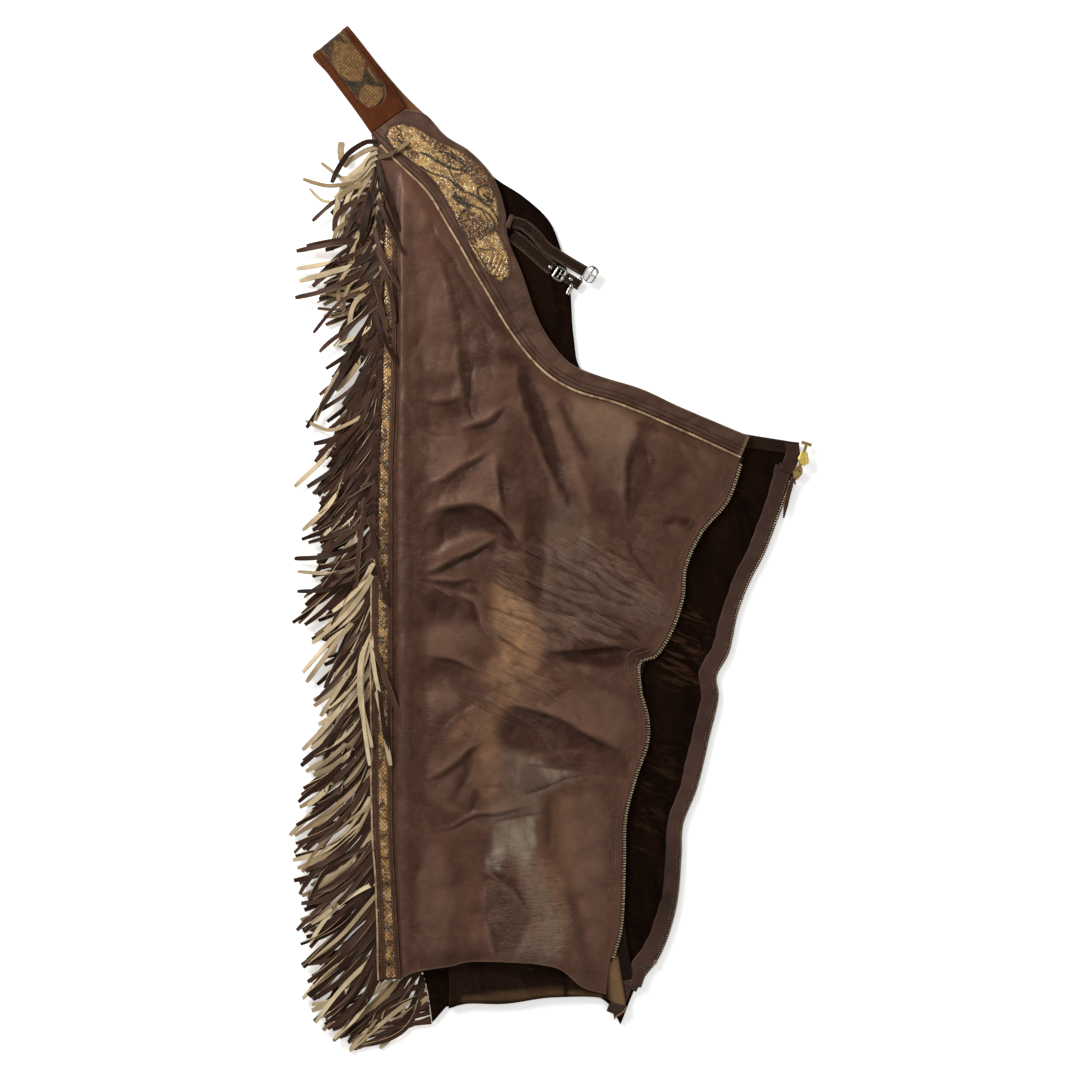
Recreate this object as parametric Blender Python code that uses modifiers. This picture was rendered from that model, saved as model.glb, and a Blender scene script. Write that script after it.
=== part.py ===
"""Western show chaps, folded in half at the centre back and laid flat.

The upper leg lies with its outside up, the lower leg under it with its inside up. Every piece of
leather is a closed wall whose plan comes from short tables of landmarks. Sizes are in millimetres
and turn into metres where a mesh is made. X runs across the leg, Y from hem to waist, Z up; the
origin is the middle of the whole outline, on the surface the chaps lie on.
"""

import bmesh
import bpy
import numpy as np
from math import atan2, cos, pi, radians, sin
from mathutils import Matrix, Vector

MM = 0.001

# Thicknesses
LEATHER = 1.3
TRIM = 1.2
SKIN = 0.8
TAPE = 0.6
FACING_THICK = 1.0
GAP = 0.3

# Undersides of the layers, from the surface up
SKIN_LOW = 0.0
TRIM_LOW = SKIN_LOW + SKIN + GAP
FRONT_LOW = TRIM_LOW + TRIM + GAP
INNER_LOW = FRONT_LOW + LEATHER + GAP
FACING_LOW = INNER_LOW + TAPE + GAP
BACK_HIGH = INNER_LOW + LEATHER + GAP
TAPE_HIGH = BACK_HIGH + LEATHER + GAP
FRONT_HIGH = TAPE_HIGH + TAPE + GAP
TRIM_HIGH = FRONT_HIGH + LEATHER + GAP
SKIN_HIGH = TRIM_HIGH + TRIM + GAP
SEAM_DROP = FRONT_HIGH - TAPE_HIGH

# Widths
BELT_THICK = 2.6
PIPING_RADIUS = 1.3
TEETH_REACH = 3.5
UPPER_TAPE_WIDTH = 14.0
LOWER_TAPE_WIDTH = 17.0
FACING_WIDTH = 18.0
BACK_TAPE_WIDTH = 12.0
STRAP_WIDTH = 13.0
ROOT_GAP = 0.8

# Grid of a front panel: shares of the way across the side strip and the body, and counts of rows
STRIP_COLUMNS = (0.0, 0.3, 0.73, 1.0)
BODY_COLUMNS = (0.0, 0.05, 0.1, 0.15, 0.22, 0.3, 0.38, 0.46, 0.54, 0.62, 0.7, 0.78, 0.86, 0.93, 1.0)
LOWER_STRIP_COLUMNS = (0.0, 1.0)
LOWER_BODY_COLUMNS = (0.0, 0.1, 0.2, 0.3, 0.39, 0.47, 0.55, 0.63, 0.72, 0.81, 0.9, 1.0)
BODY_ROWS, LOWER_BODY_ROWS, YOKE_ROWS = 30, 26, 2
WING_END_SHARE = 0.5

# Outlines of the upper leg. Columns: landmark, x, y
UPPER_SEAM = (
    ("hem", -190, -504),
    ("ankle", -193.5, -418),
    ("shin", -199, -329),
    ("calf", -201.5, -197),
    ("knee", -202.5, -41),
    ("low thigh", -202.5, 39),
    ("thigh", -200, 141),
    ("hip", -200, 380),
    ("waist", -209, 451),
)
UPPER_STRIP_EDGE = (
    ("hem", -167, -502),
    ("ankle", -173, -416),
    ("shin", -177.5, -341),
    ("calf", -178.5, -197),
    ("knee", -180, 0),
    ("low thigh", -180.5, 60),
    ("thigh", -178, 150),
    ("hip", -178, 340),
    ("yoke", -178, 418),
)
UPPER_HEM = (
    ("strip", -167, -502),
    ("roll", -153, -495),
    ("outer dip", -111, -488),
    ("outer rise", -97, -484),
    ("middle", -60, -482),
    ("inner middle", -14, -485),
    ("inner rise", 8, -491),
    ("inner dip", 34, -512),
    ("corner", 58, -519),
)
UPPER_ZIP_EDGE = (
    ("hem", 58, -519),
    ("stop", 62, -485),
    ("ankle", 72, -450),
    ("shin", 76, -380),
    ("low calf", 78, -326),
    ("calf", 90, -281),
    ("tuck below", 103, -243),
    ("tuck", 103, -218),
    ("tuck inside", 95, -185),
    ("tuck top", 96, -154),
    ("fold", 113, -147),
    ("above fold", 130, -121),
    ("knee", 143, -84),
    ("low thigh", 147, -48),
    ("thigh", 165, -9),
    ("high thigh", 195, 27),
    ("wing", 213, 76),
)
UPPER_YOKE_LOW = (
    ("strip", -178, 418),
    ("hip", -143, 383),
    ("fan top", -122, 349),
    ("fan", -83, 281),
    ("fan end", -45, 217),
    ("crotch", -26, 192),
    ("crotch bend", -3, 169),
    ("band start", 27, 152),
    ("band", 76, 137),
    ("band middle", 133, 113),
    ("wing", 213, 76),
)
UPPER_FRONT_EDGE = (
    ("waist", -169, 480),
    ("waist dip", -147, 474),
    ("shoulder", -124, 449),
    ("round", -95, 430),
    ("upper front", -68, 399),
    ("strap", -54, 359),
    ("below strap", -51, 329),
    ("front", -34, 285),
    ("low front", -19, 240),
    ("crotch", -3, 210),
    ("crotch bend", 20, 183),
    ("band start", 54, 168),
    ("band", 99, 154),
    ("band middle", 144, 133),
    ("wing", 223, 99),
)
UPPER_BACK_SEAM = (
    ("hem", -115, -535),
    ("hem top", -117, -490),
    ("ankle", -158, -430),
    ("shin", -190, -350),
    ("calf", -198, -197),
    ("knee", -199, -41),
    ("thigh", -196, 164),
    ("hip", -196, 370),
)
UPPER_BACK_HEM = (
    ("seam", -115, -535),
    ("outer", -96, -530),
    ("middle", -54, -530),
    ("join", 0, -523),
    ("inner", 63, -527),
    ("turned corner", 68, -541),
    ("corner", 80, -531),
)
UPPER_BACK_ZIP_EDGE = (
    ("corner", 80, -531),
    ("ankle", 69, -458),
    ("shin", 60, -380),
    ("calf", 70, -280),
    ("knee", 82, -190),
    ("thigh", 110, -100),
    ("seat", 132, -45),
)

# Outlines of the lower leg. Columns: landmark, x, y
LOWER_SEAM = (
    ("tip", -133, -551),
    ("hem", -139, -514),
    ("ankle", -160, -440),
    ("shin", -175, -300),
    ("knee", -180, -100),
    ("thigh", -180, 100),
    ("hip", -180, 330),
    ("waist", -188, 434),
)
LOWER_STRIP_EDGE = (
    ("tip", -118, -534),
    ("hem", -116, -508),
    ("ankle", -136, -434),
    ("shin", -151, -298),
    ("knee", -156, -100),
    ("thigh", -156, 100),
    ("hip", -156, 310),
    ("yoke", -157, 400),
)
LOWER_HEM = (
    ("tip", -118, -534),
    ("outer", -90, -526),
    ("middle", -20, -519),
    ("inner", 40, -520),
    ("inner dip", 60, -530),
    ("corner", 74, -553),
)
LOWER_ZIP_EDGE = (
    ("hem", 74, -553),
    ("ankle", 94, -507),
    ("stop", 116, -477),
    ("shin", 134, -425),
    ("low calf", 140, -369),
    ("calf", 142, -336),
    ("calf bend", 158, -295),
    ("high calf", 172, -240),
    ("below knee", 183, -193),
    ("tuck", 181, -172),
    ("knee", 195, -145),
    ("above knee", 206, -99),
    ("low thigh", 221, -62),
    ("thigh", 236, -34),
    ("high thigh", 252, 6),
    ("slider foot", 265, 40),
    ("wing", 272, 66),
)
LOWER_YOKE_LOW = (
    ("strip", -157, 400),
    ("hip", -110, 345),
    ("fan", -60, 262),
    ("crotch", -8, 178),
    ("band start", 40, 142),
    ("band", 120, 112),
    ("wing", 272, 66),
)
LOWER_FRONT_EDGE = (
    ("waist", -147, 475),
    ("shoulder", -110, 436),
    ("round", -63, 398),
    ("upper front", -34, 379),
    ("strap top", -4, 350),
    ("strap", 9, 319),
    ("front", 19, 280),
    ("low front", 24, 215),
    ("crotch", 32, 177),
    ("band start", 62, 158),
    ("band", 130, 132),
    ("band middle", 190, 109),
    ("wing", 276, 93),
)
LOWER_BACK_SEAM = (
    ("hem", -90, -500),
    ("ankle", -135, -430),
    ("shin", -172, -300),
    ("knee", -180, -100),
    ("thigh", -180, 100),
    ("hip", -180, 330),
)
LOWER_BACK_HEM = (
    ("seam", -90, -500),
    ("middle", -20, -498),
    ("corner", 48, -500),
)
LOWER_BACK_ZIP_EDGE = (
    ("corner", 48, -500),
    ("shin", 48, -380),
    ("calf", 62, -260),
    ("knee", 92, -140),
    ("seat", 122, -60),
)

# Tips of the fringe, paired from hem to waist with the seam it hangs from. Columns: place, x, y
UPPER_FRINGE_TIPS = (
    ("hem", -197, -540),
    ("low corner", -243, -560),
    ("ankle", -282, -525),
    ("shin", -288, -430),
    ("calf", -291, -260),
    ("knee", -293.5, -90),
    ("low thigh", -290, 0),
    ("thigh", -293, 62),
    ("high thigh", -283, 190),
    ("low hip", -290, 290),
    ("hip", -286, 380),
    ("waist", -252, 440),
)
LOWER_FRINGE_TIPS = (
    ("hem", -150, -548),
    ("lowest strand", -189, -580),
    ("low corner", -250, -572),
    ("ankle", -284, -530),
    ("shin", -288, -430),
    ("knee", -288, -100),
    ("thigh", -286, 100),
    ("hip", -280, 330),
    ("waist", -245, 415),
)

# The gold python piece on the yoke, a closed outline. Columns: landmark, x, y
YOKE_PYTHON = (
    ("waist end", -187, 457),
    ("waist top", -168, 461),
    ("top", -132, 441),
    ("shoulder", -98, 424),
    ("round", -73, 396),
    ("front", -62, 356),
    ("front dip", -63, 336),
    ("low front", -51, 305),
    ("tip", -50, 284),
    ("tip foot", -58, 277),
    ("tail", -79, 294),
    ("low edge", -100, 331),
    ("waist of the piece", -118, 366),
    ("hip", -138, 398),
    ("low waist", -170, 425),
)
LOWER_YOKE_PYTHON = (
    ("waist end", -160, 440),
    ("top", -120, 420),
    ("shoulder", -72, 385),
    ("round", -30, 352),
    ("front", -8, 310),
    ("low front", 2, 265),
    ("tip", -8, 228),
    ("tail", -34, 245),
    ("low edge", -62, 295),
    ("hip", -104, 362),
)

# Largest folds of the upper front panel.
# Columns: name, x and y of one end, x and y of the other, half width, height
FOLDS = (
    ("roll beside the strip, foot", -154, -500, -165, -330, 14, 6.0),
    ("roll beside the strip", -165, -330, -168, 120, 13, 4.5),
    ("yoke fan, outer", -124, 322, -134, 190, 18, 4.0),
    ("yoke fan, middle", -98, 270, -102, 150, 18, 4.5),
    ("yoke fan, inner", -68, 215, -62, 110, 20, 5.0),
    ("thigh ridge", -44, 130, -30, -10, 28, 6.0),
    ("crotch ridge", 36, 110, 24, -30, 30, 6.0),
    ("knee arch, outer", -140, -62, -62, -16, 26, 7.0),
    ("knee arch, inner", -62, -16, 24, -56, 26, 7.0),
    ("knee fan, upper", 10, -36, 102, -78, 22, 5.0),
    ("knee fan, lower", -16, -70, 78, -128, 22, 5.0),
    ("calf crease", -132, -262, 8, -228, 24, 4.0),
    ("shin crease", -134, -340, 6, -312, 26, 5.0),
)
HEM_ARCH_X, HEM_ARCH_Y = -30, -486
HEM_ARCH_HALF_WIDTH, HEM_ARCH_LENGTH, HEM_ARCH_HEIGHT = 84, 150, 9.0
BAND_CALM, SEAM_CALM = 34.0, 30.0

# Belt stations on the upper half, from waist to fold. Columns: left x, left y, right x, right y
BELT_UPPER = (
    (-209.2, 451.6, -169.2, 480.8),
    (-226, 476, -184, 507),
    (-243, 499, -198, 528),
    (-260, 522, -216, 552),
    (-276, 543, -236, 578),
)
BELT_LOWER = (
    (-276, 541, -235, 576),
    (-256, 520, -212, 548),
    (-236, 497, -190, 521),
    (-212, 465, -168, 496),
    (-188.6, 434.8, -147.2, 475.8),
)
FOLD_STEPS = 4
INLAY_SHARE = 0.62
INLAY_ROUND = 16.0

# Front straps, centre lines. Columns: place, x, y, underside
LONG_STRAP = (
    ("keeper", -44.6, 347, 8.3),
    ("bend", -34, 344, 7.6),
    ("slope", -22, 335, 6.5),
    ("lie", -6, 317, 6.3),
    ("edge", 12, 305, 6.3),
    ("buckle", 36.8, 290.0, 6.3),
)
SHORT_STRAP = (
    ("yoke", -46.5, 333, 4.2),
    ("middle", -28, 318, 4.2),
    ("lie", -12, 303, 4.2),
    ("buckle", 0, 293, 4.2),
)
STRAP_END = (
    ("square buckle", 15.0, 284, 4.2),
    ("rivet", 22, 280, 4.2),
    ("tip", 31, 274, 4.2),
)
STRAP_THICK, SHORT_STRAP_THICK = 2.0, 1.8
STRAPS_TURN = radians(-33)
KEEPER_SIZE, KEEPER_CENTRE = (5.0, 12.0, 2.6), (-49.0, 347.0, 9.6)
TIP_SIZE, TIP_CENTRE, TIP_TURN = (5.0, 14.0, 2.2), (19.6, 269.0, 7.6), radians(-28)

# Columns: name, width, length, wire radius, corner radius, x, y, z, tilt in degrees
BUCKLES = (
    ("round_buckle", 12.0, 18.0, 1.5, 5.0, 43.0, 286.0, 7.6, 16),
    ("square_buckle", 10.5, 14.0, 1.2, 2.0, 8.0, 287.4, 5.5, 0),
)
# Columns: name, x, y, the face that it sits on
RIVETS = (
    ("short_strap_rivet", -2.5, 295.2, 6.0),
    ("strap_end_rivet", 21.0, 281.0, 6.2),
)
RIVET_RADIUS, RIVET_HIGH = 2.3, 1.4

# Zip hardware of the lower leg, in the slider's own frame: U across the zip, V along it, up the leg
SLIDER_X, SLIDER_Y, SLIDER_TURN = 277.0, 58.0, radians(-18)
SLIDER_WIDE, SLIDER_LONG, SLIDER_PLATE = 11.0, 14.0, 1.2
SLIDER_TOP = FACING_LOW + FACING_THICK + GAP
PIN_RADIUS, EYE_BORE, EYE_RADIUS = 0.8, 1.1, 1.9
HINGE_V, HINGE_Z = 4.0, SLIDER_TOP + SLIDER_PLATE + GAP + EYE_RADIUS + 0.1
POST_WIDE, POST_APART = 1.2, 4.4
TAB_THICK, TAB_SLOPE = 1.6, radians(-5)
# Columns: place, u, v, underside
THONG = (
    ("knot", -2.1, -7.3, 6.8),
    ("bend", -3.1, -19.3, 6.6),
    ("tip", 0.4, -54.3, 5.4),
)
# Shares of the thong's length, and its half width at each
THONG_HALF_WIDTHS = ((0, 0.2, 0.7, 1), (3.4, 3.0, 2.2, 0.8))
THONG_THICK = 1.6
# Outline of one side of the pull tab, from the eye to its crossbar. Columns: u, v
TAB_SIDE = (
    (1.8, 0), (1.8, 6.5), (5.4, 12.0), (3.6, 18.5), (1.6, 21.0), (1.6, 29.0), (6.0, 29.0), (6.0, 32.5),
)


def principled(name, colour, roughness, metallic=0.0):
    """A plain finish with one colour."""
    material = bpy.data.materials.new(name)
    material.use_nodes = True
    shader = material.node_tree.nodes["Principled BSDF"]
    shader.inputs["Base Color"].default_value = (*colour, 1.0)
    shader.inputs["Roughness"].default_value = roughness
    shader.inputs["Metallic"].default_value = metallic
    return material


FINISHES = {
    "brown leather": ((0.105, 0.055, 0.040), 0.45, 0.0),
    "suede": ((0.030, 0.012, 0.006), 0.95, 0.0),
    "band leather": ((0.085, 0.048, 0.037), 0.5, 0.0),
    "gold python": ((0.40, 0.24, 0.07), 0.35, 0.3),
    "tan piping": ((0.55, 0.40, 0.22), 0.5, 0.0),
    "fringe leather": ((0.16, 0.10, 0.06), 0.8, 0.0),
    "belt leather": ((0.16, 0.04, 0.014), 0.4, 0.0),
    "snakeskin": ((0.26, 0.17, 0.07), 0.5, 0.0),
    "zip tape": ((0.04, 0.025, 0.02), 0.9, 0.0),
    "brass": ((0.60, 0.42, 0.14), 0.3, 1.0),
    "nickel": ((0.62, 0.60, 0.55), 0.2, 1.0),
}


def add_to(collection, thing, finish):
    """Hangs an object in the collection and gives it a material of its own."""
    colour, roughness, metallic = FINISHES[finish]
    thing.data.materials.clear()
    thing.data.materials.append(principled(thing.name, colour, roughness, metallic))
    for other in tuple(thing.users_collection):
        other.objects.unlink(thing)
    collection.objects.link(thing)
    return thing


def landmarks(table):
    """The x and y columns of a table."""
    return np.array([row[1:3] for row in table], dtype=float)


def rounded_line(points, samples=10, closed=False):
    """A Catmull-Rom curve through the points, with centripetal spacing."""
    points = np.asarray(points, dtype=float)
    if closed:
        points = np.vstack([points[-1], points, points[0], points[1]])
    else:
        points = np.vstack([2 * points[0] - points[1], points, 2 * points[-1] - points[-2]])
    pieces = []
    for a, b, c, d in zip(points[:-3], points[1:-2], points[2:-1], points[3:]):
        k1 = np.linalg.norm(b - a) ** 0.5
        k2 = k1 + np.linalg.norm(c - b) ** 0.5
        k3 = k2 + np.linalg.norm(d - c) ** 0.5
        t = np.linspace(k1, k2, samples, endpoint=False)[:, None]
        ab = a + (b - a) * t / k1
        bc = b + (c - b) * (t - k1) / (k2 - k1)
        cd = c + (d - c) * (t - k2) / (k3 - k2)
        abc = ab + (bc - ab) * t / k2
        bcd = bc + (cd - bc) * (t - k1) / (k3 - k1)
        pieces.append(abc + (bcd - abc) * (t - k1) / (k2 - k1))
    if not closed:
        pieces.append(points[-2][None, :])
    return np.vstack(pieces)


def along(line, shares):
    """Points of a line at the given shares of its length."""
    steps = np.linalg.norm(np.diff(line, axis=0), axis=1)
    reach = np.concatenate([[0.0], np.cumsum(steps)]) / steps.sum()
    return np.stack([np.interp(shares, reach, line[:, k]) for k in range(line.shape[1])], axis=1)


def shares_of(points):
    """Each point's share of the length of the line through them."""
    steps = np.linalg.norm(np.diff(points, axis=0), axis=1)
    return np.concatenate([[0.0], np.cumsum(steps)]) / steps.sum()


def coons(bottom, top, left, right, columns):
    """A patch between four edges, with its columns at the given shares of the way across."""
    u = np.asarray(columns, dtype=float)[None, :, None]
    v = np.linspace(0, 1, len(left))[:, None, None]
    ruled = (1 - v) * bottom[None] + v * top[None] + (1 - u) * left[:, None] + u * right[:, None]
    corners = (1 - u) * (1 - v) * bottom[0] + u * (1 - v) * bottom[-1]
    corners = corners + (1 - u) * v * top[0] + u * v * top[-1]
    return ruled - corners


def distance_to(points, line):
    """Distance of each point, in plan, from the nearest stretch of the line."""
    a, b = line[:-1], line[1:]
    span = b - a
    offset = points[..., None, :] - a
    t = np.clip((offset * span).sum(-1) / (span ** 2).sum(-1), 0, 1)
    return np.linalg.norm(offset - t[..., None] * span, axis=-1).min(-1)


def side_of(line, window=24.0):
    """Unit vectors to the right of a line, smoothed over a window of its length."""
    shares = shares_of(line)
    length = np.linalg.norm(np.diff(line, axis=0), axis=1).sum()
    ahead = along(line, np.clip(shares + window / length, 0, 1))
    behind = along(line, np.clip(shares - window / length, 0, 1))
    run = ahead - behind
    run /= np.linalg.norm(run, axis=1)[:, None]
    return np.stack([run[:, 1], -run[:, 0]], axis=1)


def soft_step(x):
    """0 below 0, 1 above 1 and smooth between."""
    x = np.clip(x, 0, 1)
    return x * x * (3 - 2 * x)


def closed_mesh(name, top, bottom):
    """A closed solid between two grids of points with the same rows and columns."""
    rows, columns = top.shape[:2]
    index = np.arange(rows * columns).reshape(rows, columns)
    a, b, c, d = index[:-1, :-1], index[:-1, 1:], index[1:, 1:], index[1:, :-1]
    upper = np.stack([a, b, c, d], axis=-1).reshape(-1, 4)
    lower = np.stack([a, d, c, b], axis=-1).reshape(-1, 4) + rows * columns
    border = np.concatenate([index[0, :-1], index[:-1, -1], index[-1, :0:-1], index[:0:-1, 0]])
    after = np.roll(border, -1)
    rim = np.stack([after, border, border + rows * columns, after + rows * columns], axis=-1)
    faces = np.vstack([upper, lower, rim])
    points = np.vstack([top.reshape(-1, 3), bottom.reshape(-1, 3)]) * MM
    ring = points[faces]
    swept = np.einsum("ij,ij->i", ring[:, 0], np.cross(ring[:, 1], ring[:, 2])).sum()
    swept += np.einsum("ij,ij->i", ring[:, 0], np.cross(ring[:, 2], ring[:, 3])).sum()
    if swept < 0:
        faces = faces[:, ::-1]
    mesh = bpy.data.meshes.new(name)
    mesh.from_pydata(points.tolist(), [], faces.tolist())
    return bpy.data.objects.new(name, mesh)


def wall(name, plan, underside, thickness):
    """A sheet of even thickness over a plan grid; underside is one height or one for each point."""
    underside = np.broadcast_to(np.asarray(underside, dtype=float), plan.shape[:2])
    bottom = np.dstack([plan, underside])
    top = np.dstack([plan, underside + thickness])
    return closed_mesh(name, top, bottom)


def ribbon(name, line, left_edge, right_edge, underside, thickness):
    """A flat strip along a line, from left_edge to right_edge measured to the line's right."""
    across = side_of(line)
    plan = np.stack([line + across * left_edge, line + across * right_edge], axis=1)
    heights = np.broadcast_to(np.asarray(underside, dtype=float).reshape(-1, 1), plan.shape[:2])
    return wall(name, plan, heights, thickness)


def tube(name, points, radius):
    """A round cord along the points, with closed ends."""
    curve = bpy.data.curves.new(name, "CURVE")
    curve.dimensions = "3D"
    curve.bevel_depth = radius * MM
    curve.bevel_resolution = 1
    curve.use_fill_caps = True
    spline = curve.splines.new("POLY")
    spline.points.add(len(points) - 1)
    for knot, point in zip(spline.points, points):
        knot.co = (*(np.asarray(point) * MM), 1.0)
    return bpy.data.objects.new(name, curve)


def plate(name, outline, underside, thickness):
    """A flat piece with a closed outline."""
    curve = bpy.data.curves.new(name, "CURVE")
    curve.dimensions = "2D"
    curve.fill_mode = "BOTH"
    curve.extrude = thickness / 2 * MM
    spline = curve.splines.new("POLY")
    spline.points.add(len(outline) - 1)
    spline.use_cyclic_u = True
    for knot, point in zip(spline.points, outline):
        knot.co = (point[0] * MM, point[1] * MM, 0.0, 1.0)
    thing = bpy.data.objects.new(name, curve)
    thing.location.z = (underside + thickness / 2) * MM
    return thing


def front_plan(seam, strip_edge, hem, zip_edge, yoke_low, front_edge, strip, body, rows, band):
    """Plan points of a front panel: the strip's columns, the body's, and the yoke's rows on top."""
    v = np.linspace(0, 1, rows + 1)
    left = along(rounded_line(landmarks(seam)), v)
    middle = along(rounded_line(landmarks(strip_edge)), v)
    right = along(rounded_line(landmarks(zip_edge)), v)
    strip_hem = left[0] + (middle[0] - left[0]) * np.array(strip)[:, None]
    strip_top = left[-1] + (middle[-1] - left[-1]) * np.array(strip)[:, None]
    body_hem = along(rounded_line(landmarks(hem)), body)
    body_top = along(rounded_line(landmarks(yoke_low)), body)
    outer = coons(strip_hem, strip_top, left, middle, strip)
    inner = coons(body_hem, body_top, middle, right, body)
    panel = np.concatenate([outer[:, :-1], inner], axis=1)
    low = panel[-1]
    high = along(rounded_line(landmarks(front_edge)), shares_of(low))
    lift = np.linspace(0, 1, band + 1)[1:, None, None]
    yoke = low + (high - low) * lift
    return np.concatenate([panel, yoke], axis=0)


def fold_heights(plan):
    """Height of the folds over each plan point: a rounded ridge along each row of FOLDS."""
    height = np.zeros(plan.shape[:2])
    for _, x0, y0, x1, y1, half_width, rise in FOLDS:
        line = np.array([(x0, y0), (x1, y1)], dtype=float)
        near = np.clip(distance_to(plan, line) / half_width, 0, 1)
        height = np.maximum(height, rise * np.cos(near * pi / 2) ** 2)
    across = np.clip(np.abs(plan[..., 0] - HEM_ARCH_X) / HEM_ARCH_HALF_WIDTH, 0, 1)
    up = np.clip((plan[..., 1] - HEM_ARCH_Y) / HEM_ARCH_LENGTH, 0, 1)
    arch = HEM_ARCH_HEIGHT * np.cos(across * pi / 2) ** 2 * np.cos(up * pi / 2) ** 2
    return np.maximum(height, arch)


def upper_front_heights(plan, body_rows, strip_columns):
    """Underside of the upper front panel: low at the outer seam, folded on the body, calm at the yoke."""
    yoke_line = rounded_line(landmarks(UPPER_YOKE_LOW))
    seam_line = rounded_line(landmarks(UPPER_SEAM))
    calm = soft_step(distance_to(plan, yoke_line) / BAND_CALM)
    calm[body_rows:] = 0.0
    calm[:, :strip_columns] = 0.0
    drop = SEAM_DROP * (1 - soft_step(distance_to(plan, seam_line) / SEAM_CALM))
    return FRONT_HIGH - drop + fold_heights(plan) * calm


def upper_leg_front(collection):
    """The upper front panel and all that is sewn on its outside."""
    plan = front_plan(UPPER_SEAM, UPPER_STRIP_EDGE, UPPER_HEM, UPPER_ZIP_EDGE, UPPER_YOKE_LOW,
                      UPPER_FRONT_EDGE, STRIP_COLUMNS, BODY_COLUMNS, BODY_ROWS, YOKE_ROWS)
    strip = len(STRIP_COLUMNS)
    under = upper_front_heights(plan, BODY_ROWS, strip)
    add_to(collection, wall("upper_front_panel", plan, under, LEATHER), "brown leather")

    on_panel = under + LEATHER + GAP
    yoke = slice(BODY_ROWS, None)
    add_to(collection, wall("upper_yoke", plan[yoke], on_panel[yoke], TRIM), "band leather")

    strip_rows = slice(0, BODY_ROWS - 1)
    strip_plan, strip_under = plan[strip_rows, :strip], on_panel[strip_rows, :strip]
    add_to(collection, wall("side_strip", strip_plan, strip_under, TRIM), "band leather")
    inlay_rows = slice(0, BODY_ROWS - 2)
    add_to(collection, wall("side_strip_python", plan[inlay_rows, 1:3],
                            on_panel[inlay_rows, 1:3] + TRIM + GAP, SKIN), "gold python")

    reach = PIPING_RADIUS + GAP
    low_edge = plan[BODY_ROWS, 1:]
    height = on_panel[BODY_ROWS, 1:] + PIPING_RADIUS + GAP
    path = np.column_stack([low_edge + side_of(low_edge) * reach, height])
    add_to(collection, tube("yoke_piping", path[1:], PIPING_RADIUS), "tan piping")

    seam = plan[:BODY_ROWS - 1, 0]
    height = on_panel[:BODY_ROWS - 1, 0] + PIPING_RADIUS
    path = np.column_stack([seam - side_of(seam) * reach, height])
    add_to(collection, tube("side_strip_piping", path, PIPING_RADIUS), "tan piping")

    outline = rounded_line(landmarks(YOKE_PYTHON), samples=3, closed=True)
    add_to(collection, plate("yoke_python", outline, SKIN_HIGH, SKIN), "gold python")
    return plan


def back_plan(seam, hem, zip_edge, columns, rows):
    """Plan points of a back panel, from its hem to its slanted top edge."""
    left = along(rounded_line(landmarks(seam)), np.linspace(0, 1, rows + 1))
    right = along(rounded_line(landmarks(zip_edge)), np.linspace(0, 1, rows + 1))
    shares = np.linspace(0, 1, columns + 1)
    bottom = along(rounded_line(landmarks(hem)), shares)
    top = left[-1] + (right[-1] - left[-1]) * shares[:, None]
    return coons(bottom, top, left, right, shares)


def back_panels(collection):
    """The two back panels, between the front panels, each with its half of the zip."""
    plan = back_plan(UPPER_BACK_SEAM, UPPER_BACK_HEM, UPPER_BACK_ZIP_EDGE, 12, 16)
    add_to(collection, wall("upper_back_panel", plan, BACK_HIGH, LEATHER), "suede")
    edge = plan[1:, -1]
    add_to(collection, ribbon("upper_back_zip_tape", edge, GAP, BACK_TAPE_WIDTH,
                              BACK_HIGH + 2 * GAP, TAPE), "zip tape")

    plan = back_plan(LOWER_BACK_SEAM, LOWER_BACK_HEM, LOWER_BACK_ZIP_EDGE, 6, 14)
    add_to(collection, wall("lower_back_panel", plan, INNER_LOW, LEATHER), "suede")
    add_to(collection, ribbon("lower_back_zip_tape", plan[1:, -1], GAP, BACK_TAPE_WIDTH,
                              INNER_LOW + GAP, TAPE), "zip tape")


def lower_leg_front(collection):
    """The lower front panel, inside up, with the trim that lies under it."""
    plan = front_plan(LOWER_SEAM, LOWER_STRIP_EDGE, LOWER_HEM, LOWER_ZIP_EDGE, LOWER_YOKE_LOW,
                      LOWER_FRONT_EDGE, LOWER_STRIP_COLUMNS, LOWER_BODY_COLUMNS,
                      LOWER_BODY_ROWS, YOKE_ROWS)
    add_to(collection, wall("lower_front_panel", plan, FRONT_LOW, LEATHER), "suede")
    inside_wing = plan[LOWER_BODY_ROWS:].copy()
    inside_wing[:, -1] = inside_wing[:, -2] + (inside_wing[:, -1] - inside_wing[:, -2]) * WING_END_SHARE
    add_to(collection, wall("lower_yoke", inside_wing, TRIM_LOW, TRIM), "band leather")
    strip = plan[1:LOWER_BODY_ROWS - 1, :2]
    add_to(collection, wall("lower_side_strip", strip, TRIM_LOW, TRIM), "band leather")
    outline = rounded_line(landmarks(LOWER_YOKE_PYTHON), samples=3, closed=True)
    add_to(collection, plate("lower_yoke_python", outline, SKIN_LOW, SKIN), "gold python")
    return plan


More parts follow.
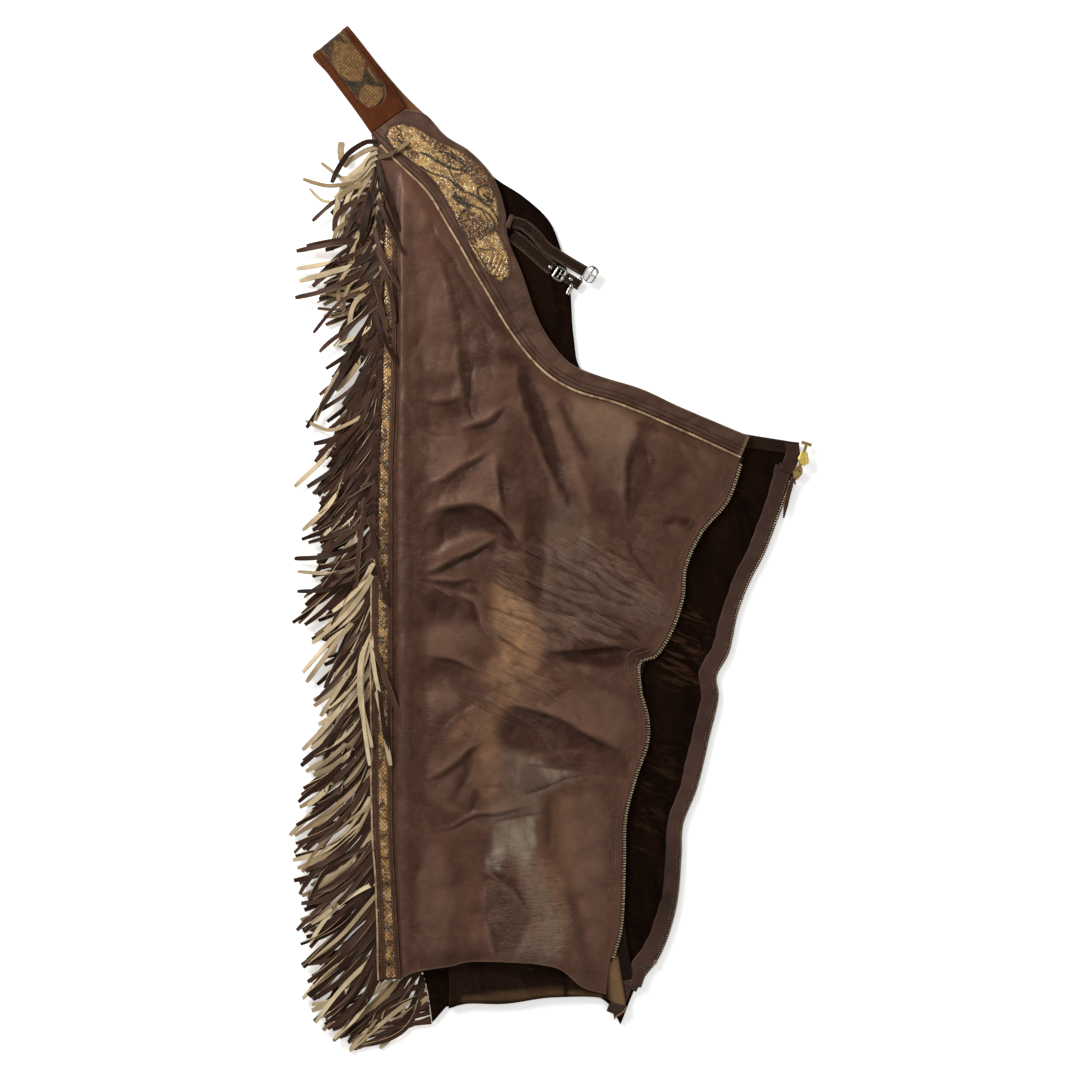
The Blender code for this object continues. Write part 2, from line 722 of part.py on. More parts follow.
def zips(collection, upper_plan, lower_plan):
    """Tapes of the front panels, and the smooth facing inside the lower leg's zip."""
    edge = upper_plan[2:BODY_ROWS + 1, -1]
    add_to(collection, ribbon("upper_front_zip_tape", edge, -UPPER_TAPE_WIDTH,
                              TEETH_REACH, TAPE_HIGH, TAPE), "zip tape")
    edge = lower_plan[2:LOWER_BODY_ROWS + 1, -1]
    add_to(collection, ribbon("lower_front_zip_tape", edge, 1 - LOWER_TAPE_WIDTH,
                              TEETH_REACH, INNER_LOW, TAPE), "zip tape")
    add_to(collection, ribbon("lower_zip_facing", edge, -FACING_WIDTH, -0.5,
                              FACING_LOW, FACING_THICK), "brown leather")
    foot = along(lower_plan[:3, -1], np.array([0.18, 0.6, 0.94]))
    add_to(collection, ribbon("lower_tape_end_patch", foot, -20.0, -3.0,
                              INNER_LOW, FACING_THICK), "brown leather")


def fringe(collection, name, seam, tips, start, bottom, root_top, tip_top):
    """The reach of a fringe, between the seam that it hangs from and its tips."""
    shares = np.linspace(0, 1, 25)
    line = along(rounded_line(landmarks(seam)), np.linspace(start, 0.97, 25))
    root = line - side_of(line) * ROOT_GAP
    tip = along(rounded_line(landmarks(tips)), shares)
    plan = np.stack([tip, root], axis=1)
    top = np.dstack([plan, np.broadcast_to([tip_top, root_top], plan.shape[:2])])
    under = np.dstack([plan, np.full(plan.shape[:2], bottom)])
    add_to(collection, closed_mesh(name, top, under), "fringe leather")


def belt_rings():
    """Centre line stations of the belt's two edges, and the way its outside faces at each."""
    high = FRONT_HIGH + BELT_THICK / 2 - GAP
    low = TRIM_LOW + BELT_THICK / 2
    upper = [(np.array(row, dtype=float).reshape(2, 2), high, 0.0) for row in BELT_UPPER]
    lower = [(np.array(row, dtype=float).reshape(2, 2), low, pi) for row in BELT_LOWER]
    edge_up, edge_down = upper[-1][0], lower[0][0]
    back = edge_up - upper[-2][0]
    back /= np.linalg.norm(back, axis=1)[:, None]
    radius = (high - low) / 2
    bends = []
    for k in range(1, FOLD_STEPS):
        turn = pi * k / FOLD_STEPS
        share = k / FOLD_STEPS
        ends = edge_up + (edge_down - edge_up) * share + back * radius * sin(turn)
        bends.append((ends, low + radius * (1 + cos(turn)), turn))
    stations = upper + bends + lower
    outward = []
    for ends, height, turn in stations:
        level = np.append(back.mean(axis=0) * sin(turn), cos(turn))
        outward.append(level / np.linalg.norm(level))
    edges = np.array([[(*ends[0], height), (*ends[1], height)] for ends, height, _ in stations])
    return edges, np.array(outward)


def back_belt(collection):
    """The belt at the back of the waist, bent round at the centre back, and its snakeskin inlay."""
    edges, outward = belt_rings()
    out = outward[:, None, :]
    add_to(collection, closed_mesh("back_belt", edges + out * BELT_THICK / 2,
                                   edges - out * BELT_THICK / 2), "belt leather")

    middle = edges.mean(axis=1)
    steps = np.linalg.norm(np.diff(middle, axis=0), axis=1)
    reach = np.concatenate([[0.0], np.cumsum(steps)])
    first, last = reach[1] + 3.0, reach[-2] - 3.0
    round_end = INLAY_ROUND * np.array([0.0, 0.12, 0.4, 0.8])
    inner = reach[(reach > first + INLAY_ROUND) & (reach < last - INLAY_ROUND)]
    marks = np.concatenate([first + round_end, inner, last - round_end[::-1]])
    from_end = np.clip(np.minimum(marks - first, last - marks) / INLAY_ROUND, 0.02, 1)
    width = INLAY_SHARE * np.sqrt(1 - (1 - from_end) ** 2)

    def at(values):
        """The values of the belt's stations, read at the marks."""
        return np.stack([np.interp(marks, reach, values[:, k]) for k in range(3)], axis=1)

    left, right, out = at(edges[:, 0]), at(edges[:, 1]), at(outward)
    out /= np.linalg.norm(out, axis=1)[:, None]
    centre, half = (left + right) / 2, (right - left) / 2 * width[:, None]
    sheet = np.stack([centre - half, centre + half], axis=1)
    near = BELT_THICK / 2 + GAP
    add_to(collection, closed_mesh("belt_snakeskin", sheet + out[:, None] * (near + SKIN),
                                   sheet + out[:, None] * near), "snakeskin")


def strap(collection, name, table, width, thickness):
    """A stitched strap along its centre line."""
    rows = np.array([row[1:] for row in table], dtype=float)
    line = rounded_line(rows, samples=4)
    across = side_of(line[:, :2], window=6.0)
    plan = np.stack([line[:, :2] - across * width / 2, line[:, :2] + across * width / 2], axis=1)
    heights = np.repeat(line[:, 2:3], 2, axis=1)
    add_to(collection, wall(name, plan, heights, thickness), "band leather")


def block(name, size, centre, turn=0.0):
    """A box of the given sides, turned about Z."""
    bpy.ops.mesh.primitive_cube_add(size=1.0)
    thing = bpy.context.object
    thing.name = thing.data.name = name
    thing.data.transform(Matrix.Diagonal((*(Vector(size) * MM), 1.0)))
    thing.location = Vector(centre) * MM
    thing.rotation_euler.z = turn
    return thing


def rod(name, radius, length, centre, axis="Z", turn=0.0):
    """A cylinder along X or Z, then turned about Z."""
    bpy.ops.mesh.primitive_cylinder_add(vertices=20, radius=radius * MM, depth=length * MM)
    thing = bpy.context.object
    thing.name = thing.data.name = name
    if axis == "X":
        thing.data.transform(Matrix.Rotation(pi / 2, 4, "Y"))
    thing.location = Vector(centre) * MM
    thing.rotation_euler.z = turn
    return thing


def combine(body, other, operation):
    """Joins or cuts two meshes into the first."""
    modifier = body.modifiers.new(operation.lower(), "BOOLEAN")
    modifier.operation = operation
    modifier.solver = "EXACT"
    modifier.object = other
    bpy.context.view_layer.objects.active = body
    bpy.ops.object.modifier_apply(modifier=modifier.name)
    bpy.data.objects.remove(other)
    return body


def buckle_frame(collection, name, wide, long, wire, corner, centre, tilt):
    """A nickel frame, rounded at its corners, with a bar across its middle."""
    u, v = wide / 2 - corner, long / 2 - corner
    path = []
    for k, (su, sv) in enumerate(((1, 1), (-1, 1), (-1, -1), (1, -1))):
        for step in range(5):
            angle = pi / 2 * (k + step / 4)
            path.append((su * u + corner * cos(angle), sv * v + corner * sin(angle), 0.0))
    curve = bpy.data.curves.new(name, "CURVE")
    curve.dimensions = "3D"
    curve.bevel_depth = wire * MM
    curve.bevel_resolution = 1
    spline = curve.splines.new("POLY")
    spline.points.add(len(path) - 1)
    spline.use_cyclic_u = True
    for knot, point in zip(spline.points, path):
        knot.co = (*(Vector(point) * MM), 1.0)
    frame = bpy.data.objects.new(name, curve)
    bpy.context.scene.collection.objects.link(frame)
    bpy.context.view_layer.objects.active = frame
    frame.select_set(True)
    bpy.ops.object.convert(target="MESH")
    frame = bpy.context.object
    bar = rod(name + "_bar", wire * 0.8, long - 2 * wire * 0.4, (0, 0, 0), axis="X")
    bar.data.transform(Matrix.Rotation(pi / 2, 4, "Z"))
    combine(frame, bar, "UNION")
    frame.data.transform(Matrix.Rotation(tilt, 4, "Y"))
    frame.location = Vector(centre) * MM
    frame.rotation_euler.z = STRAPS_TURN
    add_to(collection, frame, "nickel")


def rounded_edges(thing, width):
    """A small round along the sharp edges of a metal piece."""
    bevel = thing.modifiers.new("rounded", "BEVEL")
    bevel.width, bevel.segments = width * MM, 2
    bevel.limit_method = "ANGLE"


def front_straps(collection):
    """The straps that close the front of the waist, with their nickel buckles, tip and rivets."""
    add_to(collection, block("strap_keeper", KEEPER_SIZE, KEEPER_CENTRE), "band leather")
    strap(collection, "long_front_strap", LONG_STRAP, STRAP_WIDTH, STRAP_THICK)
    strap(collection, "short_front_strap", SHORT_STRAP, STRAP_WIDTH + 2, SHORT_STRAP_THICK)
    strap(collection, "strap_end", STRAP_END, STRAP_WIDTH - 1, STRAP_THICK)
    for name, wide, long, wire, corner, x, y, z, tilt in BUCKLES:
        buckle_frame(collection, name, wide, long, wire, corner, (x, y, z), radians(tilt))
    tip = block("strap_tip", TIP_SIZE, TIP_CENTRE, TIP_TURN)
    rounded_edges(tip, 0.8)
    add_to(collection, tip, "nickel")
    for name, x, y, face in RIVETS:
        head = rod(name, RIVET_RADIUS, RIVET_HIGH, (x, y, face + GAP + RIVET_HIGH / 2))
        rounded_edges(head, 0.6)
        add_to(collection, head, "nickel")


def on_slider(u, v, z):
    """A point of the slider's own frame, in the frame of the chaps."""
    x = SLIDER_X + u * cos(SLIDER_TURN) - v * sin(SLIDER_TURN)
    y = SLIDER_Y + u * sin(SLIDER_TURN) + v * cos(SLIDER_TURN)
    return (x, y, z)


def cut_plate(name, outline, underside, thickness):
    """A flat mesh plate with a closed outline, for joining with others."""
    form = bmesh.new()
    corners = [form.verts.new((x * MM, y * MM, underside * MM)) for x, y in outline]
    face = form.faces.new(corners)
    raised = bmesh.ops.extrude_face_region(form, geom=[face])["geom"]
    tops = [item for item in raised if isinstance(item, bmesh.types.BMVert)]
    bmesh.ops.translate(form, verts=tops, vec=(0, 0, thickness * MM))
    bmesh.ops.recalc_face_normals(form, faces=form.faces)
    mesh = bpy.data.meshes.new(name)
    form.to_mesh(mesh)
    form.free()
    thing = bpy.data.objects.new(name, mesh)
    bpy.context.scene.collection.objects.link(thing)
    return thing


def shield(name, wide, long, underside, thickness, foot=0.45):
    """A plate in the slider's own frame, broad at the head and narrow at the foot."""
    half = wide / 2
    outline = ((-half * foot, -long / 2), (half * foot, -long / 2), (half, 0),
               (half * 0.7, long / 2), (-half * 0.7, long / 2), (-half, 0))
    return cut_plate(name, outline, underside, thickness)


def zip_hardware(collection):
    """The brass slider at the head of the lower zip, its pull tab on a hinge, and its thong."""
    slider = shield("zip_slider", SLIDER_WIDE, SLIDER_LONG, SLIDER_TOP, SLIDER_PLATE)
    low = shield("low_plate", SLIDER_WIDE, SLIDER_LONG, 0.0, SLIDER_PLATE)
    height = SLIDER_TOP + SLIDER_PLATE
    neck = block("neck", (6.6, 6.0, height - 0.4), (0.9, 0.6, height / 2))
    combine(slider, low, "UNION")
    combine(slider, neck, "UNION")
    for side in (-1, 1):
        u = side * (POST_APART / 2 + POST_WIDE / 2)
        top = HINGE_Z + PIN_RADIUS + 0.7
        foot = SLIDER_TOP + SLIDER_PLATE / 2
        post = block("post", (POST_WIDE, 3.2, top - foot), (u, HINGE_V, (top + foot) / 2))
        combine(slider, post, "UNION")
    pin = rod("pin", PIN_RADIUS, POST_APART + POST_WIDE, (0, HINGE_V, HINGE_Z), axis="X")
    combine(slider, pin, "UNION")
    slider.location = Vector((SLIDER_X, SLIDER_Y, 0)) * MM
    slider.rotation_euler.z = SLIDER_TURN
    add_to(collection, slider, "brass")

    half_gap = POST_APART / 2 - GAP
    eye = rod("pull_tab", EYE_RADIUS, 2 * half_gap, (0, 0, 0), axis="X")
    face = TAB_SIDE + tuple((-u, v) for u, v in reversed(TAB_SIDE))
    combine(eye, cut_plate("leaf", face, -TAB_THICK / 2, TAB_THICK), "UNION")
    bore = rod("bore", EYE_BORE, 3 * POST_APART, (0, 0, 0), axis="X")
    combine(eye, bore, "DIFFERENCE")
    eye.location = Vector(on_slider(0, HINGE_V, HINGE_Z)) * MM
    eye.rotation_euler = (TAB_SLOPE, 0, SLIDER_TURN)
    add_to(collection, eye, "brass")

    line = rounded_line([on_slider(*row[1:]) for row in THONG], samples=4)
    across = side_of(line[:, :2], window=6.0)
    half = np.interp(shares_of(line), *THONG_HALF_WIDTHS)[:, None]
    plan = np.stack([line[:, :2] - across * half, line[:, :2] + across * half], axis=1)
    add_to(collection, wall("slider_thong", plan, np.repeat(line[:, 2:3], 2, axis=1), THONG_THICK),
           "brown leather")


def build():
    """Builds the chaps into their own collection."""
    for thing in list(bpy.data.objects):
        bpy.data.objects.remove(thing, do_unlink=True)
    chaps = bpy.data.collections.new("leather_chaps")
    bpy.context.scene.collection.children.link(chaps)
    upper_plan = upper_leg_front(chaps)
    back_panels(chaps)
    lower_plan = lower_leg_front(chaps)
    zips(chaps, upper_plan, lower_plan)
    fringe(chaps, "upper_fringe", UPPER_SEAM, UPPER_FRINGE_TIPS, 0.0,
           INNER_LOW, TRIM_HIGH - 2.0, BACK_HIGH + 1.2)
    fringe(chaps, "lower_fringe", LOWER_SEAM, LOWER_FRINGE_TIPS, 0.06,
           SKIN_LOW, FRONT_LOW + LEATHER, FRONT_LOW + LEATHER)
    back_belt(chaps)
    front_straps(chaps)
    zip_hardware(chaps)


build()
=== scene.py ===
from math import cos, pi, radians, sin

import bpy
import numpy as np
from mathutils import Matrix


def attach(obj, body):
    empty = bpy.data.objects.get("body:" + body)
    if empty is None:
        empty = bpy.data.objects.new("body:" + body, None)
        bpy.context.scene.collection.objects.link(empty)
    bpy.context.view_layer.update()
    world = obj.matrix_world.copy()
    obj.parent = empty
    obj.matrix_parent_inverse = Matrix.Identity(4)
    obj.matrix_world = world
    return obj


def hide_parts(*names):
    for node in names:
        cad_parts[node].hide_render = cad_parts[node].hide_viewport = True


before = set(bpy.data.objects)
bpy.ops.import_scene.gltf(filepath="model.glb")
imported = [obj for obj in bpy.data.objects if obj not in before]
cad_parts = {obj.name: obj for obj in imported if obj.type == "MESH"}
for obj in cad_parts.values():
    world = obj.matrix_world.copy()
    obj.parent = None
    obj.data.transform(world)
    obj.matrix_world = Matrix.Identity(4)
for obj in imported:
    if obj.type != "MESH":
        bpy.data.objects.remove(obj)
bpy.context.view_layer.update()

# ---------------------------------------------------------------- The table the chaps lie on
# A pale board under a soft studio: one broad lamp over the waist end on the left, a weak
# one across from it, and an even white sky. The camera looks almost straight down.
MM = 0.001
BOARD_HALF, BOARD_LEVEL = 4.0, -0.0004
CAMERA_TIP = radians(4.5)
SKY_STRENGTH = 0.42

board = bpy.data.meshes.new("board")
corners = [(x * BOARD_HALF, y * BOARD_HALF, BOARD_LEVEL) for x, y in ((-1, -1), (1, -1), (1, 1), (-1, 1))]
board.from_pydata(corners, [], [(0, 1, 2, 3)])
floor = bpy.data.objects.new("board", board)
bpy.context.scene.collection.objects.link(floor)

camera = bpy.data.objects.new("camera", bpy.data.cameras.new("camera"))
camera.data.sensor_width = 36.0
camera.data.lens = 46.67
camera.data.clip_end = 20.0
camera.location = (-0.0145, -0.1424, 1.581)
camera.rotation_euler = (CAMERA_TIP, 0, 0)
bpy.context.scene.collection.objects.link(camera)
bpy.context.scene.camera = camera


def lamp(name, place, size, power):
    """A square soft lamp of the given side and power, turned so that it faces the middle of the table."""
    light = bpy.data.lights.new(name, "AREA")
    light.size, light.energy = size, power
    thing = bpy.data.objects.new(name, light)
    turn = np.arctan2(place[0], -place[1])
    tip = np.arctan2(np.hypot(place[0], place[1]), place[2])
    thing.location, thing.rotation_euler = place, (tip, 0, turn)
    bpy.context.scene.collection.objects.link(thing)


lamp("key lamp", (-1.45, 1.3, 1.25), 0.9, 50)
lamp("fill lamp", (1.7, -0.6, 1.6), 1.6, 8)
world = bpy.data.worlds.new("sky")
world.use_nodes = True
world.node_tree.nodes["Background"].inputs["Color"].default_value = (1, 1, 1, 1)
world.node_tree.nodes["Background"].inputs["Strength"].default_value = SKY_STRENGTH
bpy.context.scene.world = world
bpy.context.scene.view_settings.view_transform = "Standard"


def chip(red, green, blue):
    """Linear colour of a colour chip whose red, green and blue run from 0 to 255."""
    c = np.array([red, green, blue]) / 255
    c = np.where(c < 0.04045, c / 12.92, ((c + 0.055) / 1.055) ** 2.4)
    return (*c.tolist(), 1.0)


def shaded(colour, times):
    """A colour made darker or brighter, at most full."""
    return (*(min(1, c * times) for c in colour[:3]), 1)


class Finish:
    """A material in the making. Each step adds shader nodes and gives back the socket of what it made."""

    def __init__(self, name, **constants):
        self.material = bpy.data.materials.new(name)
        self.material.use_nodes = True
        self.tree = self.material.node_tree
        self.shader = self.tree.nodes["Principled BSDF"]
        self.given(**constants)

    def join(self, value, socket):
        """A socket set to a value or joined to another socket."""
        if isinstance(value, bpy.types.NodeSocket):
            self.tree.links.new(value, socket)
        else:
            socket.default_value = value

    def given(self, **values):
        """The material, with these values on the inputs of its shader; a name's spaces are underscores
        here."""
        for key, value in values.items():
            self.join(value, self.shader.inputs[key.replace("_", " ")])
        return self.material

    def node(self, kind, inputs=None, **settings):
        """A node of the kind, with its settings, and its inputs set to values or joined to sockets."""
        made = self.tree.nodes.new("ShaderNode" + kind)
        for key, value in settings.items():
            setattr(made, key, value)
        for key, value in (inputs or {}).items():
            self.join(value, made.inputs[key])
        return made

    def place(self, scale=(1, 1), turn=0.0):
        """Object coordinates seen from axes turned about the upright, then stretched by the scale along
        them."""
        inputs = {"Vector": self.node("TexCoord").outputs["Object"], "Rotation": (0, 0, turn),
                  "Scale": tuple(1 / k for k in (*scale, 1)[:3])}
        return self.node("Mapping", inputs, vector_type="TEXTURE").outputs["Vector"]

    def noise(self, scale, detail=3.0, rough=0.55, vector=None, distortion=0.0):
        """Even noise from 0 to 1; scale is in waves a metre."""
        inputs = {"Vector": vector or self.place(), "Scale": scale, "Detail": detail, "Roughness": rough,
                  "Distortion": distortion}
        return self.node("TexNoise", inputs).outputs["Fac"]

    def ramp(self, value, low, high, at_low=0.0, at_high=1.0):
        """A tone that runs from one at the low value to another at the high one; tones are colours or
        greys."""
        made = self.node("ValToRGB", {"Fac": value})
        for stop, at, tone in zip(made.color_ramp.elements, (low, high), (at_low, at_high)):
            stop.position = at
            stop.color = tone if isinstance(tone, tuple) else (tone, tone, tone, 1)
        return made.outputs["Color"]

    def stretch(self, value, low, high):
        """A value from 0 to 1 carried onto the stretch from low to high."""
        return self.node("MapRange", {"Value": value, 3: low, 4: high}).outputs[0]

    def maths(self, operation, a, b=0.0, clamp=False):
        """One sum of two values or sockets, held between 0 and 1 with the clamp."""
        return self.node("Math", {0: a, 1: b}, operation=operation, use_clamp=clamp).outputs[0]

    def times(self, a, b, clamp=False):
        """The product of two values or sockets."""
        return self.maths("MULTIPLY", a, b, clamp)

    def plus(self, a, b, clamp=False):
        """The sum of two values or sockets."""
        return self.maths("ADD", a, b, clamp)

    def less(self, a, b, clamp=False):
        """The first value or socket less the second."""
        return self.maths("SUBTRACT", a, b, clamp)

    def blend(self, share, a, b, kind="MIX"):
        """Colour a turned into colour b by the share."""
        return self.node("Mix", {0: share, 6: a, 7: b}, data_type="RGBA", blend_type=kind).outputs[2]

    def bump(self, height, depth, before=None):
        """The surface's normal, raised by the height times depth in metres, on top of another bump."""
        inputs = {"Height": height, "Distance": depth, "Strength": 1.0}
        if before is not None:
            inputs["Normal"] = before
        return self.node("Bump", inputs).outputs["Normal"]

    def painted(self, name):
        """A value that the mesh carries at its points or on its faces."""
        return self.node("Attribute", attribute_name=name).outputs["Fac"]


paper = Finish("board paper", Roughness=0.9, Emission_Color=(1, 1, 1, 1), Emission_Strength=0.36)
spots = paper.ramp(paper.noise(2.0), 0.3, 0.7, chip(250, 250, 249), chip(255, 255, 254))
board.materials.append(paper.given(Base_Color=spots))

# ---------------------------------------------------------------- Upper front panel
# The outside leg of the upper half: one hide of brown chap leather, grain side up, cut to the
# landmarks below and creased by years of riding. It is sewn to the strip, the yoke and the zip.
# Landmarks of the cut: plan points in mm in the frame; seams and zip edges run up from the ankle
UPPER_SEAM = (
    (-190, -504), (-193.5, -418), (-199, -329), (-201.5, -197), (-202.5, -41), (-202.5, 39), (-200, 141),
    (-200, 380), (-209, 451)
)
UPPER_STRIP_EDGE = (
    (-167, -502), (-173, -416), (-177.5, -341), (-178.5, -197), (-180, 0), (-180.5, 60), (-178, 150),
    (-178, 340), (-178, 418)
)
UPPER_HEM = (
    (-167, -502), (-153, -495), (-111, -488), (-97, -484), (-60, -482), (-14, -485), (8, -491), (34, -512),
    (58, -519)
)
UPPER_ZIP_EDGE = (
    (58, -519), (62, -485), (72, -450), (76, -380), (78, -326), (90, -281), (103, -243), (103, -218),
    (95, -185), (96, -154), (113, -147), (130, -121), (143, -84), (147, -48), (165, -9), (195, 27),
    (213, 76)
)
UPPER_YOKE_LOW = (
    (-178, 418), (-143, 383), (-122, 349), (-83, 281), (-45, 217), (-26, 192), (-3, 169), (27, 152),
    (76, 137), (133, 113), (213, 76)
)
UPPER_FRONT_EDGE = (
    (-169, 480), (-147, 474), (-124, 449), (-95, 430), (-68, 399), (-54, 359), (-51, 329), (-34, 285),
    (-19, 240), (-3, 210), (20, 183), (54, 168), (99, 154), (144, 133), (223, 99)
)
# Heights over the table and thicknesses, in mm
FRONT_HIGH, TAPE_HIGH = 8.3, 7.4
LEATHER, TRIM, TAPE, GAP = 1.3, 1.2, 0.6, 0.3
# How the pixels of the creases and places below lie over the table: the middle of the square, the
# lens in pixels, its height in mm, mm to a pixel at the middle, and the middle's place in the frame
PIXEL_MIDDLE, LENS_PIXELS, LENS_HIGH, PIXEL = 540.0, 1400.0, 1571.0, 1.12
MIDDLE_X, MIDDLE_Y = -14.5, -18.0

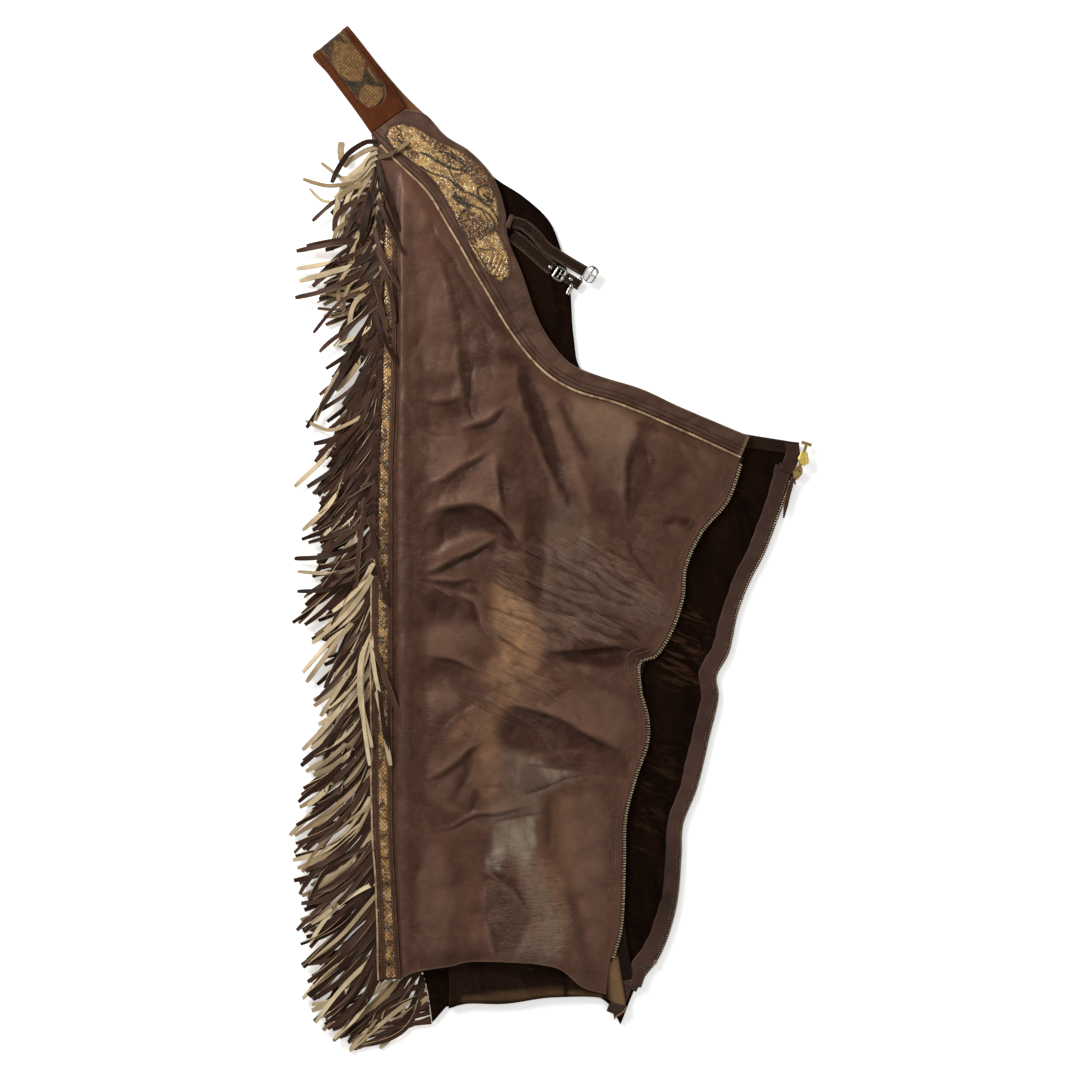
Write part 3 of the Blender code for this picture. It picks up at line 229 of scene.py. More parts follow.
# Creases pressed into the hide, in pixels of the camera's square of 1080 by 1080. A fold is high on the
# left of its run, drops and is low on the right; a ridge is sharp, a line is one turned down; a swell is
# round.
# Columns: kind, half width in pixels, rise in mm, points
CREASES = (
    ("fold", 9, 2.4, ((428, 212), (443, 240), (456, 259), (470, 284), (488, 314), (508, 338))),
    ("fold", 14, 1.5, ((459, 360), (456, 340), (449, 306), (444, 281), (436, 252))),
    ("fold", 12, 1.5, ((470, 426), (464, 408), (460, 390), (456, 362), (458, 342))),
    ("fold", 10, 0.9, ((478, 358), (476, 395), (475, 426))),
    ("swell", 13, -2.2, ((496, 354), (514, 356), (530, 364))),
    ("swell", 11, -5.0, ((522, 360), (527, 385), (536, 408), (543, 430), (551, 455), (560, 478),
        (570, 510))),
    ("ridge", 7, 1.5, ((528, 424), (538, 452), (547, 472), (555, 497), (562, 524))),
    ("ridge", 11, 1.9, ((545, 396), (553, 412), (560, 428), (570, 446), (578, 472), (584, 498), (591, 519),
        (602, 534), (622, 558))),
    ("fold", 9, 2.8, ((458, 432), (478, 424), (490, 418), (508, 404))),
    ("fold", 9, 2.6, ((424, 485), (442, 479), (456, 470), (472, 460), (494, 450))),
    ("fold", 10, 2.4, ((507, 526), (498, 500), (497, 478), (496, 452))),
    ("fold", 9, 1.8, ((424, 400), (440, 401), (455, 399), (468, 394))),
    ("line", 3, 0.9, ((428, 436), (447, 437), (464, 435))),
    ("line", 3, 0.8, ((422, 480), (436, 478), (448, 477))),
    ("fold", 13, 6.0, ((420, 519), (430, 514), (443, 508), (455, 505), (467, 503.5), (480, 504.5),
        (492, 509), (502, 516), (509, 523), (515, 532), (520, 542), (523, 554))),
    ("swell", 20, -3.0, ((430, 540), (455, 524), (480, 522), (506, 538))),
    ("swell", 12, 3.2, ((424, 564), (445, 554), (462, 545), (480, 538), (498, 534))),
    ("fold", 7, 3.4, ((420, 574), (440, 566), (459, 558), (474, 550), (487, 543), (502, 535))),
    ("fold", 6, 2.2, ((420, 579), (443, 581), (456, 581), (470, 579), (484, 586))),
    ("fold", 5, 1.7, ((432, 587), (448, 595), (459, 598))),
    ("fold", 8, 3.4, ((457, 593), (470, 600), (477, 606), (480, 614), (482, 624), (492, 642))),
    ("swell", 18, -4.0, ((420, 606), (445, 607), (470, 611))),
    ("swell", 20, 2.4, ((420, 640), (450, 639), (478, 636))),
    ("fold", 9, 2.6, ((420, 655), (440, 656), (455, 659), (468, 664), (486, 676))),
    ("swell", 16, -3.4, ((420, 674), (445, 675), (470, 678))),
    ("swell", 16, 2.2, ((420, 704), (446, 703), (466, 706))),
    ("fold", 10, 0.8, ((494, 700), (474, 709), (461, 716), (450, 727), (438, 738))),
    ("fold", 8, 3.0, ((421, 780), (440, 773), (455, 763), (468, 750), (488, 740))),
    ("swell", 8, -2.2, ((471, 748), (469, 768), (462, 786), (452, 806))),
    ("swell", 7, -1.2, ((477, 788), (475, 802), (468, 818))),
    ("fold", 12, 4.2, ((498, 708), (510, 706), (523, 706), (543, 711), (560, 717), (576, 724), (594, 736),
        (612, 746), (634, 750))),
    ("ridge", 4, 0.9, ((524, 762), (554, 754), (574, 752), (598, 749))),
    ("line", 3, 1.4, ((522, 765), (548, 768), (574, 771))),
    ("line", 3.5, 1.8, ((518, 797), (546, 788), (563, 781), (588, 775))),
    ("fold", 4.5, 2.0, ((424, 834), (452, 826), (467, 819), (480, 814), (502, 811), (523, 808), (540, 806))),
    ("line", 3.5, 1.6, ((488, 823), (514, 818.6), (532, 815.5), (550, 812))),
    ("line", 2.5, 0.9, ((476, 787), (492, 788), (508, 787))),
    ("swell", 8, -1.9, ((547, 794), (549, 826), (549, 860))),
    ("fold", 5, 2.0, ((534, 924), (522, 903), (514, 892), (500, 881), (487, 873), (470, 868))),
    ("ridge", 3.5, 1.4, ((486, 880), (485, 900), (486, 921))),
    ("fold", 7, 2.0, ((494, 964), (491, 940), (485, 918))),
    ("swell", 11, -2.2, ((566, 888), (577, 915), (583, 945), (590, 976))),
    ("swell", 14, -1.5, ((455, 844), (458, 880), (455, 906))),
    ("swell", 12, -1.3, ((456, 916), (456, 950), (458, 968))),
    ("line", 3.5, 2.4, ((490, 538), (512, 551), (529, 557), (545, 564), (560, 570), (578, 578), (593, 587),
        (602, 597), (619, 604), (639, 609), (650, 615), (666, 621))),
    ("line", 3.5, 2.3, ((484, 576), (504, 588), (523, 598), (539, 608), (556, 614), (575, 618), (594, 626))),
    ("line", 3.5, 2.3, ((470, 597), (487, 608), (498, 611), (517, 619), (531, 623), (545, 631), (571, 638),
        (583, 645), (598, 652))),
    ("line", 3.5, 2.2, ((490, 630), (507, 643), (520, 652), (538, 663))),
    ("line", 3, 1.8, ((498, 558), (512, 569), (520, 574), (529, 583), (543, 592), (560, 599), (578, 607),
        (593, 615), (609, 618), (626, 623), (643, 630), (658, 636))),
    ("line", 3, 1.6, ((546, 577), (559, 586), (571, 590), (585, 592), (604, 598))),
    ("line", 2.5, 1.4, ((567, 575), (577, 587), (580, 592))),
    ("line", 3.5, 2.2, ((550, 552), (572, 562), (593, 571), (600, 579), (609, 587), (626, 597), (643, 604),
        (654, 607))),
    ("line", 3, 1.9, ((590, 554), (602, 568), (612, 576), (624, 584), (638, 592), (653, 600))),
    ("line", 3, 1.8, ((600, 550), (612, 566), (619, 576), (631, 585), (644, 592))),
    ("line", 3.5, 2.0, ((604, 549), (619, 556), (634, 571))),
    ("line", 3.5, 1.9, ((622, 530), (631, 552), (641, 568), (650, 580), (665, 595))),
    ("line", 4, 3.2, ((578, 623), (597, 632), (612, 639), (626, 641), (638, 649))),
    ("line", 4, 3.0, ((606, 619), (621, 629), (635, 638), (646, 650))),
    ("fold", 8, 3.0, ((540, 652), (566, 650), (590, 649), (615, 647), (644, 654))),
    ("line", 5, 4.3, ((572, 655), (600, 652), (622, 650), (640, 655))),
    ("swell", 9, -3.0, ((550, 657), (580, 660), (603, 663), (634, 655))),
    ("line", 2.5, 0.9, ((541, 686), (556, 682), (572, 680))),
    ("line", 2.5, 0.9, ((552, 700), (564, 692), (574, 688))),
    ("ridge", 5, 1.5, ((673, 428), (688, 454), (697, 472), (705, 492))),
    ("ridge", 6, 1.5, ((696, 443), (707, 457), (716, 476))),
    ("ridge", 3, 1.0, ((643, 419), (655, 426))),
    ("ridge", 3, 0.9, ((656, 424), (666, 434))),
    ("fold", 9, 2.4, ((627, 530), (624, 490), (626, 460), (636, 434), (640, 416))),
    ("fold", 5, 1.4, ((641, 440), (649, 455), (656, 482))),
    ("swell", 8, -2.2, ((660, 522), (679, 521), (700, 527))),
    ("swell", 7, -2.2, ((560, 396), (570, 425), (580, 447), (592, 466))),
    ("ridge", 4, 1.0, ((582, 434), (590, 440), (600, 450))),
    ("swell", 8, 2.4, ((404, 205), (404, 330), (404, 520), (405, 700), (405, 850), (407, 978))),
    ("swell", 3, -1.6, ((396.5, 190), (396, 400), (396.5, 600), (397, 800), (401, 978))),
)
# Places where the finish is painted: dark is painted shade on the lee sides of the folds and in their
# hollows, pale is painted light on faces turned to the lamp, grey and shine are painted sheen and highlights,
# tan is where the grain is worn through, worn and creped are where it is finely wrinkled. Columns: paint,
# share, softness of the rim in pixels, outline
PLACES = (
    ("dark", 0.62, 8, ((430, 224), (442, 238), (455, 256), (466, 276), (482, 300), (500, 322), (514, 340),
        (500, 342), (484, 322), (470, 302), (458, 282), (448, 262), (436, 246))),
    ("dark", 0.46, 11, ((441, 262), (452, 268), (464, 290), (476, 314), (490, 332), (498, 348), (488, 350),
        (474, 346), (458, 350), (453, 330), (447, 305))),
    ("dark", 0.68, 6, ((459, 345), (492, 347), (490, 358), (484, 366), (477, 370), (476, 418), (470, 424),
        (464, 408), (462, 385), (459, 364))),
    ("dark", 0.68, 7, ((500, 345), (516, 350), (527, 362), (522, 366), (500, 366))),
    ("dark", 1.0, 5, ((516.5, 364), (529, 366), (534.6, 384.8), (543, 398.8), (550, 424), (557, 449),
        (563, 473), (570, 510), (560, 492), (552, 474), (546, 460), (538.8, 445), (530.4, 429.6),
        (523.4, 410), (519, 396))),
    ("dark", 0.5, 5, ((463, 430), (486, 421), (505, 409), (503, 416), (494, 428), (480, 436), (473, 440),
        (473, 452), (465, 458), (469, 444))),
    ("dark", 0.5, 6, ((487, 457), (480, 466), (471.6, 474), (463, 484), (454.8, 492), (442, 498),
        (424, 503), (424, 489), (442, 482), (456, 474), (470, 465))),
    ("dark", 0.53, 6, ((508, 406), (523, 415), (531, 432), (537, 447), (545, 470), (553, 492), (557, 522),
        (506, 522), (500, 500), (498, 480), (498, 462), (503, 448), (505, 430))),
    ("dark", 0.46, 7, ((442, 403), (469, 404), (470, 418), (455, 417), (443, 414))),
    ("dark", 0.3, 6, ((427, 378), (455, 378), (457, 387), (428, 389))),
    ("dark", 0.7, 6, ((424, 525), (436, 519), (449, 510.3), (460, 508), (472, 511), (487, 513),
        (497, 516.5), (504.3, 522.7), (510.5, 531.3), (517, 540), (521, 552), (508, 548), (499, 538),
        (489.5, 533), (480, 529), (467, 533), (455, 537), (443, 545), (428, 554), (422, 553))),
    ("dark", 1.0, 4, ((444, 514), (455, 509), (466, 512), (487, 515), (498, 518), (508, 530), (515, 542),
        (506, 540), (496, 530), (480, 524), (460, 519))),
    ("dark", 0.95, 2.5, ((430, 574), (449, 566), (467, 556.5), (487, 546.5), (500, 541), (494.5, 550),
        (479.7, 556.5), (465, 562.5), (452.5, 569.5), (436.5, 576))),
    ("dark", 0.8, 3, ((436, 583.5), (455, 583), (469.8, 586), (482, 593), (470, 595), (455, 590.5),
        (442.7, 588.5))),
    ("dark", 0.6, 10, ((422, 588), (438, 594), (452, 598), (463, 602), (471, 609), (475, 617), (466, 623),
        (455, 625), (440, 624), (422, 622))),
    ("dark", 0.6, 3, ((462, 600), (470, 604), (476, 612), (478, 622), (473, 620), (468, 610))),
    ("dark", 0.4, 12, ((422, 657), (433, 657), (445, 660.5), (459, 664), (471, 671), (480, 683),
        (466, 692), (446, 688), (422, 685))),
    ("dark", 0.8, 4, ((526, 500), (541.5, 498), (542.5, 588), (538, 601), (531, 597), (527, 570))),
    ("dark", 0.38, 8, ((505, 498), (556, 498), (553, 518), (540, 530), (524, 528), (510, 512))),
    ("dark", 1.0, 7, ((551, 656), (571, 652), (602, 651), (626, 648), (640, 651), (640, 657), (621, 659),
        (602, 671), (583, 665), (559, 659))),
    ("dark", 1.0, 6, ((612, 641), (637, 645), (648, 650), (652, 657), (634, 658), (626, 650))),
    ("dark", 0.5, 8, ((560, 636), (600, 640), (628, 646), (600, 652), (560, 650))),
    ("dark", 0.72, 5, ((637, 422), (646, 422), (656, 426), (657, 433), (652, 434), (646, 443), (655, 455),
        (652, 478), (643, 496), (631, 525), (622, 516), (625, 495), (625, 466), (628, 447), (636, 438))),
    ("dark", 0.5, 7, ((596, 491), (619, 490), (628, 525), (637, 538), (634, 557), (622, 553), (602, 525),
        (594, 512))),
    ("dark", 0.7, 4, ((660, 521), (679, 518), (697, 523), (690, 531), (672, 527))),
    ("dark", 0.47, 4, ((559, 401), (569, 399), (575, 421), (583, 437), (590, 454), (584, 460), (577, 446),
        (569, 432), (562, 419))),
    ("dark", 0.72, 7, ((506, 708), (520, 706.7), (532, 711), (546, 717), (562, 723.5), (578, 731),
        (600, 739), (615, 747), (612, 752), (594, 750), (574, 752), (554, 755), (538, 756), (514, 748),
        (501, 744), (498, 731), (502, 716))),
    ("dark", 0.5, 6, ((540, 760), (556, 754), (580, 752), (600, 746), (616, 748), (628, 762), (626, 776),
        (600, 775), (575, 771), (560, 767))),
    ("dark", 0.35, 4, ((522, 766.5), (538.7, 768.5), (551, 783), (532.5, 794), (522, 792))),
    ("dark", 0.5, 5, ((420, 795), (434, 803), (454, 811), (467, 817), (452, 825), (431, 830), (424, 815))),
    ("dark", 0.4, 5, ((468, 751), (478, 750), (480, 768), (474, 780), (471, 790), (465, 799), (459, 807),
        (448, 802), (454, 790), (462, 774), (463, 762))),
    ("dark", 0.4, 5, ((474, 789), (480, 789), (479, 808), (473, 815), (466, 815), (470, 802))),
    ("dark", 0.35, 8, ((545, 792), (554, 799), (555, 814), (558, 829), (556, 856), (547, 856), (543, 829),
        (541, 811))),
    ("dark", 0.5, 6, ((488, 884), (502, 888.5), (514, 895), (523, 910), (530, 919), (523, 934), (514, 952),
        (496, 961), (492.7, 943), (489.6, 928), (487, 918))),
    ("dark", 0.55, 3, ((482, 873), (497, 872), (512, 878), (522, 895), (526, 908), (514, 893), (500, 883),
        (484, 878))),
    ("dark", 0.2, 12, ((445, 848), (462, 846), (467, 876), (459, 898), (451, 898), (445, 882))),
    ("dark", 0.2, 12, ((447, 922), (462, 922), (464, 958), (448, 967))),
    ("dark", 0.3, 8, ((567, 888), (579, 912), (583, 943), (591, 972), (584, 976), (577, 959), (569, 934),
        (566, 910))),
    ("dark", 0.4, 6, ((437, 720), (450, 716), (446, 740), (426, 756), (422, 736))),
    ("dark", 0.28, 14, ((600, 470), (650, 455), (722, 478), (700, 530), (680, 590), (650, 590), (620, 560),
        (594, 520))),
    ("dark", 0.5, 5, ((404, 205), (412, 205), (412, 978), (405, 978))),
    ("dark", 0.35, 4, ((392, 180), (398, 180), (400, 978), (394, 978))),
    ("dark", 0.5, 6, ((430, 955), (470, 950), (540, 952), (560, 962), (540, 966), (480, 964), (440, 972),
        (428, 972))),
    ("dark", 0.42, 11, ((444, 250), (458, 262), (478, 296), (492, 330), (482, 344), (456, 320), (444, 290))),
    ("tan", 0.35, 12, ((478, 742), (500, 738), (502, 780), (492, 800), (474, 790))),
    ("pale", 0.8, 10, ((486, 752), (502, 750), (500, 795), (486, 792))),
    ("pale", 0.9, 10, ((512, 852), (552, 862), (564, 940), (548, 960), (526, 940), (532, 890))),
    ("pale", 0.8, 6, ((422, 626), (474, 625), (481, 636), (470, 649), (443, 656), (422, 652))),
    ("pale", 0.7, 6, ((422, 694), (446, 690), (462, 700), (458, 712), (440, 716), (422, 712))),
    ("pale", 0.9, 7, ((424, 440), (468, 440), (462, 458), (446, 472), (424, 480))),
    ("pale", 0.9, 5, ((484, 458), (494, 456), (496, 480), (500, 504), (486, 503), (466, 504), (456, 498),
        (470, 482))),
    ("pale", 0.6, 6, ((426, 300), (438, 290), (447, 320), (452, 360), (440, 380), (426, 372))),
    ("pale", 0.6, 4, ((478, 372), (492, 366), (500, 380), (496, 404), (478, 420))),
    ("pale", 0.6, 4, ((432, 212), (444, 230), (462, 258), (484, 292), (478, 296), (458, 270), (440, 244))),
    ("pale", 0.5, 3, ((546, 398), (556, 410), (564, 432), (574, 452), (582, 480), (590, 512), (582, 512),
        (570, 480), (560, 450), (550, 424))),
    ("pale", 0.9, 2, ((424, 571), (440, 564), (459, 556), (474, 548), (487, 541), (496, 536), (490, 543),
        (474, 551), (459, 559), (440, 567))),
    ("pale", 0.7, 2, ((424, 517), (443, 508), (455, 504), (468, 502), (480, 503), (492, 507), (503, 515),
        (512, 525), (521, 540), (518, 542), (508, 526), (500, 518), (490, 510), (468, 506), (443, 511))),
    ("pale", 1.0, 8, ((560, 700), (600, 690), (622, 700), (628, 730), (606, 736), (586, 722))),
    ("pale", 0.55, 8, ((426, 770), (446, 764), (452, 784), (440, 800), (428, 796))),
    ("pale", 1.0, 9, ((560, 800), (600, 800), (604, 880), (600, 960), (588, 930), (574, 880))),
    ("pale", 1.0, 8, ((424, 850), (444, 850), (446, 960), (430, 965))),
    ("pale", 0.7, 3, ((523, 705), (543, 709), (562, 716), (578, 723), (598, 737), (594, 739), (574, 728),
        (556, 719), (538, 712))),
    ("dark", 0.3, 14, ((650, 440), (700, 450), (716, 480), (690, 510), (660, 500))),
    ("grey", 0.45, 12, ((571, 398), (582, 400), (600, 402), (620, 408), (634, 414), (638, 424), (634, 436),
        (626, 452), (622, 472), (622, 492), (610, 495), (600, 480), (590, 470), (583, 455), (580, 440),
        (572, 425))),
    ("grey", 0.5, 12, ((543, 520), (556, 516), (575, 523), (590, 540), (600, 556), (615, 575), (640, 592),
        (662, 606), (664, 624), (640, 622), (600, 606), (575, 600), (543, 590))),
    ("grey", 0.4, 5, ((543.5, 512), (552, 500), (566, 498), (580, 512), (592, 535), (604, 560), (640, 600),
        (600, 608), (570, 606), (543.5, 602))),
    ("grey", 0.3, 5, ((543.5, 600), (575, 606), (600, 620), (590, 640), (560, 648), (543.5, 650))),
    ("dark", 0.3, 14, ((560, 540), (600, 556), (640, 590), (664, 610), (650, 640), (600, 640), (560, 620),
        (546, 590))),
    ("dark", 1.0, 5, ((572, 640), (605, 643), (630, 650), (648, 655), (636, 664), (606, 666), (575, 660))),
    ("dark", 0.45, 5, ((398, 380), (412, 380), (412, 780), (398, 780))),
    ("grey", 0.4, 12, ((545, 600), (580, 606), (620, 622), (600, 640), (560, 636), (544, 624))),
    ("grey", 0.75, 9, ((502, 756), (516, 752.7), (538.7, 759), (548, 767), (569, 771), (578, 777),
        (554, 786), (543, 796), (540, 814), (532, 820), (489, 823), (491, 811), (499, 802), (506, 796),
        (505, 768))),
    ("grey", 1.0, 9, ((499, 822), (530, 818), (534, 851), (538, 867), (545, 887), (555, 912), (562, 946),
        (556, 962), (512, 962), (522, 936), (532, 917), (526, 896), (521, 872), (514, 862), (505, 858),
        (492, 866), (485, 868), (492, 850))),
    ("grey", 0.35, 8, ((488, 884), (502, 888.5), (514, 895), (523, 910), (530, 919), (523, 934),
        (514, 952), (496, 961))),
    ("shine", 0.7, 9, ((500, 826), (516, 824), (524, 836), (528, 860), (522, 868), (514, 850), (500, 862),
        (493, 852))),
    ("shine", 0.6, 3, ((527, 818), (531, 818), (535, 845), (531, 848))),
    ("shine", 0.5, 5, ((540, 770), (566, 773), (560, 781), (551, 782))),
    ("shine", 0.6, 3, ((531, 760), (542, 764), (536, 767), (530, 765))),
    ("shine", 0.5, 4, ((486, 862), (497, 858), (500, 870), (488, 870))),
    ("tan", 0.6, 9, ((494.5, 584), (510.5, 589), (529, 603), (539, 621), (544, 634), (541, 652),
        (539, 663), (529, 682), (487, 682), (491, 664.5), (497, 646), (494.5, 631), (492, 613))),
    ("tan", 1.0, 9, ((497, 588), (514, 593), (530, 606), (536, 620), (528, 640), (520, 656), (506, 664),
        (498, 650), (503, 634), (500, 618), (496, 604))),
    ("tan", 0.4, 14, ((480, 676), (545, 676), (520, 700), (505, 712), (500, 730), (502, 752), (488, 758),
        (476, 762), (482, 742), (470, 735), (452, 737), (470, 715), (486, 703), (486, 690))),
    ("tan", 0.3, 12, ((571, 402), (600, 404), (630, 414), (634, 430), (600, 450), (584, 440))),
    ("tan", 0.2, 14, ((536, 860), (566, 880), (568, 950), (545, 958), (534, 920))),
    ("tan", 0.15, 10, ((556, 800), (574, 800), (574, 870), (560, 870))),
    ("worn", 1.0, 12, ((490, 560), (560, 540), (610, 545), (665, 600), (655, 630), (600, 645), (540, 640),
        (500, 600))),
    ("worn", 0.6, 12, ((500, 600), (545, 620), (560, 700), (500, 740), (450, 735), (450, 700), (480, 690))),
    ("creped", 1.0, 10, ((490, 850), (520, 845), (560, 870), (570, 950), (520, 962), (495, 940))),
    ("creped", 0.5, 12, ((424, 690), (450, 700), (440, 790), (424, 790))),
    ("creped", 0.5, 8, ((454, 626), (472, 626), (474, 646), (456, 648))),
)


def charted(points):
    """Plan points in mm of points read through the camera, where v pixels up tip by the camera's lean."""
    points = np.asarray(points, dtype=float)
    u, v = points[..., 0] - PIXEL_MIDDLE, PIXEL_MIDDLE - points[..., 1]
    reach = LENS_HIGH / (LENS_PIXELS * cos(CAMERA_TIP) - v * sin(CAMERA_TIP))
    lean = LENS_HIGH * sin(CAMERA_TIP) / cos(CAMERA_TIP)
    y = reach * (v * cos(CAMERA_TIP) + LENS_PIXELS * sin(CAMERA_TIP)) - lean
    return np.stack([reach * u + MIDDLE_X, y + MIDDLE_Y], axis=-1)


def rounded_line(points, samples=10, closed=False):
    """A Catmull-Rom curve through the points, with centripetal spacing."""
    points = np.asarray(points, dtype=float)
    if closed:
        points = np.vstack([points[-1], points, points[0], points[1]])
    else:
        points = np.vstack([2 * points[0] - points[1], points, 2 * points[-1] - points[-2]])
    pieces = []
    for a, b, c, d in zip(points[:-3], points[1:-2], points[2:-1], points[3:]):
        k1 = np.linalg.norm(b - a) ** 0.5
        k2 = k1 + np.linalg.norm(c - b) ** 0.5
        k3 = k2 + np.linalg.norm(d - c) ** 0.5
        t = np.linspace(k1, k2, samples, endpoint=False)[:, None]
        ab = a + (b - a) * t / k1
        bc = b + (c - b) * (t - k1) / (k2 - k1)
        cd = c + (d - c) * (t - k2) / (k3 - k2)
        abc = ab + (bc - ab) * t / k2
        bcd = bc + (cd - bc) * (t - k1) / (k3 - k1)
        pieces.append(abc + (bcd - abc) * (t - k1) / (k2 - k1))
    if not closed:
        pieces.append(points[-2][None, :])
    return np.vstack(pieces)


def shares_of(points):
    """Each point's share of the length of the line through them."""
    steps = np.linalg.norm(np.diff(points, axis=0), axis=1)
    return np.concatenate([[0.0], np.cumsum(steps)]) / steps.sum()


def length_of(points):
    """The length of the line through the points."""
    return np.linalg.norm(np.diff(points, axis=0), axis=1).sum()


def along(line, shares):
    """Points of a line at the given shares of its length."""
    return np.stack([np.interp(shares, shares_of(line), line[:, k]) for k in range(line.shape[1])], axis=1)


def curve(points, count, start=0.0, finish=1.0, samples=10):
    """So many points of the round line through the given ones, evenly between two shares of its length."""
    return along(rounded_line(points, samples), np.linspace(start, finish, count))


def coons(bottom, top, left, right, columns):
    """A patch between four edges: the two ruled surfaces less the plane of the corners."""
    u = np.asarray(columns, dtype=float)[None, :, None]
    v = np.linspace(0, 1, len(left))[:, None, None]
    ruled = (1 - v) * bottom[None] + v * top[None] + (1 - u) * left[:, None] + u * right[:, None]
    corners = (1 - u) * (1 - v) * bottom[0] + u * (1 - v) * bottom[-1]
    return ruled - corners - (1 - u) * v * top[0] - u * v * top[-1]


def spanned(a, b, columns):
    """A grid of points whose rows run from line a to line b, at the columns' shares of the way."""
    return a[:, None] + (b - a)[:, None] * np.asarray(columns)[None, :, None]


def soft_step(x):
    """0 below 0, 1 above 1 and smooth between."""
    x = np.clip(x, 0, 1)
    return x * x * (3 - 2 * x)


def bell(x, middle, width):
    """1 at the middle, falling as exp of minus the square of the distance over the width."""
    return np.exp(-((x - middle) / width) ** 2)


def side_of(line, window=24.0):
    """Unit vectors to the right of a line, smoothed over a window of its length."""
    shares, part = shares_of(line), window / length_of(line)
    run = along(line, np.clip(shares + part, 0, 1)) - along(line, np.clip(shares - part, 0, 1))
    run /= np.linalg.norm(run, axis=1)[:, None]
    return np.stack([run[:, 1], -run[:, 0]], axis=1)


def widened(line, reach, window=24.0):
    """A grid of points beside a line: each row lies at the reaches in mm to the line's right."""
    return line[:, None, :2] + side_of(line[:, :2], window)[:, None] * np.atleast_2d(reach)[..., None]


def beside(points, line):
    """For points in plan: signed distance from a line, positive to its right, and the share of its length
    there."""
    a, span = line[:-1], np.diff(line, axis=0)
    steps = np.linalg.norm(span, axis=1)
    offset = points[:, None] - a
    t = np.clip((offset * span).sum(-1) / steps ** 2, 0, 1)
    gap = offset - t[..., None] * span
    far = np.hypot(gap[..., 0], gap[..., 1])
    best = far.argmin(1)
    row = np.arange(len(points))
    turn = span[best, 0] * offset[row, best, 1] - span[best, 1] * offset[row, best, 0]
    share = (np.cumsum(steps)[best] - steps[best] * (1 - t[row, best])) / steps.sum()
    return np.where(turn < 0, 1.0, -1.0) * far[row, best], share


def gap_to(plan, points):
    """Signed distance of each plan point from the round line through the points, positive to its right."""
    return beside(plan.reshape(-1, 2), rounded_line(points))[0].reshape(plan.shape[:2])


def near_line(flat, line, reach):
    """Which of the points lie in the box round a line, widened by the reach."""
    return np.flatnonzero(((flat > line.min(0) - reach) & (flat < line.max(0) + reach)).all(1))


def pressed(plan, rows):
    """Height over each plan point: for every row, its rise times a profile of s, the distance from its
    line over the half width. Swell: cosine squared of s. Ridge: exp of -s, rounded at the crest, shorter
    on the right; a line is the same turned down. Fold: exp of s on the left, a cosine drop over 0.6, then
    -0.75 times exp of the rest. The rise and the width fade in over the first third of the line and out
    over the last."""
    flat = plan.reshape(-1, 2)
    height = np.zeros(len(flat))
    for kind, half, rise, points in rows:
        line = rounded_line(charted(points), samples=5)
        near = near_line(flat, line, 4 * half * PIXEL)
        gap, share = beside(flat[near], line)
        fade = soft_step(share / 0.34) * soft_step((1 - share) / 0.34)
        s = gap / (half * PIXEL * (0.65 + 0.35 * fade))
        if kind == "swell":
            profile = np.cos(np.clip(np.abs(s), 0, 1) * pi / 2) ** 2
        elif kind == "fold":
            drop = -0.75 + 1.75 * (0.5 + 0.5 * np.cos(pi * np.clip(s / 0.6, 0, 1)))
            low = np.where(s < 0.6, drop, -0.75 * np.exp(-(s - 0.6) * 1.3))
            profile = np.where(s < 0, np.exp(np.minimum(s, 0) * 1.2), low)
        else:
            away = np.sqrt(s ** 2 + 0.03) - 0.173
            profile = np.exp(-away * np.where(s > 0, 2.4, 1.5)) * {"ridge": 1, "line": -1}[kind]
        height[near] += rise * profile * fade
    return height.reshape(plan.shape[:2])


def waves(plan, length, seed, count=7):
    """Smooth uneven swelling from -1 to 1: a mean of plane waves near the given length, in seeded
    directions."""
    lot = np.random.default_rng(seed)
    total = np.zeros(plan.shape[:2])
    for turn, stretch, phase in lot.uniform((0, 0.7, 0), (2 * pi, 1.4, 2 * pi), (count, 3)):
        ahead = plan[..., 0] * cos(turn) + plan[..., 1] * sin(turn)
        total += np.sin(ahead * 2 * pi / (length * stretch) + phase)
    return total / count * 1.6


def paint(plan, rows, name):
    """How much of a paint lies on each plan point: the largest of its rows, each a soft streak along its
    line."""
    flat = plan.reshape(-1, 2)
    much = np.zeros(len(flat))
    for kind, half, share, points in rows:
        if kind == name:
            gap, _ = beside(flat, rounded_line(charted(points), samples=4))
            much = np.maximum(much, share * soft_step(1.25 - np.abs(gap) / (half * PIXEL)))
    return much.reshape(plan.shape[:2])


def hairline_shade(plan, rows):
    """How much painted shade lies on each plan point along the hairlines of the creases that are lines."""
    flat = plan.reshape(-1, 2)
    much = np.zeros(len(flat))
    for kind, half, rise, points in rows:
        if kind == "line":
            line = rounded_line(charted(points), samples=5)
            near = near_line(flat, line, 6)
            gap, share = beside(flat[near], line)
            fade = soft_step(share / 0.2) * soft_step((1 - share) / 0.2) * min(1.0, rise / 1.8)
            much[near] = np.maximum(much[near], fade * bell(gap, -0.5, 1.2))
    return much.reshape(plan.shape[:2])


def outline_inside(plan, outline):
    """Distance of plan points inside a closed outline; below 0 outside."""
    flat = plan.reshape(-1, 2)
    ring = np.vstack([outline, outline[:1]])
    far = np.abs(beside(flat, ring)[0])
    a, b = ring[:-1], ring[1:]
    high = (a[:, 1] > flat[:, 1:]) != (b[:, 1] > flat[:, 1:])
    with np.errstate(divide="ignore", invalid="ignore"):
        cross = a[:, 0] + (flat[:, 1:] - a[:, 1]) * (b[:, 0] - a[:, 0]) / (b[:, 1] - a[:, 1])
    inside = (high & (flat[:, :1] < cross)).sum(1) % 2 == 1
    return np.where(inside, far, -far).reshape(plan.shape[:-1])


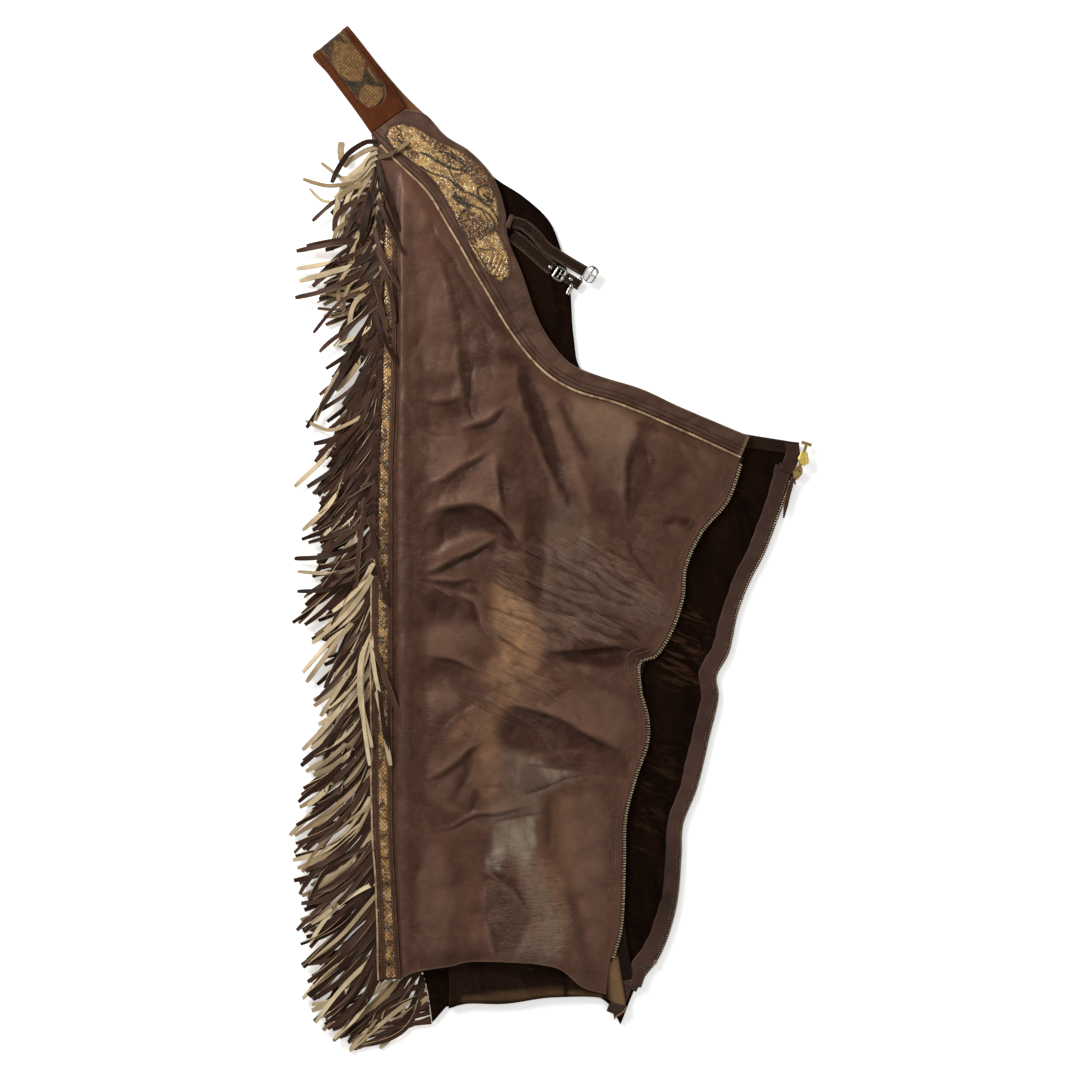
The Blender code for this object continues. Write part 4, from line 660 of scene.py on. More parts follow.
def patched(plan, rows, name):
    """How much of a paint lies on each plan point: the largest of its outlines, each soft at its rim."""
    flat = plan.reshape(-1, 2)
    much = np.zeros(len(flat))
    for kind, share, soft, points in rows:
        if kind == name:
            ring, soft = rounded_line(charted(points), samples=3, closed=True), soft * PIXEL
            near = near_line(flat, ring, soft)
            inside = outline_inside(flat[near], ring) / soft * 0.6 + 0.5
            much[near] = np.maximum(much[near], share * soft_step(inside))
    return much.reshape(plan.shape[:2])


def solid(name, points, faces, finish, nodes=(), body="chaps", smooth=None, paints=None):
    """A mesh object of points in mm; faces are one array or a list of arrays of polygons. Those before
    the smooth count are smooth; paints are values at the points. It rides on the body and stands for the
    nodes."""
    mesh = bpy.data.meshes.new(name)
    mesh.vertices.add(len(points))
    mesh.vertices.foreach_set("co", (np.asarray(points) * MM).astype(np.float32).ravel())
    parts = faces if isinstance(faces, list) else [np.asarray(faces)]
    sizes = np.concatenate([np.full(len(part), part.shape[1]) for part in parts])
    corners = np.concatenate([part.ravel() for part in parts])
    mesh.loops.add(len(corners))
    mesh.loops.foreach_set("vertex_index", corners.astype(np.int32))
    mesh.polygons.add(len(sizes))
    mesh.polygons.foreach_set("loop_start", (np.cumsum(sizes) - sizes).astype(np.int32))
    shine = np.ones(len(sizes), dtype=bool)
    shine[len(sizes) if smooth is None else smooth:] = False
    mesh.polygons.foreach_set("use_smooth", shine)
    mesh.update(calc_edges=True)
    for key, values in (paints or {}).items():
        layer = mesh.attributes.new(key, "FLOAT", "POINT")
        layer.data.foreach_set("value", np.asarray(values, dtype=np.float32))
    thing = bpy.data.objects.new(name, mesh)
    bpy.context.scene.collection.objects.link(thing)
    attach(thing, body)
    if nodes:
        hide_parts(*nodes)
    mesh.materials.append(finish)
    return thing


def shell(name, top, bottom, finish, slot, nodes=(), coarse=1, **paints):
    """A closed skin between two grids of points in mm; paints are values for the grid's points, on both
    faces or as a pair for the top and the bottom. The bottom may be coarser: only every so many rows and
    columns are faced there, with the rim's points kept. It is smooth but for its rim."""
    rows, columns = top.shape[:2]
    index = np.arange(rows * columns).reshape(rows, columns)
    a, b, c, d = index[:-1, :-1], index[:-1, 1:], index[1:, 1:], index[1:, :-1]
    faces = [np.stack([a, b, c, d], axis=-1).reshape(-1, 4)]
    high, wide = (np.unique(np.append(np.arange(0, size, coarse), size - 1)) for size in (rows, columns))
    sparse = index[np.ix_(high, wide)]
    under = np.stack([sparse[:-1, :-1], sparse[1:, :-1], sparse[1:, 1:], sparse[:-1, 1:]], axis=-1)
    if coarse > 1:
        faces.append(under[1:-1, 1:-1].reshape(-1, 4) + rows * columns)
        for i in range(len(high) - 1):
            for j in range(len(wide) - 1) if i in (0, len(high) - 2) else (0, len(wide) - 2):
                h, w = np.arange(high[i], high[i + 1] + 1), np.arange(wide[j], wide[j + 1] + 1)
                left = index[h if j == 0 else h[[0, -1]], w[0]]
                right = index[h if j == len(wide) - 2 else h[[0, -1]], w[-1]]
                low = index[h[0], w if i == 0 else w[[0, -1]]]
                upper = index[h[-1], w if i == len(high) - 2 else w[[0, -1]]]
                loop = np.concatenate([left[:-1], upper[:-1], right[:0:-1], low[:0:-1]])
                faces.append(loop[None] + rows * columns)
    else:
        faces.append(under.reshape(-1, 4) + rows * columns)
    smooth = sum(len(part) for part in faces)
    border = np.concatenate([index[0, :-1], index[:-1, -1], index[-1, :0:-1], index[:0:-1, 0]])
    after = np.roll(border, -1)
    faces.append(np.stack([after, border, border + rows * columns, after + rows * columns], axis=-1))
    points = np.vstack([top.reshape(-1, 3), bottom.reshape(-1, 3)])
    used = np.zeros(len(points), dtype=bool)
    for part in faces:
        used[part] = True
    renumber = np.cumsum(used) - 1
    faces = [renumber[part] for part in faces]
    points = points[used]
    ring = points[np.vstack([part for part in faces if part.shape[1] == 4])]
    swept = sum(np.einsum("ij,ij->i", ring[:, 0], np.cross(ring[:, k], ring[:, k + 1])).sum() for k in (1, 2))
    if swept < 0:
        faces = [part[:, ::-1] for part in faces]
    values = {}
    for key, value in {"grain_side": (1.0, 0.0), **paints}.items():
        pair = value if isinstance(value, tuple) else (value, value)
        values[key] = np.concatenate([np.broadcast_to(v, (rows, columns)).ravel() for v in pair])[used]
    return solid(name, points, faces, finish, nodes, smooth=smooth, paints=values)


def laid(name, plan, top, under, finish, slot, nodes=(), **rest):
    """A shell over a plan, between the heights in mm of its top and its underside."""
    high, low = (np.dstack([plan, np.broadcast_to(level, plan.shape[:2])]) for level in (top, under))
    return shell(name, high, low, finish, slot, nodes, **rest)


def front_plan(edges, columns, rows):
    """Plan of a front panel below its yoke, from its seam, strip edge, hem, zip edge and the yoke's lower
    edge: the strip's columns, then the body's; the last row is the yoke's lower edge."""
    seam, strip_edge, hem, zip_edge, yoke_low = edges
    strip, body = columns
    left, middle, right = (curve(edge, rows + 1) for edge in (seam, strip_edge, zip_edge))
    ends = (left[k] + (middle[k] - left[k]) * strip[:, None] for k in (0, -1))
    outer = coons(*ends, left, middle, strip)
    inner = coons(along(rounded_line(hem), body), along(rounded_line(yoke_low), body), middle, right, body)
    return np.concatenate([outer[:, :-1], inner], axis=1)


def yoke_rows(low, front_edge, rows):
    """Further rows of plan points from a yoke's lower edge up to the front edge."""
    high = along(rounded_line(front_edge), shares_of(low))
    return low + (high - low) * np.linspace(0, 1, rows + 1)[1:, None, None]


def upper_height(plan):
    """Underside of the upper front panel in mm: low at the outer seam and round the edges, lofted
    between, with the creases, the arch at the hem and the swelling of soft hide."""
    seam_gap, zip_gap = np.abs(gap_to(plan, UPPER_SEAM)), np.abs(gap_to(plan, UPPER_ZIP_EDGE))
    height = FRONT_HIGH - (FRONT_HIGH - TAPE_HIGH) * (1 - soft_step(seam_gap / 30.0))
    calm = soft_step(gap_to(plan, UPPER_YOKE_LOW) / 22.0) * soft_step(gap_to(plan, UPPER_STRIP_EDGE) / 6.0)
    loft = calm * soft_step(zip_gap / 45.0)
    warp = np.stack([waves(plan, 38, 3), waves(plan, 38, 4)], axis=-1) * 1.3
    folds = pressed(plan + warp, CREASES)
    across = np.clip(np.abs(plan[..., 0] + 30) / 84, 0, 1)
    up = np.clip((plan[..., 1] + 486) / 150, 0, 1)
    arch = 8.0 * np.cos(across * pi / 2) ** 2 * np.cos(up * pi / 2) ** 2
    swell = 1.2 * waves(plan, 90, 1) + 0.3 * waves(plan, 27, 2)
    swell += sum(rise * (np.abs(waves(plan, length, seed)) - 0.3)
                 for rise, length, seed in ((1.5, 75, 9), (0.8, 36, 10), (0.3, 17, 11)))
    edge = soft_step((zip_gap - 6.0) / 16.0)
    sewn_down = (0.7 * soft_step(1 - zip_gap / 10) - 0.6 * bell(zip_gap, 3.6, 0.75)
                 - 0.6 * bell(zip_gap, 8.0, 0.75))
    lift = 4.5 * loft + arch * calm + (folds + swell) * calm * (0.12 + 0.88 * edge) + sewn_down
    return height + 0.5 * (lift + np.sqrt(lift ** 2 + 0.6)) - 0.5 * np.sqrt(0.6)


def blurred(values, reach, times):
    """Values of a grid, each the mean of its neighbours within the reach, taken so many times over."""
    for _ in range(times):
        for axis in (0, 1):
            wide = np.pad(values, [(reach + 1, reach) if k == axis else (0, 0) for k in (0, 1)], mode="edge")
            total = np.cumsum(wide, axis=axis)
            size = values.shape[axis]
            far, near = (np.take(total, np.arange(size) + at, axis=axis) for at in (2 * reach + 1, 0))
            values = (far - near) / (2 * reach + 1)
    return values


def hide(name, colour, dusk, flesh, rough=0.42, wear_and_painted_light=False, grain=1.0, gloss=0.12, bare=chip(150, 112, 80)):
    """Chap leather: pebbled grain over soft mottling on the grain side, napped flesh on the other. The
    mesh says which side a point is on; when the flag is set, it also carries worn tan places and cut edges,
    painted shade in its dark places, painted light, sheen and highlights in its pale, grey, shining and
    raised places, and fine wrinkles whose lines get painted shade and whose crests get a painted highlight."""
    f = Finish(name, Specular_IOR_Level=gloss, Specular_Tint=(1, 0.84, 0.72, 1))
    tone = f.blend(f.ramp(f.noise(9, 5), 0.32, 0.68), dusk, colour)
    tone = f.blend(f.ramp(f.noise(60, 4), 0.3, 0.75, 0.0, 0.35), tone, shaded(colour, 1.5))
    shine = f.stretch(f.noise(24, 4), rough - 0.07, rough + 0.1)
    inputs = {"Vector": f.place(), "Scale": 620.0, "Randomness": 1.0}
    pores = f.node("TexVoronoi", inputs, feature="SMOOTH_F1")
    normal = f.bump(pores.outputs["Distance"], 0.0002 * grain)
    normal = f.bump(f.noise(190, 4, vector=f.place((0.6, 1.3))), 0.0004 * grain, normal)
    tone = f.blend(f.ramp(f.noise(640, 3, 0.7), 0.35, 0.6, 0.3, 0.0), tone, shaded(dusk, 0.45))
    if wear_and_painted_light:
        streak, spots = f.noise(40, 5, 0.6, f.place((2.2, 0.5), 0.1)), f.noise(26, 6, 0.65)
        # Paints from the mesh: pale is painted light, grey a painted sheen, shine a painted highlight, tan
        # the colour of worn-through grain; the raised places get a painted highlight and the dark places
        # painted shade.
        tone = f.blend(f.times(f.painted("pale"), 0.5), tone, chip(106, 78, 64))
        for paint_name, pattern, gain, cut, wear_and_sheen_tone in (
                ("tan", spots, 2.6, 0.35, bare), ("grey", streak, 2.2, 0.3, chip(114, 95, 80)),
                ("shine", streak, 3.2, 0.9, chip(142, 130, 112))):
            patchy = f.times(f.painted(paint_name), f.less(f.times(pattern, gain), cut), True)
            tone = f.blend(patchy, tone, wear_and_sheen_tone)
        tone = f.blend(f.times(f.painted("rubbed"), 0.3), tone, chip(122, 92, 74))
        tone = f.blend(f.times(f.painted("dark"), 0.92), tone, chip(44, 20, 10))
        # Fine creases: noise lines through a mask, which is a paint or a share of a broad noise. Each line is
        # darkened as painted shade and its crest lightened as a painted highlight, over a bump.
        # Columns: mask, turn, waves a metre, stretch, share, depth in metres
        for mask, turn, scale, stretch, share, depth in (
                (0.4, -0.5, 30.0, (0.7, 1.0), 0.5, 0.004),
                (0.35, 0.6, 70.0, (0.6, 1.2), 0.5, 0.002),
                ("worn", -0.42, 46.0, (0.16, 1.4), 0.55, 0.006),
                ("worn", -0.62, 80.0, (0.14, 1.3), 0.35, 0.003),
                ("worn", -0.5, 150.0, (0.2, 1.4), 0.18, 0.002),
                ("creped", 0.03, 110.0, (0.28, 1.6), 0.5, 0.005)):
            off = f.less(f.noise(scale, 3.0, 0.5, f.place(stretch, turn), 0.5), 0.5)
            if isinstance(mask, str):
                broad = f.painted(mask)
            else:
                broad = f.times(f.ramp(f.noise(14, 2), 0.42, 0.62), mask)
            amount = f.times(broad, share)
            away, crest_away = f.maths("ABSOLUTE", off), f.maths("ABSOLUTE", f.less(off, 0.05))
            crease = f.less(1.0, f.maths("DIVIDE", away, 0.022), True)
            crest = f.less(1.0, f.maths("DIVIDE", crest_away, 0.03), True)
            tone = f.blend(f.times(crease, amount), tone, chip(40, 22, 15))
            tone = f.blend(f.times(crest, f.times(amount, 0.3)), tone, chip(150, 126, 112))
            normal = f.bump(f.times(f.maths("MINIMUM", away, 0.09), amount), depth * 1.4, normal)
        tone = f.blend(f.painted("raw_edge"), tone, chip(124, 98, 76))
        shine = f.less(shine, f.times(f.painted("grey"), 0.06))
    napped = f.blend(f.ramp(f.noise(26, 5), 0.35, 0.7), flesh, shaded(flesh, 1.7))
    side, nap = f.painted("grain_side"), f.bump(f.noise(420, 5, 0.7), 0.0006)
    normal = f.node("Mix", {0: side, 4: nap, 5: normal}, data_type="VECTOR").outputs[1]
    return f.given(Base_Color=f.blend(side, napped, tone), Roughness=f.stretch(side, 0.92, shine),
                   Normal=normal)


body_shares = np.concatenate([np.linspace(0, 0.925, 180), np.linspace(0.925, 1, 31)[1:]])
upper_plan = front_plan((UPPER_SEAM, UPPER_STRIP_EDGE, UPPER_HEM, UPPER_ZIP_EDGE, UPPER_YOKE_LOW),
                        (np.linspace(0, 1, 7), body_shares), 390)
upper_plan = np.concatenate([upper_plan, yoke_rows(upper_plan[-1], UPPER_FRONT_EDGE, 6)])
under = upper_height(upper_plan)
hollow = blurred(under, 9, 2) - under
lowest = under.copy()
for axis in (0, 1):
    lowest = np.min([np.roll(lowest, step, axis) for step in range(-3, 4)], axis=0)
lowest[[0, -1]], lowest[:, [0, -1]] = under[[0, -1]], under[:, [0, -1]]
ragged = upper_plan + 1.7 * np.stack(
    [waves(upper_plan, 26, seed) + 0.2 * waves(upper_plan, 9, seed + 2) for seed in (5, 6)], axis=-1)
uneven = 1 + 0.22 * waves(upper_plan, 22, 15) + 0.15 * waves(upper_plan, 11, 16)
# The panel's paints: dark is painted shade, from the dark places, from the hollows of the relief and from the
# hairlines of the line creases; the crests of the relief get a painted highlight; pale, grey and shine are
# painted light, sheen and highlights; tan is worn-through grain and raw_edge the pale cut edge at the hem.
paints = {name: np.clip(uneven * patched(ragged, PLACES, name), 0, 1)
          for name in ("pale", "tan", "grey", "shine", "worn", "creped")}
painted_shade = uneven * (0.92 * patched(ragged, PLACES, "dark") + 0.3 * soft_step(hollow / 1.6))
paints["dark"] = np.clip(painted_shade + 0.35 * hairline_shade(upper_plan, CREASES), 0, 1)
paints["rubbed"] = soft_step(-hollow / 1.4)
paints["raw_edge"] = soft_step(1 - np.abs(gap_to(upper_plan, UPPER_HEM)) / 1.5)
chap_hide = hide("creased chap hide", chip(94, 62, 48), chip(69, 44, 33), chip(60, 40, 30), gloss=0.24,
                 wear_and_painted_light=True)
upper_panel = laid("upper_front_panel_hide", upper_plan, under + LEATHER, lowest, chap_hide, "brown_leather",
                   ("upper_front_panel",), coarse=3, **paints)

# ---------------------------------------------------------------- Upper side strip
# A band of trim leather down the outer seam with a long window, its borders stitched, and a strip
# of gold-printed python let in behind the window. A tan piping closes it against the fringe.
UPPER_STRIP = (UPPER_SEAM, UPPER_STRIP_EDGE)
STRIP_TOP_SHARE, INLAY_TOP_SHARE = 0.933, 0.905
BORDER_END, BORDER_START = 0.27, 0.76
INLAY_START, INLAY_WIDE, SCALES_TURN = 0.29, 0.45, 0.75
# Pixels down the square, at the strip, where black spots and where brown netting gather
STRIP_PIXEL = 385.0
SPOTTED = (212, 262, 296, 330, 366, 416, 464, 510, 548, 596, 640, 684, 730, 782, 838, 884, 928, 966)
NETTED = (240, 312, 348, 392, 440, 490, 530, 574, 620, 662, 706, 758, 812, 860, 904, 950)


def strip_grid(edges, columns, count, start, finish):
    """Plan points between the two edges of a side strip: shares across it by rows up a part of its length."""
    return spanned(*(curve(edge, count, start, finish) for edge in edges), columns)


def tube(name, path, radius, finish, nodes=(), sides=10):
    """A round cord along a path in mm: a ring of points square to the path at each of its points, shrunk
    at the ends."""
    path = np.asarray(path, dtype=float)
    run = np.gradient(path, axis=0)
    run /= np.linalg.norm(run, axis=1)[:, None]
    across = np.cross(run, (0, 0, 1.0))
    across /= np.linalg.norm(across, axis=1)[:, None]
    up = np.cross(across, run)
    size = np.concatenate([[0.02], np.broadcast_to(np.asarray(radius, dtype=float), len(path)), [0.02]])
    path = np.vstack([path[:1] - run[:1] * 0.01, path, path[-1:] + run[-1:] * 0.01])
    across, up = (np.vstack([v[:1], v, v[-1:]])[:, None] for v in (across, up))
    turn = (np.arange(sides) * 2 * pi / sides)[None, :, None]
    ring = path[:, None] + size[:, None, None] * (across * np.cos(turn) + up * np.sin(turn))
    index = np.arange(len(path) * sides).reshape(len(path), sides)
    after = np.roll(index, -1, axis=1)
    faces = np.stack([index[:-1], index[1:], after[1:], after[:-1]], axis=-1).reshape(-1, 4)
    k = np.arange(sides // 2 - 1)
    start, end = (np.stack([row[k], row[k + 1], row[sides - 2 - k], row[sides - 1 - k]], axis=-1)
                  for row in (index[0], index[-1]))
    return solid(name, ring.reshape(-1, 3), np.vstack([faces, start, end[:, ::-1]]), finish, nodes)


def scales(f, cell, turn):
    """Snake scales: a lattice of diamonds of the given size in mm. Gives each one's dome and its own
    chance values."""
    place = f.place((1 / cell / MM,) * 3, turn)
    flat = f.node("VectorMath", {0: place, 1: (1, 1, 0)}, operation="MULTIPLY").outputs[0]
    cells = f.node("TexVoronoi", {"Vector": flat, "Scale": 1.0, "Randomness": 0.12}, distance="CHEBYCHEV")
    return cells.outputs["Distance"], f.node("SeparateColor", {"Color": cells.outputs["Color"]}).outputs


def python_skin(name, light, brown, dark, cell, glint_share, stain, beaded):
    """Python hide under a metallic print: painted brown and dark places over gold, scale by scale, with
    metallic flecks whose near-white colour is a painted glint."""
    f = Finish(name, Specular_IOR_Level=0.35)
    dome, chance = scales(f, cell, SCALES_TURN)
    tone = f.blend(f.ramp(f.noise(70, 3), 0.35, 0.65), light, shaded(light, 0.55))
    tone = f.blend(f.times(chance["Blue"], 0.3), tone, shaded(light, 0.35))
    cloud = f.plus(f.painted("brown"), f.times(f.ramp(f.noise(110, 4), 0.42, 0.6), stain))
    speck = f.times(cloud, f.plus(f.times(chance["Red"], 1.1), 0.4), True)
    tone = f.blend(speck, tone, brown)
    black = f.times(f.painted("dark"), f.plus(f.times(chance["Green"], 0.4), 0.9), True)
    black = f.times(black, f.ramp(dome, 0.26, 0.42, 1.0, 1 - beaded))
    tone = f.blend(1.0, tone, f.ramp(dome, 0.26, 0.46, 1.0, 0.3), "MULTIPLY")
    tone = f.blend(black, tone, dark)
    # Flecks on scattered scales: more metallic, with a near-white colour that is a painted glint.
    foil_glint = f.times(f.maths("GREATER_THAN", f.noise(900, 2, 0.4), 0.63 - 0.1 * glint_share),
                   f.maths("GREATER_THAN", chance["Blue"], 1 - glint_share))
    foil_glint = f.times(foil_glint, f.less(1.0, f.maths("MAXIMUM", f.times(speck, 0.6), black)))
    tone = f.blend(foil_glint, tone, chip(255, 240, 200))
    normal = f.bump(f.noise(700, 3), 0.00015, f.bump(f.less(1.0, dome), 0.0006))
    return f.given(Base_Color=tone, Metallic=f.plus(f.times(foil_glint, 0.3), 0.25),
                   Roughness=f.plus(f.times(chance["Red"], 0.25), 0.25), Normal=normal)


def down_strip(pixels):
    """Places down the strip in mm, from pixels down the square."""
    return charted([(STRIP_PIXEL, y) for y in pixels])[:, 1]


def nearest(run, pixels):
    """Distance of each place down the strip from the nearest of the marked ones."""
    return np.min(np.abs(run[..., None] - down_strip(pixels)), axis=-1)


def cord_leather(name, colour, dusk):
    """Thin leather rolled over a cord: soft shine, paler and darker in patches of noise."""
    f = Finish(name, Roughness=0.55, Specular_IOR_Level=0.15)
    return f.given(Base_Color=f.blend(f.ramp(f.noise(120, 4), 0.35, 0.65), dusk, colour),
                   Normal=f.bump(f.noise(500, 3), 0.0003))


def on_level(line, level, lift):
    """A plan line laid on a surface whose height is given by a function of the plan, and lifted off it."""
    return np.column_stack([line, level(line[:, None])[:, 0] + lift])


across = np.array([0, 0.02, 0.06, 0.13, 0.2, 0.25, 0.28, 0.32, 0.4, 0.5, 0.6, 0.7, 0.745, 0.78, 0.84, 0.9,
                   0.95, 0.98, 1.0])
strip_plan = strip_grid(UPPER_STRIP, across, 430, 0, STRIP_TOP_SHARE)
strip_base = upper_height(strip_plan) + LEATHER
border = soft_step((BORDER_END - across) / 0.05 + 1) + soft_step((across - BORDER_START) / 0.05 + 1)
pillow = 0.25 * sum(np.sin(pi * np.clip(share, 0, 1))
                    for share in (across / BORDER_END, (1 - across) / (1 - BORDER_START)))
rim = soft_step(np.minimum(across, 1 - across) / 0.05)
strip_top = (strip_base + 0.35 + 0.75 * border * (0.45 + 0.55 * rim) + pillow
             + 0.25 * waves(strip_plan, 30, 11))
trim_leather = hide("trim leather", chip(80, 53, 39), chip(54, 34, 25), chip(90, 68, 52), rough=0.45,
                    grain=0.8)
strip = laid("side_strip_band", strip_plan, strip_top, strip_base + 0.05, trim_leather, "band_leather",
             ("side_strip",))

across = np.linspace(INLAY_START, INLAY_START + INLAY_WIDE, 12)
inlay_plan = strip_grid(UPPER_STRIP, across, 560, 0.002, INLAY_TOP_SHARE)
inlay_base = upper_height(inlay_plan) + LEATHER
domed = 0.35 * np.sin(pi * (across - INLAY_START) / INLAY_WIDE) + 0.12 * waves(inlay_plan, 9, 12)
run = inlay_plan[..., 1]
spots = 0.95 * np.exp(-nearest(run, SPOTTED) ** 2 / 26)
netting = 0.9 * np.exp(-nearest(run, NETTED) ** 2 / 110) * (0.6 + 0.4 * waves(inlay_plan, 9, 23))
middle = np.interp(run, down_strip((760, 600, 350, 250)), (0, 1, 1, 0))
duller = soft_step((middle - 0.5) * 2) * soft_step(0.5 + waves(inlay_plan * (0.2, 1), 60, 24))
strip_python = python_skin("gold python of the strip", chip(236, 182, 112), chip(92, 54, 28), chip(20, 12, 8),
                           cell=3.2, glint_share=0.42, stain=0.7, beaded=0.95)
inlay = laid("side_strip_python_skin", inlay_plan, inlay_base + 0.75 + domed, inlay_base + 0.4, strip_python,
             "gold_python", ("side_strip_python",), dark=spots, brown=np.clip(netting + 0.35 * duller, 0, 1))

seam_line = curve(UPPER_SEAM, 460, 0, STRIP_TOP_SHARE)
share = np.linspace(0, STRIP_TOP_SHARE, 460)
wobble = 0.2 * np.sin(share * 90) + 0.3 * np.sin(share * 37 + 1)
path = on_level(seam_line, upper_height, LEATHER + 0.9)
path[:, :2] -= side_of(seam_line) * (1.6 + wobble)[:, None]
tan_cord = cord_leather("tan piping leather", chip(194, 166, 130), chip(126, 99, 74))
tube("side_strip_piping_cord", path, 1.15, tan_cord, nodes=("side_strip_piping",))

# ---------------------------------------------------------------- Upper yoke
# The shaped band round the waist and the crotch, cut from trim leather with turned edges, laid over
# the top of the panel with a tan piping under its lower edge, and a python patch sewn on its hip.
YOKE_LOW = ((-209, 451),) + UPPER_YOKE_LOW
YOKE_PYTHON_TOP = (
    (-187, 457), (-168, 461), (-132, 441), (-98, 424), (-73, 396), (-62, 356), (-63, 336), (-51, 305),
    (-50, 284)
)
YOKE_PYTHON_LOW = (
    (-190, 447), (-182, 434), (-170, 425), (-138, 398), (-118, 366), (-100, 331), (-79, 294), (-66, 282),
    (-58, 277)
)
YOKE_CREASES = (
    ("fold", 5, 0.8, ((500, 318), (512, 311), (524, 306))),
    ("fold", 5, 0.8, ((508, 338), (520, 330), (530, 322))),
    ("fold", 7, 0.8, ((560, 372), (575, 374), (590, 370))),
    ("swell", 5, 0.6, ((640, 395), (655, 399), (668, 404))),
)
# Marks of the python patch. Columns: paint, half width in pixels, share, points
PYTHON_MARKS = (
    ("dark", 1.9, 1.0, ((421, 154), (429, 157), (437, 163), (444, 165), (453, 170), (461, 171))),
    ("dark", 1.4, 1.0, ((438, 153), (447, 154), (454, 159), (459, 163))),
    ("dark", 1.4, 1.0, ((451, 153), (456, 158), (461, 161))),
    ("dark", 1.6, 1.0, ((421, 168), (431, 174), (440, 177), (449, 180), (455, 186), (462, 192), (472, 195),
        (481, 202), (488, 207), (495, 214), (498, 221))),
    ("dark", 1.2, 1.0, ((451, 175), (456, 184), (461, 189), (466, 194))),
    ("dark", 1.4, 1.0, ((453, 189), (458, 198), (467, 204), (475, 208), (483, 211), (490, 217), (495, 225),
        (493, 233))),
    ("dark", 2.9, 0.9, ((454, 198), (460, 203), (469, 209), (463, 213))),
    ("dark", 1.5, 1.0, ((478, 189), (483, 187), (490, 188), (494, 195), (490, 202), (483, 201), (478, 194),
        (478, 189))),
    ("dark", 2.7, 0.8, ((484, 196), (489, 200), (492, 203))),
    ("dark", 1.1, 1.0, ((459, 220), (465, 234), (472, 245), (479, 256), (487, 270), (492, 277), (503, 277))),
    ("dark", 1.0, 0.9, ((489, 233), (495, 231), (498, 236))),
    ("dark", 1.2, 0.9, ((391, 139), (396, 142), (401, 143))),
    ("dark", 1.2, 0.9, ((389, 146), (394, 149), (398, 152))),
    ("dark", 1.1, 0.8, ((398, 123), (404, 125), (410, 128))),
    ("dark", 1.0, 0.8, ((479, 249), (486, 251), (495, 250))),
    ("brown", 13, 0.95, ((469, 223), (476, 228), (484, 232))),
    ("brown", 9, 0.9, ((466, 164), (474, 173), (483, 182))),
    ("brown", 7, 0.8, ((427, 139), (434, 144), (444, 148))),
    ("brown", 6, 0.7, ((446, 157), (452, 162))),
    ("brown", 5, 0.6, ((463, 200), (470, 206))),
    ("brown", 8, 0.4, ((484, 262), (492, 270))),
    ("brown", 8, 0.8, ((486, 176), (490, 190))),
    ("brown", 6, 0.7, ((396, 134), (404, 146), (414, 156))),
    ("brown", 6, 0.8, ((458, 216), (466, 228), (474, 240))),
    ("dark", 1.2, 1.0, ((437, 160), (441, 166), (448, 169), (452, 176))),
    ("dark", 1.2, 1.0, ((461, 163), (466, 169), (463, 175), (456, 175))),
    ("dark", 1.2, 1.0, ((396, 128), (401, 133), (398, 139), (404, 146))),
    ("dark", 1.2, 0.9, ((483, 213), (488, 222), (486, 231), (479, 233))),
    ("dark", 1.2, 0.9, ((478, 196), (484, 204), (492, 207))),
)
RIB_FROM, RIB_APART, RIB_TURN, RIBS_BELOW = (478, 246), 4.8, radians(-24), 306


def yoke_level(plan):
    """Top of the upper yoke in mm: the panel's calm edge, the trim's thickness, soft swelling and four
    creases."""
    swell = 0.35 * waves(plan, 42, 31) + pressed(plan, YOKE_CREASES)
    return upper_height(plan) + LEATHER + GAP + TRIM + swell


low_line, high_line = curve(YOKE_LOW, 420), curve(UPPER_FRONT_EDGE, 420)
lift = np.array([0, 0.012, 0.03, 0.06, 0.1, 0.16, 0.22, 0.3, 0.38, 0.46, 0.54, 0.62, 0.7, 0.78, 0.84, 0.9,
                 0.94, 0.97, 0.988, 1.0])
yoke_plan = spanned(low_line, high_line, lift)
wide = np.linalg.norm(high_line - low_line, axis=1)[:, None]
near_low, near_high = lift * wide, (1 - lift) * wide
from_edge = np.minimum(near_low, near_high)
turned_in = 0.45 * bell(from_edge, 2.6, 1.4) - (1 - soft_step(from_edge / 1.5))
seams = -0.35 * bell(near_low, 5.4, 0.9) - 0.35 * bell(near_low, 9.6, 0.9)
yoke_top = yoke_level(yoke_plan) + turned_in + seams
yoke_under = np.minimum(upper_height(yoke_plan) + LEATHER + 0.1, yoke_top - 0.25)
# Painted shade along the piping and in the two stitch grooves, with random darker patches; painted highlights
# on the rolled front edge and on the raised leather between the piping and the grooves.
yoke_shade_and_mottle = (0.75 * bell(near_low, 0.9, 1.1) + 0.4 * bell(near_low, 5.6, 1.6)
             + 0.4 * bell(near_low, 10.2, 1.2) + 0.3 * soft_step(0.5 + 1.3 * waves(yoke_plan, 26, 33)))
yoke_highlight = 0.9 * bell(near_high, 1.6, 1.1) + 0.6 * bell(near_low, 8.0, 1.1) + 0.5 * bell(near_low, 3.0, 0.8)
yoke_end = 0.85 * soft_step((np.linspace(0, 1, 420)[:, None] - 0.9935) / 0.003)
yoke_leather = hide("yoke leather", chip(98, 72, 58), chip(66, 45, 35), chip(90, 68, 52), wear_and_painted_light=True,
                    grain=0.9, gloss=0.16)
yoke = laid("upper_yoke_band", yoke_plan, yoke_top, yoke_under, yoke_leather, "band_leather", ("upper_yoke",),
            dark=np.clip(yoke_shade_and_mottle, 0, 1), rubbed=np.clip(yoke_highlight, 0, 1), raw_edge=yoke_end)

edge = curve(YOKE_LOW, 520, 0.03, 1)
beyond = edge + side_of(edge) * (1.3 + 0.12 * np.sin(np.linspace(0.03, 1, 520) * 60))[:, None]
tube("yoke_piping_cord", on_level(beyond, upper_height, LEATHER + 1.25), 1.4, tan_cord,
     nodes=("yoke_piping",))

